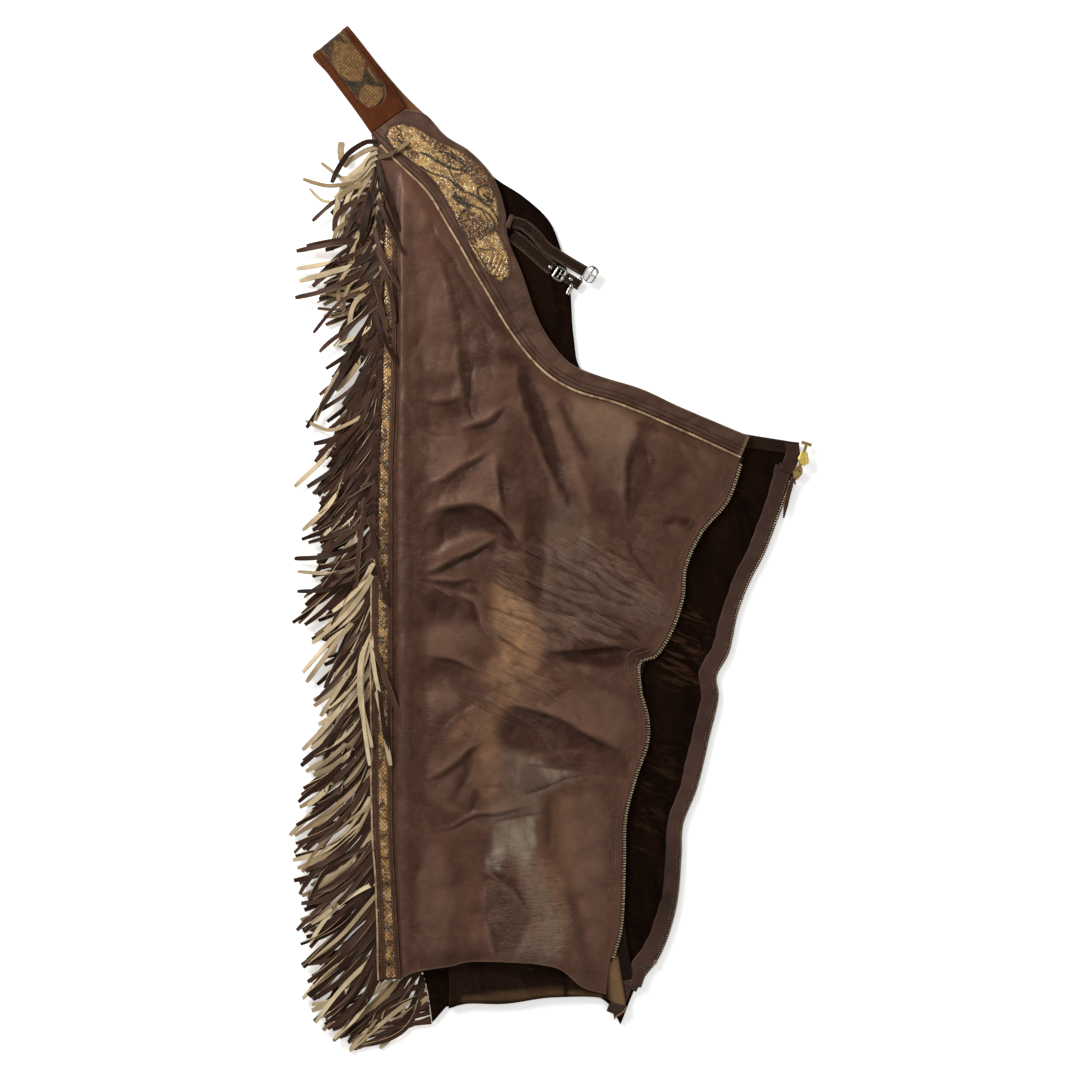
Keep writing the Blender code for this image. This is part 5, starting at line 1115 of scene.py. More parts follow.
top_side, low_side = curve(YOKE_PYTHON_TOP, 410), curve(YOKE_PYTHON_LOW, 410)
patch_plan = spanned(low_side, top_side, 0.5 - 0.5 * np.cos(np.linspace(0, pi, 84)))
from_edge = outline_inside(patch_plan, np.vstack([top_side, low_side[::-1]]))
rib_axis = (patch_plan - charted(RIB_FROM)) @ (cos(RIB_TURN), sin(RIB_TURN))
rib_share = soft_step((RIBS_BELOW - patch_plan[..., 1]) / 14.0 + 0.5) * soft_step((from_edge - 2.0) / 3.0)
ribs = np.sin(rib_axis * 2 * pi / RIB_APART + 0.9 * waves(patch_plan, 18, 41)) * rib_share
patch_base = yoke_level(patch_plan)
patch_lift = 0.15 + 0.65 * soft_step(from_edge / 1.6) + 0.12 * waves(patch_plan, 8, 42) + 0.45 * ribs
marks = soft_step(paint(patch_plan, PYTHON_MARKS, "dark") * 2.6 - 0.8)
yoke_python = python_skin("gold python of the yoke", chip(232, 180, 104), chip(96, 58, 28), chip(18, 12, 9),
                          cell=2.3, glint_share=0.45, stain=0.6, beaded=0.3)
patch = laid("yoke_python_patch", patch_plan, patch_base + patch_lift, patch_base + 0.05, yoke_python,
             "gold_python", ("yoke_python",), dark=np.maximum(marks, 0.95 * soft_step(-ribs * 3.4 - 2.1)),
             brown=np.maximum(paint(patch_plan, PYTHON_MARKS, "brown"), 0.35 * soft_step(1 - from_edge / 2)))

# ---------------------------------------------------------------- Upper zip
# The outside half of the leg zip: a woven tape under the panel's edge with bronze-dark brass teeth
# clamped on its rim.
TEETH_APART = 2.9
TAPE_OUT = 2.6


def studs(name, spots, runs, form, finish):
    """One small form repeated: its points, given along, across and up in mm, are turned to each spot's
    level run."""
    runs = runs / np.linalg.norm(runs, axis=1)[:, None]
    across = np.cross((0, 0, 1.0), runs)
    across /= np.linalg.norm(across, axis=1)[:, None]
    turned = np.stack([runs, across, np.cross(runs, across)], axis=1)
    form, faces = form
    points = spots[:, None] + np.einsum("pk,nkj->npj", form, turned)
    every = faces[None] + np.arange(len(spots))[:, None, None] * len(form)
    return solid(name, points.reshape(-1, 3), every.reshape(-1, faces.shape[1]), finish, smooth=0)


def rings(sections):
    """A stud's points and faces from its cross sections, each a place along and the half width, low and
    high there."""
    points = [(a, s * w, z) for a, w, low, high in sections
              for s, z in ((-1, low), (1, low), (1, high), (-1, high))]
    faces = [(3, 2, 1, 0)]
    for k in range(0, 4 * len(sections) - 4, 4):
        faces += [(k + j, k + (j + 1) % 4, k + 4 + (j + 1) % 4, k + 4 + j) for j in range(4)]
    end = 4 * len(sections) - 4
    return np.array(points), np.array(faces + [(end, end + 1, end + 2, end + 3)])


def evenly(line, apart, start=0.0, finish=1.0):
    """Points of a line a given distance apart, and the way that it runs there."""
    length = length_of(line)
    shares = np.linspace(start, finish, max(2, int(length * (finish - start) / apart)))
    after, before = (along(line, np.clip(shares + step / length, 0, 1)) for step in (0.5, -0.5))
    return along(line, shares), after - before


def teeth(name, line, ends, reach, level, form):
    """A row of zip teeth beside a line, between two shares of its length, each lying across it."""
    spots, _ = evenly(line, TEETH_APART, *ends)
    outward = side_of(line)[np.linspace(0, len(line) - 1, len(spots)).astype(int)]
    spots = np.column_stack([spots + outward * reach, np.full(len(spots), level)])
    return studs(name, spots, np.column_stack([outward, np.zeros(len(outward))]), form, bronze)


def metal(name, colour, dusk, rough, worn):
    """Cast metal: brighter and tarnished in patches of noise, finely scratched."""
    f = Finish(name, Metallic=1.0)
    tone = f.blend(f.ramp(f.noise(350, 4), 0.5 - worn / 3, 0.5 + worn / 3), dusk, colour)
    return f.given(Base_Color=tone, Roughness=f.stretch(f.noise(800, 3), rough - 0.08, rough + 0.16),
                   Normal=f.bump(f.noise(1500, 2), 0.00006))


def woven(name, colour, dusk, sheen=0.3):
    """Tightly woven tape: two crossed sets of threads under a matt cotton sheen."""
    f = Finish(name, Roughness=0.9, Sheen_Weight=sheen, Specular_IOR_Level=0.1)
    inputs = {"Vector": f.place(), "Scale": 320.0, "Distortion": 0.4}
    warp, weft = (f.node("TexWave", inputs, bands_direction=way).outputs["Fac"] for way in "XY")
    threads = f.times(warp, weft)
    return f.given(Base_Color=f.blend(threads, dusk, colour), Normal=f.bump(threads, 0.0002))


def tape(name, line, inner, outer, under, finish, node_name):
    """A zip tape: a thin band from inner to outer, measured to the line's right, corded along its outer
    rim."""
    fine = along(line, np.linspace(0, 1, 260))
    reach = np.concatenate([np.linspace(inner, outer - 1.6, 6), outer - 1.2 + 0.6 * np.arange(3)])
    top = under + TAPE + 0.25 * bell(reach, outer - 0.8, 0.5)
    piece = laid(name, widened(fine, reach), top, under, finish, "zip_tape", (node_name,))


zip_line = curve(UPPER_ZIP_EDGE, 400, 0.055, 1)
dark_tape = woven("brown zip tape", chip(70, 50, 42), chip(34, 24, 20))
tape("upper_zip_tape", zip_line, -14.0, TAPE_OUT, TAPE_HIGH, dark_tape, "upper_front_zip_tape")
bronze = metal("bronze of the zip teeth", chip(206, 184, 150), chip(86, 68, 50), rough=0.32, worn=0.7)
tooth = rings(((-2.1, 0.7, -0.2, 0.9), (-0.6, 0.88, -0.35, 1.35), (0.9, 0.88, -0.35, 1.35),
               (2.1, 0.55, -0.1, 0.8)))
teeth("upper_zip_teeth", zip_line, (0.01, 0.985), 2.2, TAPE_HIGH + TAPE, tooth)

# ---------------------------------------------------------------- Back panels
# The two backs of the legs lie between the fronts, flesh side out where they show: the upper one
# comes out below the hem with raw cut edges. Each carries the other half of its zip.
UPPER_BACK_SEAM = (
    (-115, -535), (-117, -490), (-158, -430), (-190, -350), (-198, -197), (-199, -41), (-196, 164),
    (-196, 370)
)
UPPER_BACK_HEM = ((-115, -535), (-96, -530), (-54, -530), (0, -523), (63, -527), (68, -541), (80, -531))
UPPER_BACK_ZIP_EDGE = ((80, -531), (69, -458), (60, -380), (70, -280), (82, -190), (110, -100), (132, -45))
LOWER_BACK_SEAM = ((-90, -500), (-135, -430), (-172, -300), (-180, -100), (-180, 100), (-180, 330))
LOWER_BACK_HEM = ((-90, -500), (-20, -498), (48, -500))
LOWER_BACK_ZIP_EDGE = ((48, -500), (48, -380), (62, -260), (92, -140), (122, -60))
BACK_HIGH, INNER_LOW = 5.8, 4.2
FREE_BELOW = -470.0
# Creases of the part that comes out below the hem, and its tan: paler flesh, which along the lit lower edge
# and at the turned corner is also painted light
BACK_CREASES = (
    ("fold", 4, 0.5, ((463, 1003), (475, 992), (491, 984))),
    ("swell", 2, -0.5, ((566, 972), (566, 985), (566, 1000))),
)
BACK_TAN_AND_LIGHT = (
    ("tan", 5, 0.35, ((465, 1002), (500, 998), (560, 994))),
    ("tan", 10, 0.9, ((612, 965), (616, 985), (620, 1003))),
    ("tan", 3, 0.4, ((570, 995), (600, 998))),
)


def back_plan(seam, hem, zip_edge, count, rows):
    """Plan of a back panel from its hem to its slanted top edge."""
    columns = np.linspace(0, 1, count)
    left, right = curve(seam, rows), curve(zip_edge, rows)
    return coons(curve(hem, count), left[-1] + (right[-1] - left[-1]) * columns[:, None], left, right,
                 columns)


def suede(name, colour, pale, dusk):
    """The napped flesh side of a hide, brushed into darker and paler streaks, with its grain side on the
    other face. Where the mesh asks for it, paler streaks are a painted highlight on the crests of its
    wrinkles."""
    f = Finish(name, Specular_IOR_Level=0.04)
    brushed = f.noise(22, 6, 0.65, f.place((1.6, 0.5), 0.25), 0.8)
    tone = f.blend(f.ramp(brushed, 0.35, 0.62), dusk, colour)
    streak = f.noise(60, 5, 0.7, f.place((0.35, 1.8), -0.4), 1.2)
    tone = f.blend(f.ramp(streak, 0.6, 0.72, 0.0, 0.4), tone, pale)
    # Painted highlight: paler streaks on the crests of the wrinkles where the mesh marks them.
    tone = f.blend(f.times(f.painted("stroked"), f.ramp(streak, 0.5, 0.64, 0.0, 0.9)), tone, pale)
    tone = f.blend(f.ramp(f.noise(900, 2), 0.66, 0.74, 0.0, 0.5), tone, pale)
    tone = f.blend(f.times(f.painted("tan"), f.plus(brushed, 0.5), True), tone, chip(128, 98, 68))
    side, nap = f.painted("grain_side"), f.bump(f.noise(500, 5, 0.7), 0.0007)
    swept = f.noise(45, 5, 0.6, f.place((0.5, 1.5), -0.4))
    return f.given(Base_Color=f.blend(side, tone, chip(88, 62, 52)), Roughness=f.stretch(side, 0.95, 0.5),
                   Normal=f.bump(swept, 0.003, nap))


back = back_plan(UPPER_BACK_SEAM, UPPER_BACK_HEM, UPPER_BACK_ZIP_EDGE, 90, 150)
lift = np.clip(0.5 + 0.4 * waves(back, 60, 51) + pressed(back, BACK_CREASES), 0, 1.2)
lift *= soft_step((FREE_BELOW - back[..., 1]) / 20)
back_flesh = suede("flesh of the upper back", chip(46, 29, 20), chip(96, 70, 48), chip(26, 15, 10))
# The tan below the hem is paler flesh and painted light on its lit lower edge and turned corner.
upper_back = laid("upper_back_panel_hide", back, BACK_HIGH + LEATHER + lift, BACK_HIGH + lift, back_flesh,
                  "suede", ("upper_back_panel",), grain_side=(0.0, 1.0), tan=paint(back, BACK_TAN_AND_LIGHT, "tan"))
inner_tape = woven("dark inner tape", chip(44, 28, 20), chip(22, 13, 9), sheen=0.0)
tape("upper_back_zip_tape_band", back[8:, -1], 0.3, 12.0, BACK_HIGH + 0.6, inner_tape, "upper_back_zip_tape")

low_back = back_plan(LOWER_BACK_SEAM, LOWER_BACK_HEM, LOWER_BACK_ZIP_EDGE, 40, 80)
lower_back = laid("lower_back_panel_hide", low_back, INNER_LOW + LEATHER, INNER_LOW, back_flesh, "suede",
                  ("lower_back_panel",))
tape("lower_back_zip_tape_band", low_back[6:, -1], 0.3, 12.0, INNER_LOW + 0.3, dark_tape,
     "lower_back_zip_tape")

# ---------------------------------------------------------------- Lower front panel
# The other leg's front lies underneath with its dark suede flesh side up; its grain side, its strip
# and its yoke face the table.
LOWER_SEAM = (
    (-133, -551), (-139, -514), (-160, -440), (-175, -300), (-180, -100), (-180, 100), (-180, 330),
    (-188, 434)
)
LOWER_STRIP_EDGE = (
    (-118, -534), (-116, -508), (-136, -434), (-151, -298), (-156, -100), (-156, 100), (-156, 310),
    (-157, 400)
)
LOWER_HEM = ((-118, -534), (-90, -526), (-20, -519), (40, -520), (60, -530), (74, -553))
LOWER_ZIP_EDGE = (
    (74, -553), (94, -507), (116, -477), (134, -425), (140, -369), (142, -336), (158, -295), (172, -240),
    (183, -193), (181, -172), (195, -145), (206, -99), (221, -62), (236, -34), (252, 6), (265, 40),
    (272, 66)
)
LOWER_YOKE_LOW = ((-157, 400), (-110, 345), (-60, 262), (-8, 178), (40, 142), (120, 112), (272, 66))
LOWER_FRONT_EDGE = (
    (-147, 475), (-110, 436), (-63, 398), (-34, 379), (-4, 350), (9, 319), (19, 280), (24, 215), (32, 177),
    (62, 158), (130, 132), (190, 109), (276, 93)
)
LOWER_PYTHON_TOP = ((-160, 440), (-120, 420), (-72, 385), (-30, 352), (-8, 310), (2, 265), (-4, 234))
LOWER_PYTHON_LOW = ((-158, 432), (-104, 362), (-62, 295), (-34, 245), (-12, 230))
FRONT_LOW, TRIM_LOW, FACING_LOW = 2.6, 1.1, 5.1
# The pixels of the suede that lies open beside the upper leg, its creases and the streaks of its painted
# highlight
OPEN_SUEDE = (
    (650, 664), (690, 600), (720, 540), (745, 480), (772, 470), (745, 540), (715, 620), (697, 700),
    (672, 810), (650, 900), (630, 940), (626, 860), (640, 770), (652, 730)
)
SUEDE_CREASES = (
    ("fold", 5, 0.9, ((622, 853), (634, 857), (647, 861))),
    ("fold", 4, 0.9, ((622, 846), (633, 849), (642, 853))),
    ("fold", 8, 1.0, ((672, 640), (684, 655), (702, 672))),
    ("fold", 7, 1.0, ((650, 690), (668, 720), (676, 748))),
    ("fold", 7, 1.0, ((724, 520), (735, 545), (740, 575))),
    ("fold", 7, 0.9, ((690, 580), (704, 606), (712, 632))),
    ("fold", 6, 0.9, ((640, 790), (655, 800), (668, 806))),
    ("fold", 6, 0.8, ((630, 900), (642, 912), (650, 926))),
)
SUEDE_HIGHLIGHTS = (
    ("stroked", 1.0, 8, ((655, 640), (680, 612), (708, 618), (704, 660), (698, 696), (672, 690),
        (652, 668))),
    ("stroked", 0.4, 12, ((640, 780), (668, 740), (672, 800), (650, 860), (636, 840))),
)


def lower_height(plan):
    """Underside of the lower front panel in mm; it swells only where nothing lies on it."""
    swell = np.clip(0.8 + 0.7 * waves(plan, 45, 61) + pressed(plan, SUEDE_CREASES), 0, 2.6)
    return FRONT_LOW + soft_step(outline_inside(plan, charted(OPEN_SUEDE)) / 8.0) * swell


lower_plan = front_plan((LOWER_SEAM, LOWER_STRIP_EDGE, LOWER_HEM, LOWER_ZIP_EDGE, LOWER_YOKE_LOW),
                        (np.linspace(0, 1, 4), np.linspace(0, 1, 92)), 190)
lower_plan = np.concatenate([lower_plan, yoke_rows(lower_plan[-1], LOWER_FRONT_EDGE, 8)])
level = lower_height(lower_plan)
dark_suede = suede("dark suede flesh", chip(27, 13, 6), chip(64, 40, 25), chip(12, 5, 3))
lower_panel = laid("lower_front_panel_hide", lower_plan, level + LEATHER, level, dark_suede, "suede",
                   ("lower_front_panel",), grain_side=(0.0, 1.0),
                   stroked=patched(lower_plan, SUEDE_HIGHLIGHTS, "stroked"))

band = spanned(curve(((-188, 434),) + LOWER_YOKE_LOW, 200), curve(LOWER_FRONT_EDGE, 200),
               np.linspace(0, 1, 10))[:-8]
lower_yoke = laid("lower_yoke_band", band, TRIM_LOW + TRIM + 0.2, TRIM_LOW, trim_leather, "band_leather",
                  ("lower_yoke",), grain_side=(0.0, 1.0))
band = strip_grid((LOWER_SEAM, LOWER_STRIP_EDGE), np.linspace(0, 1, 8), 200, 0.035, 0.93)
lower_strip = laid("lower_side_strip_band", band, TRIM_LOW + TRIM + 0.2, TRIM_LOW, trim_leather,
                   "band_leather", ("lower_side_strip",), grain_side=(0.0, 1.0))
skin = spanned(curve(LOWER_PYTHON_LOW, 120), curve(LOWER_PYTHON_TOP, 120), np.linspace(0, 1, 30))
lower_patch = laid("lower_yoke_python_patch", skin, 0.95, 0.05, yoke_python, "gold_python",
                   ("lower_yoke_python",),
                   dark=soft_step(waves(skin, 26, 71) * 2.5 - 0.8), brown=soft_step(waves(skin, 40, 72) * 2))

# ---------------------------------------------------------------- Lower zip and its facing
# Inside the lower leg a smooth leather facing covers the zip tape; fine teeth run beside it down to
# a stitched end patch at the ankle, with a stop patch and the upper back's turned corner beside it.
lower_zip = curve(LOWER_ZIP_EDGE, 500, 0.06, 1)
tape("lower_zip_tape", lower_zip, -15.0, TAPE_OUT, INNER_LOW, dark_tape, "lower_front_zip_tape")
# How broad the facing is in mm, at shares of its length from the ankle up
FACING_SHARES = (0, 0.06, 0.14, 0.22, 0.3, 0.42, 0.52, 0.62, 0.72, 0.82, 0.92, 1)
FACING_BROAD = (19, 19, 17.5, 13.5, 14.5, 17.5, 17, 18.5, 15.5, 17, 17.5, 20)
FACING_OUT = 0.3
END_PATCH_FROM, END_PATCH_TO = -20, -3

share, reach = np.linspace(0, 1, 420), np.linspace(0, 1, 14)
scallop = 0.3 * np.sin(share * 190 + 1.3 * np.sin(share * 31)) + 0.3 * np.sin(share * 71)
facing_in = (scallop - np.interp(share, FACING_SHARES, FACING_BROAD))[:, None]
facing_plan = widened(along(lower_zip, share * 0.995), facing_in + (FACING_OUT - facing_in) * reach)
rolled = 0.75 * soft_step(np.minimum(reach, 1 - reach) / 0.09)
facing_top = FACING_LOW + 0.35 + rolled + 0.3 * waves(facing_plan, 26, 81) + 0.25 * bell(reach, 0.08, 0.05)
facing_leather = hide("facing leather", chip(80, 58, 50), chip(46, 32, 26), chip(60, 42, 32), rough=0.4,
                      grain=0.6, gloss=0.1)
facing = laid("lower_zip_facing_band", facing_plan, facing_top, FACING_LOW, facing_leather, "brown_leather",
              ("lower_zip_facing",))
bead = rings(((-1.6, 0.5, -0.2, 0.6), (-0.6, 0.66, -0.3, 1.0), (0.8, 0.66, -0.3, 1.0),
              (1.7, 0.45, -0.1, 0.5)))
teeth("lower_zip_teeth", lower_zip, (0.02, 0.97), 1.6, INNER_LOW + TAPE + 0.1, bead)

reach = np.linspace(END_PATCH_FROM, END_PATCH_TO, 14)
lengthwise = soft_step(np.minimum(np.linspace(0, 10, 30), np.linspace(10, 0, 30)))[:, None]
rim = lengthwise * soft_step(np.minimum(reach - END_PATCH_FROM, END_PATCH_TO - reach) / 1.2)
end_patch = laid("lower_tape_end_cover", widened(curve(LOWER_ZIP_EDGE, 30, 0.012, 0.072), reach),
                 INNER_LOW + 0.3 + 0.8 * rim, INNER_LOW, facing_leather, "brown_leather",
                 ("lower_tape_end_patch",))


def quilt(name, corners, rows, columns, low, high, bulge, finish, slot):
    """A small flat piece between four corners read through the camera, its rim rounded over the last 1.2
    mm, its middle raised by the bulge."""
    a, b, c, d = charted(corners)
    u, v = np.linspace(0, 1, columns)[None, :], np.linspace(0, 1, rows)[:, None]
    plan = (a * (1 - u[..., None]) + b * u[..., None]) * (1 - v[..., None])
    plan = plan + (d * (1 - u[..., None]) + c * u[..., None]) * v[..., None]
    wide, long = ((np.linalg.norm(p - q) + np.linalg.norm(r - s)) / 2
                  for p, q, r, s in ((b, a, c, d), (d, a, c, b)))
    inside = np.minimum(np.minimum(u, 1 - u) * wide, np.minimum(v, 1 - v) * long)
    lift = (high - low) * (0.35 + 0.65 * soft_step(inside / 1.2)) + bulge * np.sin(pi * u) * np.sin(pi * v)
    piece = laid(name, plan, low + lift, low, finish, slot)


stop_leather = hide("stop patch leather", chip(72, 52, 43), chip(46, 33, 26), chip(60, 42, 32), rough=0.4,
                    grain=0.6, gloss=0.1)
corner_leather = hide("turned corner leather", chip(70, 56, 46), chip(46, 35, 28), chip(120, 92, 66),
                      rough=0.5, grain=0.6, gloss=0.06)
quilt("lower_zip_stop_patch", ((636.5, 964.5), (648, 970), (641.5, 989), (628, 988)), 24, 16, 6.2, 7.2, 0.3,
      stop_leather, "brown_leather")
quilt("upper_back_turned_corner", ((612.6, 1002.8), (626.6, 1007.4), (622, 1013.4), (614, 1020)), 20, 20,
      7.1, 8.0, 0.5, corner_leather, "suede")
stop_seam = along(charted(((637.6, 966), (646.6, 970.6), (640.6, 987.4), (629.4, 986.8), (637.6, 966))),
                  np.linspace(0, 1, 80))
lip = curve(charted(((614, 1020.4), (616.5, 1017.6), (620.5, 1015.2), (624.5, 1011.6), (626.8, 1007.6))), 40)
tube("upper_back_corner_lip", np.column_stack([lip, np.full(40, 8.0)]), 0.75,
     cord_leather("flesh at the turned edge", chip(150, 122, 92), chip(104, 80, 58)))
block = rings(((-2.0, 1.4, -0.4, 1.2), (-1.2, 2.0, -0.4, 2.0), (1.2, 2.0, -0.4, 2.0), (2.0, 1.4, -0.4, 1.2)))
stop_spot = np.array([[*charted((655.6, 963.6)), INNER_LOW + TAPE + 0.3]])
stop_gold = metal("worn gold of the stops", chip(206, 176, 134), chip(134, 104, 74), rough=0.3, worn=0.5)
studs("lower_zip_brass_stop", stop_spot, np.array([[0.86, -0.5, 0.0]]), block, stop_gold)

# ---------------------------------------------------------------- Fringes
# Long thongs of garment hide cut from one strip and sewn into each outer seam, brown grain on one
# face and pale flesh on the other; they lie tumbled, twisted and swept down from the seam.
# Columns: root in pixels down the square, sweep across and down, scatter of the sweep, share of pale
# ones, twist
FRINGE_LAY = (
    (150, -26, 66, 8, 0.3, 0.9),
    (190, -28, 66, 9, 0.3, 0.9),
    (225, -42, 48, 12, 0.25, 0.9),
    (262, -58, 32, 16, 0.2, 0.8),
    (300, -40, 66, 18, 0.04, 0.7),
    (380, -42, 76, 16, 0.03, 0.6),
    (440, -52, 68, 16, 0.05, 0.6),
    (500, -60, 46, 18, 0.08, 0.8),
    (560, -52, 62, 20, 0.14, 0.9),
    (620, -44, 74, 16, 0.34, 0.9),
    (700, -56, 62, 12, 0.36, 0.9),
    (780, -64, 58, 9, 0.3, 0.8),
    (860, -68, 60, 7, 0.3, 0.8),
    (920, -66, 64, 7, 0.32, 0.8),
    (985, -52, 64, 9, 0.4, 0.8),
)
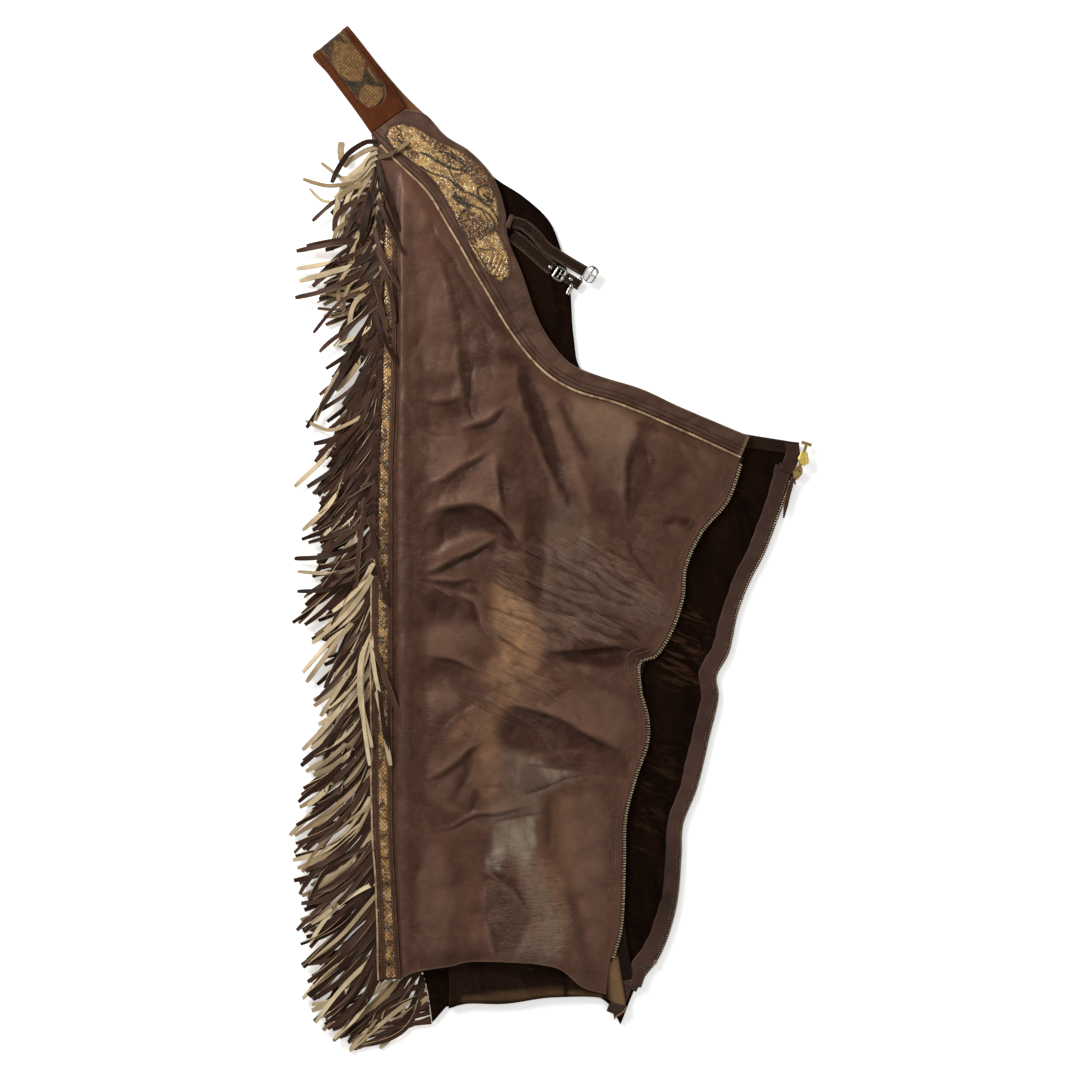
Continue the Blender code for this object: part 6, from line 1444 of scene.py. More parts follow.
# Thongs that stand out of the rest. Columns: pale share at the root and the tip, width, heights at
# root, middle and tip in mm, points
STRAY_THONGS = (
    (0.0, 0.0, 6.0, 12, 18, 12, ((378, 143), (368, 143), (358, 149), (349, 157), (342, 166), (337, 174),
        (332, 184))),
    (1.0, 1.0, 6.0, 10, 15, 11, ((378, 147), (368, 151), (359, 157), (350, 162), (344, 168))),
    (1.0, 1.0, 4.0, 12, 15, 12, ((377, 153), (370, 157), (365, 164), (362, 172), (357, 178), (350, 180),
        (343, 178))),
    (1.0, 1.0, 3.4, 12, 16, 12, ((377, 159), (371, 163), (367, 170), (361, 177), (354, 182), (346, 183),
        (340, 180))),
    (1.0, 1.0, 3.2, 12, 14, 12, ((376, 165), (371, 169), (366, 176), (358, 182), (348, 186), (340, 186))),
    (1.0, 1.0, 4.5, 12, 16, 9, ((374, 174), (362, 180), (352, 185), (340, 187.5), (328, 187.5), (315, 184),
        (303, 179.5))),
    (1.0, 1.0, 8.0, 10, 12, 11, ((343.5, 163), (341.5, 158), (341, 150), (342, 143))),
    (1.0, 1.0, 3.6, 8, 11, 8, ((362, 187), (350, 183), (339, 177), (330, 170), (321, 163))),
    (1.0, 1.0, 3.0, 8, 11, 7, ((356, 203), (343, 204), (332, 203), (322, 201), (315, 195), (309, 188))),
    (0.0, 0.0, 4.5, 9, 12, 7, ((356, 190), (344, 197), (336, 202), (325, 210), (312, 221))),
    (1.0, 1.0, 6.0, 12, 16, 9, ((374, 185), (362, 187), (352, 190), (344, 195), (338, 203), (337, 213))),
    (1.0, 1.0, 3.0, 11, 14, 9, ((368, 193), (357, 197), (350, 202), (342, 206))),
    (0.0, 0.0, 6.0, 12, 16, 9, ((368, 196), (356, 203), (345, 210), (337, 218), (334, 232))),
    (1.0, 1.0, 4.5, 10, 13, 8, ((352, 220), (345, 225), (337, 231), (333, 242))),
    (0.0, 0.0, 5.5, 11, 14, 9, ((366, 205), (357, 215), (350, 226), (344, 238), (333, 244))),
    (0.0, 0.0, 5.5, 10, 13, 9, ((368, 215), (358, 226), (348, 233), (340, 240))),
    (1.0, 1.0, 6.0, 11, 14, 9, ((375, 150), (363, 167), (347, 182), (338, 204), (334, 230))),
    (1.0, 1.0, 5.5, 11, 14, 9, ((376, 155), (367, 174), (353, 190), (344, 214), (340, 240))),
    (1.0, 1.0, 5.5, 10, 13, 9, ((376, 160), (367, 181), (357, 199), (350, 222))),
    (1.0, 1.0, 5.5, 10, 13, 8, ((375, 165), (362, 179), (346, 189), (335, 199))),
    (0.0, 0.0, 6.0, 11, 14, 9, ((376, 170), (371, 194), (364, 219), (356, 244))),
    (0.0, 0.0, 6.0, 10, 13, 8, ((375, 178), (366, 203), (357, 226), (349, 246))),
    (0.0, 0.0, 5.5, 10, 13, 8, ((373, 174), (358, 190), (343, 204), (331, 214))),
    (0.0, 0.0, 5.5, 11, 14, 9, ((377, 166), (374, 190), (370, 216), (362, 245))),
    (0.0, 0.0, 5.5, 9, 12, 8, ((374, 186), (363, 193), (352, 201), (343, 213))),
    (1.0, 1.0, 5.0, 8, 10, 7, ((374, 194), (358, 206), (345, 221), (337, 243))),
    (0.0, 0.0, 5.5, 8, 10, 7, ((375, 200), (360, 217), (344, 232), (331, 250))),
    (1.0, 1.0, 5.0, 8, 10, 7, ((375, 206), (362, 226), (352, 243), (346, 262))),
    (0.0, 0.0, 5.5, 9, 12, 7, ((374, 192), (362, 205), (351, 217), (341, 231))),
    (0.0, 0.0, 5.5, 10, 12, 7, ((375, 197), (364, 212), (355, 228), (348, 246))),
    (1.0, 1.0, 5.0, 8, 10, 7, ((374, 200), (362, 211), (352, 222), (342, 236))),
    (0.0, 0.0, 5.5, 9, 12, 7, ((375, 204), (367, 220), (360, 238), (355, 256))),
    (1.0, 1.0, 4.5, 8, 11, 7, ((375, 210), (368, 226), (362, 242), (357, 262))),
    (0.0, 0.0, 5.5, 9, 11, 7, ((374, 214), (360, 226), (348, 238), (336, 247))),
    (0.0, 0.0, 6.0, 8, 10, 6, ((373, 222), (357, 234), (343, 243), (325, 250))),
    (0.0, 0.0, 6.5, 13, 17, 13, ((372, 187), (370, 203), (366, 223), (361, 246))),
    (0.0, 0.0, 5.0, 10, 13, 7, ((366, 238), (345, 241), (325, 243), (306, 246))),
    (1.0, 1.0, 4.0, 9, 12, 8, ((368, 262), (352, 268), (342, 280), (338, 296), (341, 310))),
    (1.0, 1.0, 4.0, 9, 12, 8, ((366, 275), (352, 284), (345, 298), (343, 316))),
    (1.0, 1.0, 5.5, 9, 13, 8, ((368, 290), (358, 300), (352, 312), (349, 328))),
    (0.0, 0.0, 5.5, 10, 15, 7, ((371, 238), (350, 243), (325, 247), (296, 251))),
    (0.0, 0.3, 5.5, 10, 14, 7, ((371, 250), (350, 258), (325, 265), (296, 269))),
    (1.0, 1.0, 6.0, 9, 13, 7, ((371, 262), (350, 268), (325, 275), (299, 281))),
    (0.0, 0.0, 5.5, 10, 15, 8, ((371, 268), (350, 280), (325, 292), (295, 298))),
    (0.0, 0.0, 5.0, 12, 17, 14, ((377, 160), (382, 182), (390, 207), (400, 232))),
    (0.0, 0.0, 5.0, 12, 17, 14, ((375, 193), (384, 215), (393, 235), (405, 256))),
    (0.0, 0.0, 5.0, 12, 18, 14, ((373, 224), (380, 250), (390, 272), (400, 291))),
    (0.0, 0.0, 5.0, 12, 17, 13, ((373, 240), (384, 268), (391, 296), (395, 322))),
    (0.0, 0.0, 5.0, 12, 17, 13, ((374, 308), (380, 330), (388, 348), (398, 366))),
    (0.0, 0.0, 4.5, 12, 16, 13, ((374, 280), (381, 305), (385, 328), (387, 350))),
    (0.3, 0.0, 5.0, 12, 15, 13, ((379, 158), (391, 156), (401, 150), (409, 143))),
    (0.0, 0.0, 5.5, 10, 15, 6, ((368, 322), (354, 345), (343, 365), (331, 385))),
    (0.0, 0.0, 5.5, 10, 15, 6, ((368, 330), (350, 362), (330, 395), (306, 428))),
    (0.0, 0.0, 4.0, 11, 15, 7, ((368, 290), (350, 297), (332, 312), (313, 333))),
    (1.0, 1.0, 4.0, 9, 12, 6, ((368, 412), (350, 424), (330, 431), (305, 421))),
    (0.0, 0.2, 5.5, 10, 15, 6, ((368, 415), (345, 438), (322, 462), (294, 487))),
    (0.0, 0.0, 5.5, 10, 14, 6, ((368, 425), (350, 448), (335, 470), (318, 496))),
    (0.0, 1.0, 5.5, 10, 15, 6, ((368, 440), (350, 472), (330, 505), (302, 531))),
    (0.0, 0.0, 5.5, 11, 16, 13, ((369, 508), (374, 540), (380, 572), (388, 606))),
    (0.0, 0.0, 5.5, 11, 15, 8, ((366, 498), (362, 530), (358, 562), (354, 600))),
    (0.0, 0.0, 5.5, 10, 14, 6, ((367, 540), (345, 552), (320, 558), (294, 559))),
    (0.2, 0.0, 4.0, 11, 16, 7, ((366, 562), (345, 572), (322, 574), (297, 572))),
    (0.0, 0.0, 4.5, 10, 14, 7, ((368, 575), (345, 586), (322, 591), (297, 592))),
    (1.0, 1.0, 6.0, 11, 16, 12, ((369, 632), (361, 665), (362, 705), (372, 748))),
    (1.0, 1.0, 4.5, 12, 16, 13, ((371, 638), (374, 665), (379, 690), (385, 717))),
    (1.0, 1.0, 4.5, 12, 15, 12, ((365, 640), (362, 680), (364, 720), (370, 766))),
    (1.0, 1.0, 5.0, 12, 14, 13, ((376, 690), (382, 715), (386, 740), (391, 766))),
    (1.0, 1.0, 5.5, 10, 14, 7, ((362, 612), (345, 632), (325, 658), (306, 683))),
    (1.0, 1.0, 5.5, 10, 13, 6, ((366, 650), (350, 672), (335, 695), (320, 717))),
    (1.0, 1.0, 5.5, 10, 13, 6, ((366, 680), (348, 700), (325, 728), (302, 751))),
    (0.0, 0.0, 5.5, 12, 17, 14, ((372, 640), (382, 668), (393, 698), (405, 731))),
    (0.0, 0.0, 5.0, 12, 17, 13, ((373, 655), (380, 690), (384, 725), (388, 752))),
)
LOWER_STRAYS = (
    (1.0, 1.0, 5.5, 3, 3, 1.5, ((412, 986), (402, 1003), (390, 1018), (374, 1031))),
    (1.0, 1.0, 5.0, 3, 2.5, 1.0, ((405, 1000), (400, 1020), (392, 1038), (379, 1051))),
    (0.0, 0.0, 5.5, 3, 3, 1.5, ((400, 990), (384, 1008), (366, 1022), (345, 1030))),
    (1.0, 1.0, 5.5, 3, 3, 1.5, ((392, 984), (372, 1006), (350, 1022), (326, 1030))),
    (0.0, 0.3, 5.5, 3, 3, 1.5, ((396, 984), (380, 1012), (360, 1030), (338, 1040))),
)
SECTIONS = 20
LONGEST, SHORTEST = 122, 78
THONG_THICK = 1.2
ROOT_PIXEL = 370.0


def thongs(name, lines, heights, widths, turns, pale, tones, node_name):
    """Flat thongs as one mesh: round each centre line a ring of four corners, turned about it by the
    given angles; the faces carry how pale they are: grain on one side, flesh on the other, the cut edges
    between."""
    centre = np.dstack([lines, heights])
    run = np.gradient(centre, axis=1)
    run /= np.linalg.norm(run, axis=2)[..., None]
    side = np.cross(run, (0, 0, 1.0))
    side /= np.linalg.norm(side, axis=2)[..., None] + 1e-9
    up = np.cross(side, run)
    spread = np.cos(turns)[..., None] * side + np.sin(turns)[..., None] * up
    thick = -np.sin(turns)[..., None] * side + np.cos(turns)[..., None] * up
    half = (widths / 2)[..., None]
    corners = np.stack([centre + spread * a * half + thick * (b * THONG_THICK / 2)
                        for a, b in ((-1, -1), (1, -1), (1, 1), (-1, 1))], axis=2)
    corners[..., 2] = np.maximum(corners[..., 2], 0.15)
    count, steps = lines.shape[:2]
    index = np.arange(count * steps * 4).reshape(count, steps, 4)
    after = np.roll(index, -1, axis=2)
    walls = np.stack([index[:, :-1], after[:, :-1], after[:, 1:], index[:, 1:]], axis=-1)
    ends = np.stack([index[:, 0, ::-1], index[:, -1]], axis=1)
    thing = solid(name, corners.reshape(-1, 3), np.vstack([walls.reshape(-1, 4), ends.reshape(-1, 4)]),
                  fringe_leather, (node_name,), smooth=walls.size // 4)
    mesh = thing.data
    pair = np.empty(len(mesh.edges) * 2, dtype=np.int32)
    mesh.edges.foreach_get("vertices", pair)
    sharp = np.abs(pair[::2] - pair[1::2]) == 4
    mesh.attributes.new("sharp_edge", "BOOLEAN", "EDGE").data.foreach_set("value", sharp)
    now = pale[:, :-1, None]
    share = np.array([1, 0.75, 0, 0.75]) * (1 - now) + np.array([0, 0.75, 1, 0.75]) * now
    for key, on_walls, on_ends in (("pale", share.ravel(), np.full(count * 2, 0.75)),
                                   ("tone", np.repeat(tones, (steps - 1) * 4), np.repeat(tones, 2))):
        layer = mesh.attributes.new(key, "FLOAT", "FACE")
        layer.data.foreach_set("value", np.concatenate([on_walls, on_ends]).astype(np.float32))
    return thing


def fringe(name, seam, strays, apart, low, high, node_name, seed, reach=1.0):
    """A fringe: roots evenly along its seam, sweeps read from the lay at each root, and the stray thongs
    last. Each centre line is its sweep, bowed to a side by a half sine, with a small wave that grows
    towards the tip."""
    lot = np.random.default_rng(seed)
    roots, _ = evenly(curve(seam, 600), apart, 0.0, 0.935)
    over = soft_step((roots[:, 1] + 95) / 60) if high > FRONT_HIGH else np.zeros(len(roots))
    count = len(roots)

    def chance(low, high):
        return lot.uniform(low, high, count)[:, None]

    def spread(width):
        return lot.normal(0, width, count)[:, None]

    roots = roots + np.hstack([5.5 * over[:, None] * chance(0.3, 1) - 1.0, chance(-1.2, 1.2)])
    lay = np.array(FRINGE_LAY)
    marks = charted(np.column_stack([np.full(len(lay), ROOT_PIXEL), lay[:, 0]]))[:, 1]
    sweep_x, sweep_y, scatter, share, twist = (
        np.interp(roots[:, 1], marks[::-1], lay[::-1, k]) for k in range(1, 6))
    tufts = np.arange(0, count + 5, 5)
    gust = np.interp(np.arange(count), tufts, lot.normal(0, 0.5, len(tufts)))
    ahead = sweep_x + scatter * (0.6 * spread(1)[:, 0] + gust)
    down = sweep_y + scatter * (0.6 * spread(1)[:, 0] - gust)
    sweep = np.column_stack([ahead, -down]) * PIXEL * reach
    long = np.linalg.norm(sweep, axis=1)
    sweep *= (np.clip(long, SHORTEST, LONGEST) / long)[:, None]
    lowest_tip = -574 + chance(-10, 8)[:, 0] - roots[:, 1]
    deep = sweep[:, 1] < lowest_tip
    sweep[deep, 1] = lowest_tip[deep]
    sweep[deep, 0] = -np.clip(long[deep], 50, 84)
    side = np.column_stack([sweep[:, 1], -sweep[:, 0]]) / np.linalg.norm(sweep, axis=1)[:, None]
    bow = spread(7) - 5
    t = np.linspace(0, 1, SECTIONS)[None]
    wave = spread(1.6) * np.sin(t * 2 * pi * chance(0.7, 1.3) + chance(0, 6)) * t
    bent = (bow * np.sin(pi * t) + wave)[..., None]
    lines = roots[:, None] + sweep[:, None] * t[..., None] + side[:, None] * bent
    lines[..., 0] = np.maximum(lines[..., 0], -306 + chance(0, 8))
    rise = chance(0, high - low - 2)
    heights = low + 1.5 + rise * (0.35 + 0.65 * t) * (1 - 0.55 * t ** 3)
    heights = heights + 2.0 * np.sin(pi * t) * chance(0.2, 1)
    heights += np.maximum(11.4 - heights, 0) * over[:, None] * (1 - soft_step((t - 0.05) / 0.3))
    widths = chance(4.6, 6.0) * (1 - 0.25 * soft_step((t - 0.9) / 0.1))
    pale_now = (lot.random(count) < share).astype(float)[:, None] + 0 * t
    turns = spread(0.5) * twist[:, None] * t + spread(0.35) * np.sin(2 * pi * t)
    half_turned = (lot.random(count) < 0.14)[:, None]
    turns = turns + half_turned * soft_step((t - chance(0.35, 0.7)) / 0.18 + 0.5) * pi
    for pale_root, pale_tip, wide, root_z, middle_z, tip_z, points in strays:
        half_turn = pi * soft_step((t - 0.35) / 0.3) * (pale_root != pale_tip)
        level = np.interp(t, (0, 0.15, 0.5, 1), (root_z - 3, root_z, middle_z, tip_z))
        lines = np.concatenate([lines, curve(charted(points), SECTIONS, samples=8)[None]])
        heights = np.concatenate([heights, level])
        widths = np.concatenate([widths, wide * (1 - 0.3 * soft_step((t - 0.92) / 0.08))])
        pale_now = np.concatenate([pale_now, pale_root + 0 * t])
        turns = np.concatenate([turns, 0.3 * np.sin(2 * pi * t + wide * 7) + half_turn])
    thing = thongs(name, lines, heights, widths, turns, pale_now, lot.random(len(lines)), node_name)


f = Finish("fringe hide", Specular_IOR_Level=0.08)
shade, tone = f.noise(45, 4), f.painted("tone")
brown = f.blend(tone, chip(32, 19, 12), chip(80, 54, 42))
brown = f.blend(f.ramp(shade, 0.35, 0.7, 0.0, 0.4), brown, chip(58, 39, 31))
flesh = f.blend(tone, chip(146, 122, 90), chip(216, 196, 160))
flesh = f.blend(f.ramp(shade, 0.3, 0.6, 0.5, 0.0), flesh, chip(124, 98, 70))
pale = f.painted("pale")
fringe_leather = f.given(Base_Color=f.blend(pale, brown, flesh), Roughness=f.stretch(pale, 0.5, 0.9),
                         Normal=f.bump(f.noise(420, 4), 0.0005))
fringe("upper_fringe_thongs", UPPER_SEAM, STRAY_THONGS, 3.1, 4.2, 13.0, "upper_fringe",
       5)
fringe("lower_fringe_thongs", LOWER_SEAM, LOWER_STRAYS, 5.2, 0.3, 4.0, "lower_fringe",
       9, 1.12)

# ---------------------------------------------------------------- Back belt
# The belt of the waist at the back, red-brown harness leather folded flat at the centre, with turned
# edges, a sunk line along each, and a round-ended window over a strip of snakeskin.
BELT_THICK, BELT_HALF = 2.6, 22.0
# Plan points of the belt's left and right edge in pairs: above the fold, then under it
BELT_UPPER = (
    (-209.2, 451.6, -169.2, 480.8), (-226, 476, -184, 507), (-243, 499, -198, 528), (-260, 522, -216, 552),
    (-276, 543, -236, 578)
)
BELT_LOWER = (
    (-276, 541, -235, 576), (-256, 520, -212, 548), (-236, 497, -190, 521), (-212, 465, -168, 496),
    (-188.6, 434.8, -147.2, 475.8)
)
WINDOW_SHARE, WINDOW_FROM, WINDOW_ROUND = 0.66, 21.0, 17.0
DIAMONDS = (
    ((334, 41), (353.6, 46), (366, 62), (362, 82), (350, 82), (339, 75.5), (331, 62)),
    ((364.5, 84.5), (383, 88), (383, 97), (376, 107.5), (367, 109), (359, 100), (359, 93)),
)
SIDE_MARKS = (
    ("light", 1.7, 1.0, ((366.5, 67), (371, 74), (376, 81))),
    ("light", 1.6, 1.0, ((348, 88), (353, 95), (357, 100))),
    ("light", 2.2, 0.9, ((340, 34), (345, 39), (350, 43))),
    ("light", 1.8, 0.7, ((321, 52), (326, 56))),
)

high, low = FRONT_HIGH + BELT_THICK / 2 - GAP, TRIM_LOW + BELT_THICK / 2
upper_ends, lower_ends = (np.array(rows, dtype=float).reshape(-1, 2, 2) for rows in (BELT_UPPER, BELT_LOWER))
back = upper_ends[-1] - upper_ends[-2]
back /= np.linalg.norm(back, axis=1)[:, None]
turn = pi * np.linspace(0.125, 0.875, 7)
bulge = back * ((high - low) / 2 * np.sin(turn))[:, None, None]
bend_ends = upper_ends[-1] + (lower_ends[0] - upper_ends[-1]) * (turn / pi)[:, None, None] + bulge
ends = np.concatenate([upper_ends, bend_ends, lower_ends])
level = np.concatenate([np.full(5, high), low + (high - low) / 2 * (1 + np.cos(turn)), np.full(5, low)])
left_line, right_line = (rounded_line(np.column_stack([ends[:, k], level]), samples=16) for k in (0, 1))
centre, half = (left_line + right_line) / 2, (right_line - left_line) / 2
outward = np.cross(half, np.gradient(centre, axis=0))
outward /= np.linalg.norm(outward, axis=1)[:, None]
reach = np.concatenate([[0.0], np.cumsum(np.linalg.norm(np.diff(centre, axis=0), axis=1))])
mirrored = np.minimum(reach, reach[-1] - reach)
chart_left, chart_right = (np.stack([np.interp(mirrored, reach, line[:, k]) for k in (0, 1)], axis=1)
                           for line in (left_line, right_line))


def belt_grid(columns, lift):
    """Points of the belt at shares across it, lifted out of its middle surface in mm."""
    return centre[:, None] + half[:, None] * columns[None, :, None] + outward[:, None] * lift[..., None]


def window_depth(columns):
    """How far inside the window a point of the belt is, in mm; the window's ends are round."""
    width = np.linalg.norm(half, axis=1)[:, None]
    radius = width * WINDOW_SHARE
    return radius - np.hypot(columns * width, np.clip(radius - mirrored[:, None] + WINDOW_FROM, 0, None))


columns = np.sin(np.linspace(-pi / 2, pi / 2, 44))
from_edge = (1 - np.abs(columns)) * BELT_HALF
body_lift = BELT_THICK / 2 * (0.25 + 0.75 * soft_step(from_edge / 1.3))[None]
inside = window_depth(columns)
border = (0.22 * bell(inside, -1.6, 1.0) - 0.75 * soft_step(inside / 0.7 + 0.5)
          - 0.22 * bell(from_edge, 2.8, 0.6))
swell = 0.15 * waves(spanned(chart_left, chart_right, (columns + 1) / 2), 24, 91)
belt_leather = hide("red-brown belt leather", chip(92, 44, 16), chip(46, 20, 8), chip(96, 62, 40), rough=0.36,
                    grain=0.6, gloss=0.1)
belt = shell("back_belt_band", belt_grid(columns, body_lift + border + swell), belt_grid(columns, -body_lift),
             belt_leather, "belt_leather", ("back_belt",))

rows = np.flatnonzero(mirrored > WINDOW_FROM + 0.5)
columns = np.linspace(-WINDOW_SHARE, WINDOW_SHARE, 48)
from_end = np.clip((mirrored[rows] - WINDOW_FROM - 0.2) / WINDOW_ROUND, 0, 1)
squeezed = (columns * np.sqrt(np.clip(1 - (1 - from_end) ** 2, 0.003, 1))[:, None])[..., None]
skin_middle = centre[rows, None] + half[rows, None] * squeezed * 1.02
skin_plan = ((chart_left + chart_right)[rows, None] + (chart_right - chart_left)[rows, None] * squeezed) / 2
light = paint(skin_plan, SIDE_MARKS, "light")
for corners in DIAMONDS:
    light = np.maximum(light, soft_step(outline_inside(skin_plan, charted(corners)) / 1.4 + 0.2))
lift = 0.62 + 0.25 * (1 - (columns / WINDOW_SHARE) ** 2) + 0.1 * waves(skin_plan, 9, 92)
f = Finish("natural snakeskin", Roughness=0.45, Specular_IOR_Level=0.12)
dome, chance = scales(f, 3.1, 0.93)
tan_scale = f.blend(chance["Red"], chip(104, 72, 36), chip(138, 102, 56))
dark_scale = f.blend(chance["Green"], chip(34, 26, 14), chip(70, 54, 30))
tone = f.blend(f.painted("light"), dark_scale, tan_scale)
tone = f.blend(f.ramp(f.noise(60, 3), 0.4, 0.7, 0.0, 0.45), tone, chip(104, 72, 40))
tone = f.blend(1.0, tone, f.ramp(dome, 0.28, 0.47, 1.0, 0.4), "MULTIPLY")
snakeskin = f.given(Base_Color=tone, Normal=f.bump(f.less(1.0, dome), 0.0007))
skin = shell("belt_snakeskin_inlay", skin_middle + outward[rows, None] * lift[..., None],
             skin_middle + outward[rows, None] * 0.5, snakeskin, "snakeskin", ("belt_snakeskin",),
             light=light)

# ---------------------------------------------------------------- Front straps
# Two short straps of stitched trim leather close the waist in front: a long one through a keeper to
# the round buckle, a short one under it to the square buckle, with the loose end beside it.
# Columns: node, piece, width, thickness, points in mm
STRAPS = (
    ("long_front_strap", "long_strap_leather", 13.0, 2.0, (
        (-44.6, 347, 8.3), (-34, 344, 7.6), (-22, 335, 6.5), (-6, 317, 6.3), (12, 305, 6.3),
        (36.8, 290, 6.3))),
    ("short_front_strap", "short_strap_leather", 15.0, 1.8, (
        (-46.5, 333, 4.2), (-28, 318, 4.2), (-12, 303, 4.2), (0, 293, 4.2))),
    ("strap_end", "strap_end_leather", 12.0, 2.0, ((15, 284, 4.2), (22, 280, 4.2), (31, 274, 4.2))),
)
SEAM_IN = 1.9
KEEPER_POINTS = ((-46.8, 353.4, 9.2), (-46.9, 354.0, 10.6), (-47.0, 352.6, 11.9), (-49.0, 347, 12.1),
                 (-51.0, 341.4, 11.9), (-51.2, 340.0, 10.6), (-51.1, 340.6, 9.2))
KEEPER_MIDDLE, KEEPER_HALF, KEEPER_RUN = (-49, 347, 9.5), 2.6, np.array([0.94, -0.34, 0.0])
BUCKLE_TURN, TIP_TURN = radians(-33), radians(-28)
ROUND_SPOT, SQUARE_SPOT, TIP_SPOT = (43.0, 286.0), (8.0, 287.4), (19.6, 269.0)
TIP_LONG, TIP_HALF = 14.0, 2.7
UP = np.array([0, 0, 1.0])

strap_leather = hide("strap leather", chip(42, 27, 18), chip(24, 14, 9), chip(60, 44, 34), wear_and_painted_light=True,
                     grain=0.5, gloss=0.1, bare=chip(150, 126, 104))
strap_tops = []
columns = np.sin(np.linspace(-pi / 2, pi / 2, 18))
for node_name, name, wide, thick, points in STRAPS:
    line = curve(points, 60, samples=14)
    from_edge = (1 - np.abs(columns)) * wide / 2
    profile = thick * (0.45 + 0.55 * soft_step(from_edge / 0.9)) - 0.3 * bell(from_edge, SEAM_IN, 0.5)
    top = line[:, 2:] + profile + 0.35 * (1 - columns ** 2)
    piece = laid(name, widened(line, columns * wide / 2, 6.0), top, line[:, 2:], strap_leather,
                 "band_leather", (node_name,), tan=soft_step((np.abs(columns) - 0.93) / 0.05))
    seams = widened(line, (SEAM_IN - wide / 2, wide / 2 - SEAM_IN), 6.0)
    strap_tops += [np.column_stack([seams[:, k], line[:, 2] + thick + 0.1]) for k in (0, 1)]

keeper_line = rounded_line(KEEPER_POINTS, samples=8)
lifted = np.cross(np.gradient(keeper_line, axis=0), KEEPER_RUN)
faces_out = np.where((lifted * (keeper_line - KEEPER_MIDDLE)).sum(1) > 0, 1, -1)
lifted = (lifted / (np.linalg.norm(lifted, axis=1) * faces_out)[:, None])[:, None]
reach = np.array([-1.0, -0.86, -0.4, 0.0, 0.4, 0.86, 1.0]) * KEEPER_HALF
edge = keeper_line[:, None] + KEEPER_RUN * reach[:, None]
profile = np.array([0.35, 0.85, 0.95, 0.95, 0.95, 0.85, 0.35])[:, None]
keeper_leather = hide("keeper leather", chip(84, 62, 50), chip(60, 42, 34), chip(60, 44, 34), wear_and_painted_light=True,
                      grain=0.5)
shell("strap_keeper_loop", edge + lifted * profile, edge - 0.1 * lifted, keeper_leather, "band_leather",
      ("strap_keeper",), tan=np.array([0.8, 0, 0, 0, 0, 0, 0.8]))

nickel = metal("nickel plate", chip(198, 192, 180), chip(78, 72, 62), rough=0.16, worn=0.9)


def hoop(name, wide, long, corner, centre, tilt, section, nodes):
    """A closed frame: a section of outward and upward offsets in mm carried round a rectangle with
    rounded corners, then tipped about its long middle, turned flat as the buckles are and set on its
    centre."""
    angles = np.concatenate([pi / 2 * (k + np.linspace(0, 1, 9)) for k in range(4)])
    signs = np.repeat(((1, 1), (-1, 1), (-1, -1), (1, -1)), 9, axis=0)
    out = np.column_stack([np.cos(angles), np.sin(angles)])
    path = signs * (wide / 2 - corner, long / 2 - corner) + corner * out
    section = np.asarray(section, dtype=float)
    high = np.broadcast_to(section[None, :, 1:], (len(path), len(section), 1))
    ring = np.dstack([path[:, None] + out[:, None] * section[None, :, :1], high])
    tip = np.array(((cos(tilt), 0, -sin(tilt)), (0, 1, 0), (sin(tilt), 0, cos(tilt))))
    turn = BUCKLE_TURN
    flat = np.array(((cos(turn), sin(turn), 0), (-sin(turn), cos(turn), 0), (0, 0, 1)))
    points = ring.reshape(-1, 3) @ tip @ flat + centre
    index = np.arange(len(points)).reshape(len(path), len(section))
    next_row, next_spot = np.roll(index, -1, axis=0), np.roll(index, -1, axis=1)
    faces = np.stack([index, next_row, np.roll(next_row, -1, axis=1), next_spot], axis=-1).reshape(-1, 4)
    return solid(name, points, faces, nickel, nodes)


around = np.arange(12) * pi / 6
leaned = 0.9
round_one = np.column_stack([1.2 * np.cos(around) * cos(leaned) - 0.55 * np.sin(around) * sin(leaned),
                             3.2 * np.cos(around) * sin(leaned) + 0.7 * np.sin(around) * cos(leaned) + 1.2])
square_one = np.column_stack([1.5 * np.cos(around), np.sin(around) + 0.25 * np.cos(3 * around)])
hoop("round_buckle_frame", 13.0, 18.5, 5.6, (*ROUND_SPOT, 7.4), radians(16), round_one, ("round_buckle",))
hoop("square_buckle_frame", 10.5, 14.0, 2.0, (*SQUARE_SPOT, 5.8), 0.0, square_one, ("square_buckle",))
along_bar = np.array([-sin(BUCKLE_TURN), cos(BUCKLE_TURN), 0])
across_bar = np.array([cos(BUCKLE_TURN), sin(BUCKLE_TURN), 0])
share = np.linspace(0, 1, 14)[:, None]
for name, spot, reach, radius in (("round_buckle", (*ROUND_SPOT, 8.0), 8.6, 0.9),
                                  ("square_buckle", (*SQUARE_SPOT, 5.8), 6.4, 0.8)):
    tube(name + "_bar", spot + np.linspace(-reach, reach, 8)[:, None] * along_bar, radius, nickel)
    tongue = spot + across_bar * share * 7.0 + UP * (0.9 + 1.2 * np.sin(pi * share))
    tube(name + "_tongue", tongue, 0.75 - 0.25 * share[:, 0], nickel)
hook = rounded_line(((28.0, 281.6, 8.2), (31.4, 282.6, 9.6), (33.2, 280.0, 9.8), (33.6, 276.2, 8.6)),
                    samples=6)
tube("strap_end_hook", hook, 0.95, nickel)

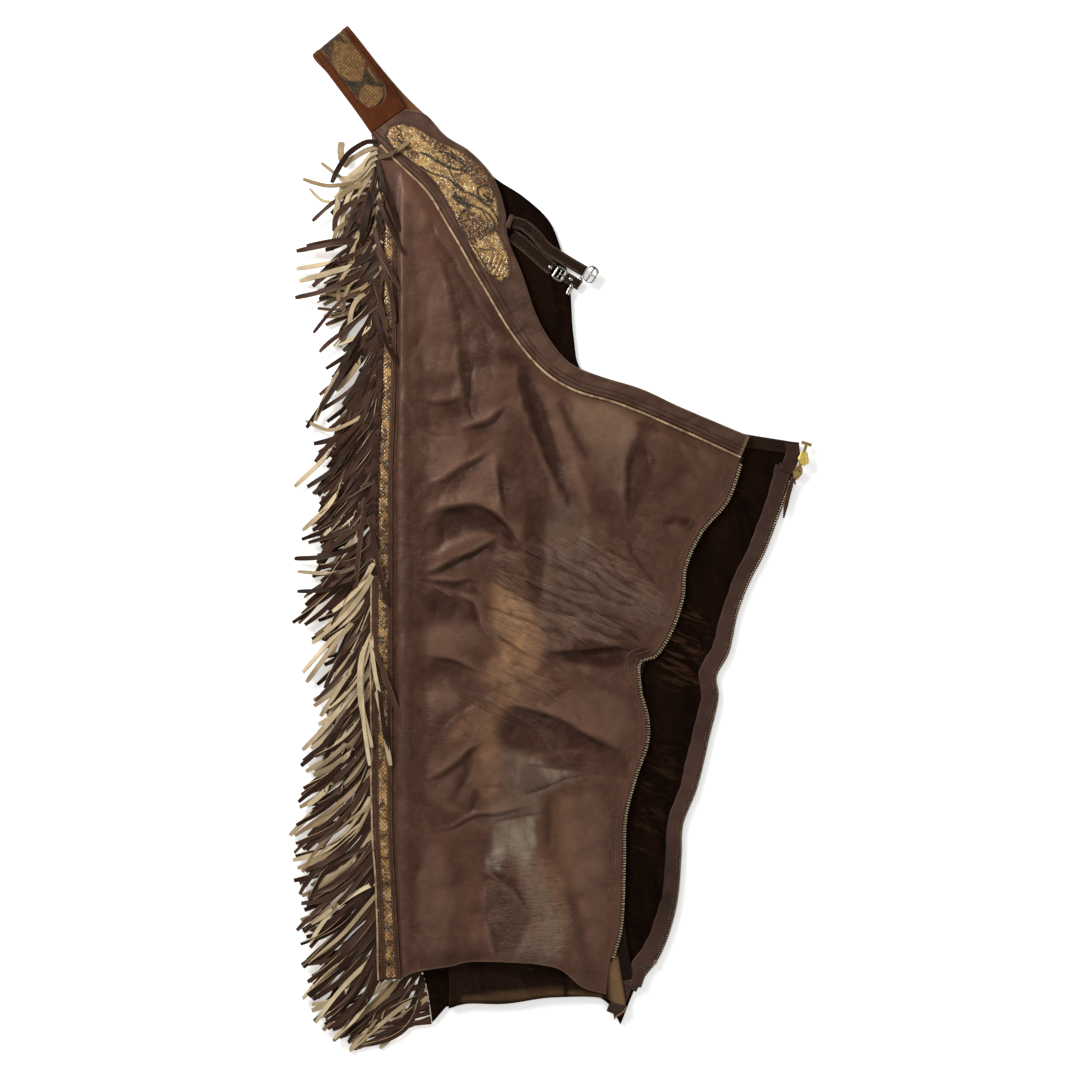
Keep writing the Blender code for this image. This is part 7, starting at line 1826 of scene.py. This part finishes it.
cap, side = np.linspace(0, 1, 16)[:, None], np.sin(np.linspace(-pi / 2, pi / 2, 14))
half_wide = TIP_HALF * np.sqrt(np.clip(1 - (np.abs(cap - 0.45) / 0.56) ** 3, 0.02, 1))
long_way, wide_way = (-sin(TIP_TURN), cos(TIP_TURN)), (cos(TIP_TURN), sin(TIP_TURN))
cap_plan = (TIP_SPOT + ((cap - 0.5) * TIP_LONG)[..., None] * long_way
            + (half_wide * side)[..., None] * wide_way)
cap_top = (7.0 + 1.9 * np.sqrt(1 - 0.97 * side ** 2) * np.sqrt(half_wide / TIP_HALF)
           - 0.7 * bell(cap, 0.72, 0.05))
tip_cap = laid("strap_tip_cap", cap_plan, cap_top, 6.5, nickel, "nickel", ("strap_tip",))
tip_cap.data.polygons.foreach_set("use_smooth", np.ones(len(tip_cap.data.polygons), dtype=bool))


def turned(name, centre, profile, nodes, sides=24):
    """A turned form: radius and height of the profile, carried round the upright through the centre."""
    profile = np.asarray(profile, dtype=float)
    angles = np.arange(sides) * 2 * pi / sides
    wide, high = profile[:, :1], profile[:, 1:]
    ring = np.stack([wide * np.cos(angles), wide * np.sin(angles), high + 0 * angles], axis=-1)
    index = np.arange(ring.shape[0] * sides).reshape(-1, sides)
    after = np.roll(index, -1, axis=1)
    walls = np.stack([index[:-1], after[:-1], after[1:], index[1:]], axis=-1).reshape(-1, 4)
    faces = [walls, index[:1, ::-1], index[-1:]]
    return solid(name, ring.reshape(-1, 3) + centre, faces, nickel, nodes)


head = ((2.3, 0.0), (2.45, 0.25), (2.3, 0.55), (1.95, 0.7), (1.6, 0.8), (1.3, 1.15), (0.8, 1.4), (0.2, 1.48),
        (0.02, 1.48))
turned("short_strap_rivet_head", (-2.5, 295.2, 6.2), head, ("short_strap_rivet",))
turned("strap_end_rivet_head", (21.0, 281.0, 6.5), head, ("strap_end_rivet",))

# ---------------------------------------------------------------- Slider of the lower zip
# Cast brass: a shield-shaped slider at the head of the zip with a hinged pull, and a leather thong
# knotted to it.
SLIDER_X, SLIDER_Y, SLIDER_TURN = 277.0, 58.0, radians(-18)
SHIELD_RING = ((801.2, 452.6), (807.4, 452.6), (808.3, 457.5), (809.3, 463.4), (804.6, 466.6), (800.8, 464.6),
               (797.8, 460), (799.4, 456.6))
# The shield from below up: share of its outline, height in mm
SHIELD_STEPS = ((0.96, 9.4), (1.0, 9.8), (1.0, 10.3), (0.9, 10.75), (0.55, 10.95), (0.5, 10.8))

brass = metal("worn brass", chip(222, 190, 122), chip(140, 112, 64), rough=0.3, worn=0.6)
for name in ("zip_slider", "pull_tab"):
    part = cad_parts[name]
    part.data.materials.clear()
    part.data.materials.append(brass)


def on_slider(u, v, z):
    """A point of the slider's own frame, u across and v up the zip, in the frame of the chaps."""
    return (SLIDER_X + u * cos(SLIDER_TURN) - v * sin(SLIDER_TURN),
            SLIDER_Y + u * sin(SLIDER_TURN) + v * cos(SLIDER_TURN), z)


ring = charted(SHIELD_RING)
heart = ring.mean(0)
points = np.vstack([np.column_stack([heart + (ring - heart) * share, np.full(8, z)])
                    for share, z in SHIELD_STEPS])
index = np.arange(48).reshape(6, 8)
after = np.roll(index, -1, axis=1)
walls = np.stack([index[1:], after[1:], after[:-1], index[:-1]], axis=-1).reshape(-1, 4)
shield_gold = metal("bright gold of the shield", chip(250, 224, 132), chip(214, 184, 96), rough=0.5, worn=0.4)
solid("pull_tab_gold_shield", points, [walls, index[:1], index[-1:, ::-1]], shield_gold,
      body="pull_tab", smooth=0)

line = curve([on_slider(*spot) for spot in ((-2.1, -7.3, 6.8), (-3.1, -19.3, 6.6), (-1.6, -38.0, 6.0),
                                            (0.4, -54.3, 5.4))], 60, samples=12)
columns, share = np.linspace(-1, 1, 15), np.linspace(0, 1, 60)[:, None]
half_wide = np.interp(share, (0, 0.06, 0.12, 0.22, 0.7, 0.97, 1), (3.2, 2.2, 1.6, 3.0, 2.4, 1.0, 0.4))
overlap = 0.5 * soft_step((columns - 0.1) / 0.1) - 0.35 * bell(columns, 0.05 + 0.15 * np.sin(share * 9), 0.12)
top = (line[:, 2:] + 1.5 + overlap * soft_step((share - 0.1) / 0.1) + 0.7 * bell(share, 0.09, 0.035)
       - 0.5 * soft_step((np.abs(columns) - 0.75) / 0.25))
thong_leather = hide("thong leather", chip(84, 58, 46), chip(50, 33, 26), chip(70, 50, 38), rough=0.45,
                     wear_and_painted_light=True, grain=0.5)
laid("slider_thong_strip", widened(line, columns * half_wide, 6.0), top, line[:, 2:], thong_leather,
     "brown_leather", ("slider_thong",), tan=0.7 * soft_step((np.abs(columns) - 0.85) / 0.1))
knot = [on_slider(-1.6 - 2.6 * sin(t), -12.0 + 1.5 * cos(2 * t + 0.4), 7.9 + 1.5 * cos(t))
        for t in np.linspace(-2.4, 2.4, 26)]
tube("slider_thong_knot", knot, 0.85, cord_leather("knotted leather", chip(84, 58, 46), chip(46, 30, 24)))

# ---------------------------------------------------------------- Waist edge of the lower leg
# The turned edge of the lower yoke shows beside the slider as a band pressed with three stitch channels,
# ended by a rumpled leather patch with two.
WAIST_BAND = ((742, 441), (760, 443.5), (780, 446.5), (799.5, 448.5))
WAIST_PATCH = ((792.5, 443.5), (793.5, 453), (791, 462), (786.5, 473))
BAND_HALF, PATCH_HALF, PATCH_LONG = 7.0, 8.2, 32.0

reach = np.linspace(-BAND_HALF, BAND_HALF, 22)
plan = widened(curve(charted(WAIST_BAND), 60), reach)
level = FRONT_LOW + LEATHER + 0.8
channels = -0.55 * sum(bell(reach, at, 0.6) for at in (-3.4, 0.4, 3.9))
top = level + 0.9 + channels + 0.35 * waves(plan, 30, 95) - 0.6 * soft_step(np.abs(reach) - BAND_HALF + 1)
edge_leather = hide("waist edge leather", chip(46, 28, 20), chip(28, 16, 11), chip(40, 28, 22), rough=0.4,
                    grain=0.6, gloss=0.07)
waist = laid("lower_waist_edge_band", plan, top, level - 0.5, edge_leather, "band_leather")

reach = np.linspace(-PATCH_HALF, PATCH_HALF, 26)
down = np.linspace(0, 1, 44)[:, None]
channels = -0.5 * (bell(reach, -3.0, 0.6) + bell(reach, 1.4, 0.6)) * soft_step(2 - 3.5 * down)
inside = np.minimum(np.minimum(down, 1 - down) * PATCH_LONG, PATCH_HALF - np.abs(reach))
rumple = (0.9 * soft_step(3.6 * down - 2)
          + 0.35 * np.sin(14 * down) * np.cos(reach / 2.4) * soft_step(3.4 * down - 1.4))
top = level + 1.3 + 0.6 * soft_step(inside / 1.2) + channels + rumple
patch_leather = hide("waist patch leather", chip(70, 48, 38), chip(40, 27, 20), chip(40, 28, 22), rough=0.4,
                     grain=0.6)
end = laid("lower_waist_end_patch", widened(curve(charted(WAIST_PATCH), 44), reach), top,
           level + 1 + 0.7 * rumple, patch_leather, "band_leather")

# ---------------------------------------------------------------- Stitches
# Waxed brown thread in a lockstitch of about seven to the inch, sunk a little into every seam.
# The rows follow the edges of the piece that they hold, at a steady distance from them.
STITCH = rings(((-1.25, 0.16, -0.35, 0.0), (-0.75, 0.36, -0.25, 0.3), (0.75, 0.36, -0.25, 0.3),
                (1.25, 0.16, -0.35, 0.0)))


def sewn(name, lines, finish, apart=3.4):
    """A row of stitches along each line of points in mm, every stitch lying along the line."""
    spots, runs = (np.vstack(part) for part in zip(*(evenly(line, apart) for line in lines)))
    studs(name, spots, runs, STITCH, finish)


edge, front = (curve(line, 300, 0.005, 0.995) for line in (YOKE_LOW, UPPER_FRONT_EDGE))
hip = rounded_line(np.vstack([YOKE_PYTHON_TOP, YOKE_PYTHON_LOW[::-1]]), samples=8, closed=True)
rows = [on_level(edge - side_of(edge) * far, yoke_level, -0.15) for far in (5.6, 10.2)]
rows += [on_level(front + side_of(front) * 2.8, yoke_level, 0.2),
         on_level(hip - side_of(hip, 6.0) * 2.2, yoke_level, -0.1)]
sewn("yoke_stitching", rows, cord_leather("dark waxed thread", chip(58, 40, 32), chip(34, 22, 17)), 2.9)

line = along(zip_line, np.linspace(0, 0.985, 300))
rows = [on_level(line - side_of(line) * far, upper_height, LEATHER + 0.05) for far in (7.3, 13.9)]
borders = strip_grid(UPPER_STRIP, (0.07, 0.235, 0.795, 0.945), 330, 0.003, STRIP_TOP_SHARE - 0.01)
rows += [on_level(borders[:, k], upper_height, LEATHER + 1.2) for k in range(4)]
thread = cord_leather("waxed thread", chip(118, 94, 74), chip(64, 46, 35))
sewn("panel_stitching", rows, thread)

line = along(lower_zip, np.linspace(0.01, 0.985, 300))
rows = [np.column_stack([line - side_of(line) * 2.6, np.full(300, FACING_LOW + 1.15)]), *strap_tops]
rows.append(np.column_stack([stop_seam, np.full(80, 7.15)]))
sewn("facing_belt_and_strap_stitching", rows, thread)
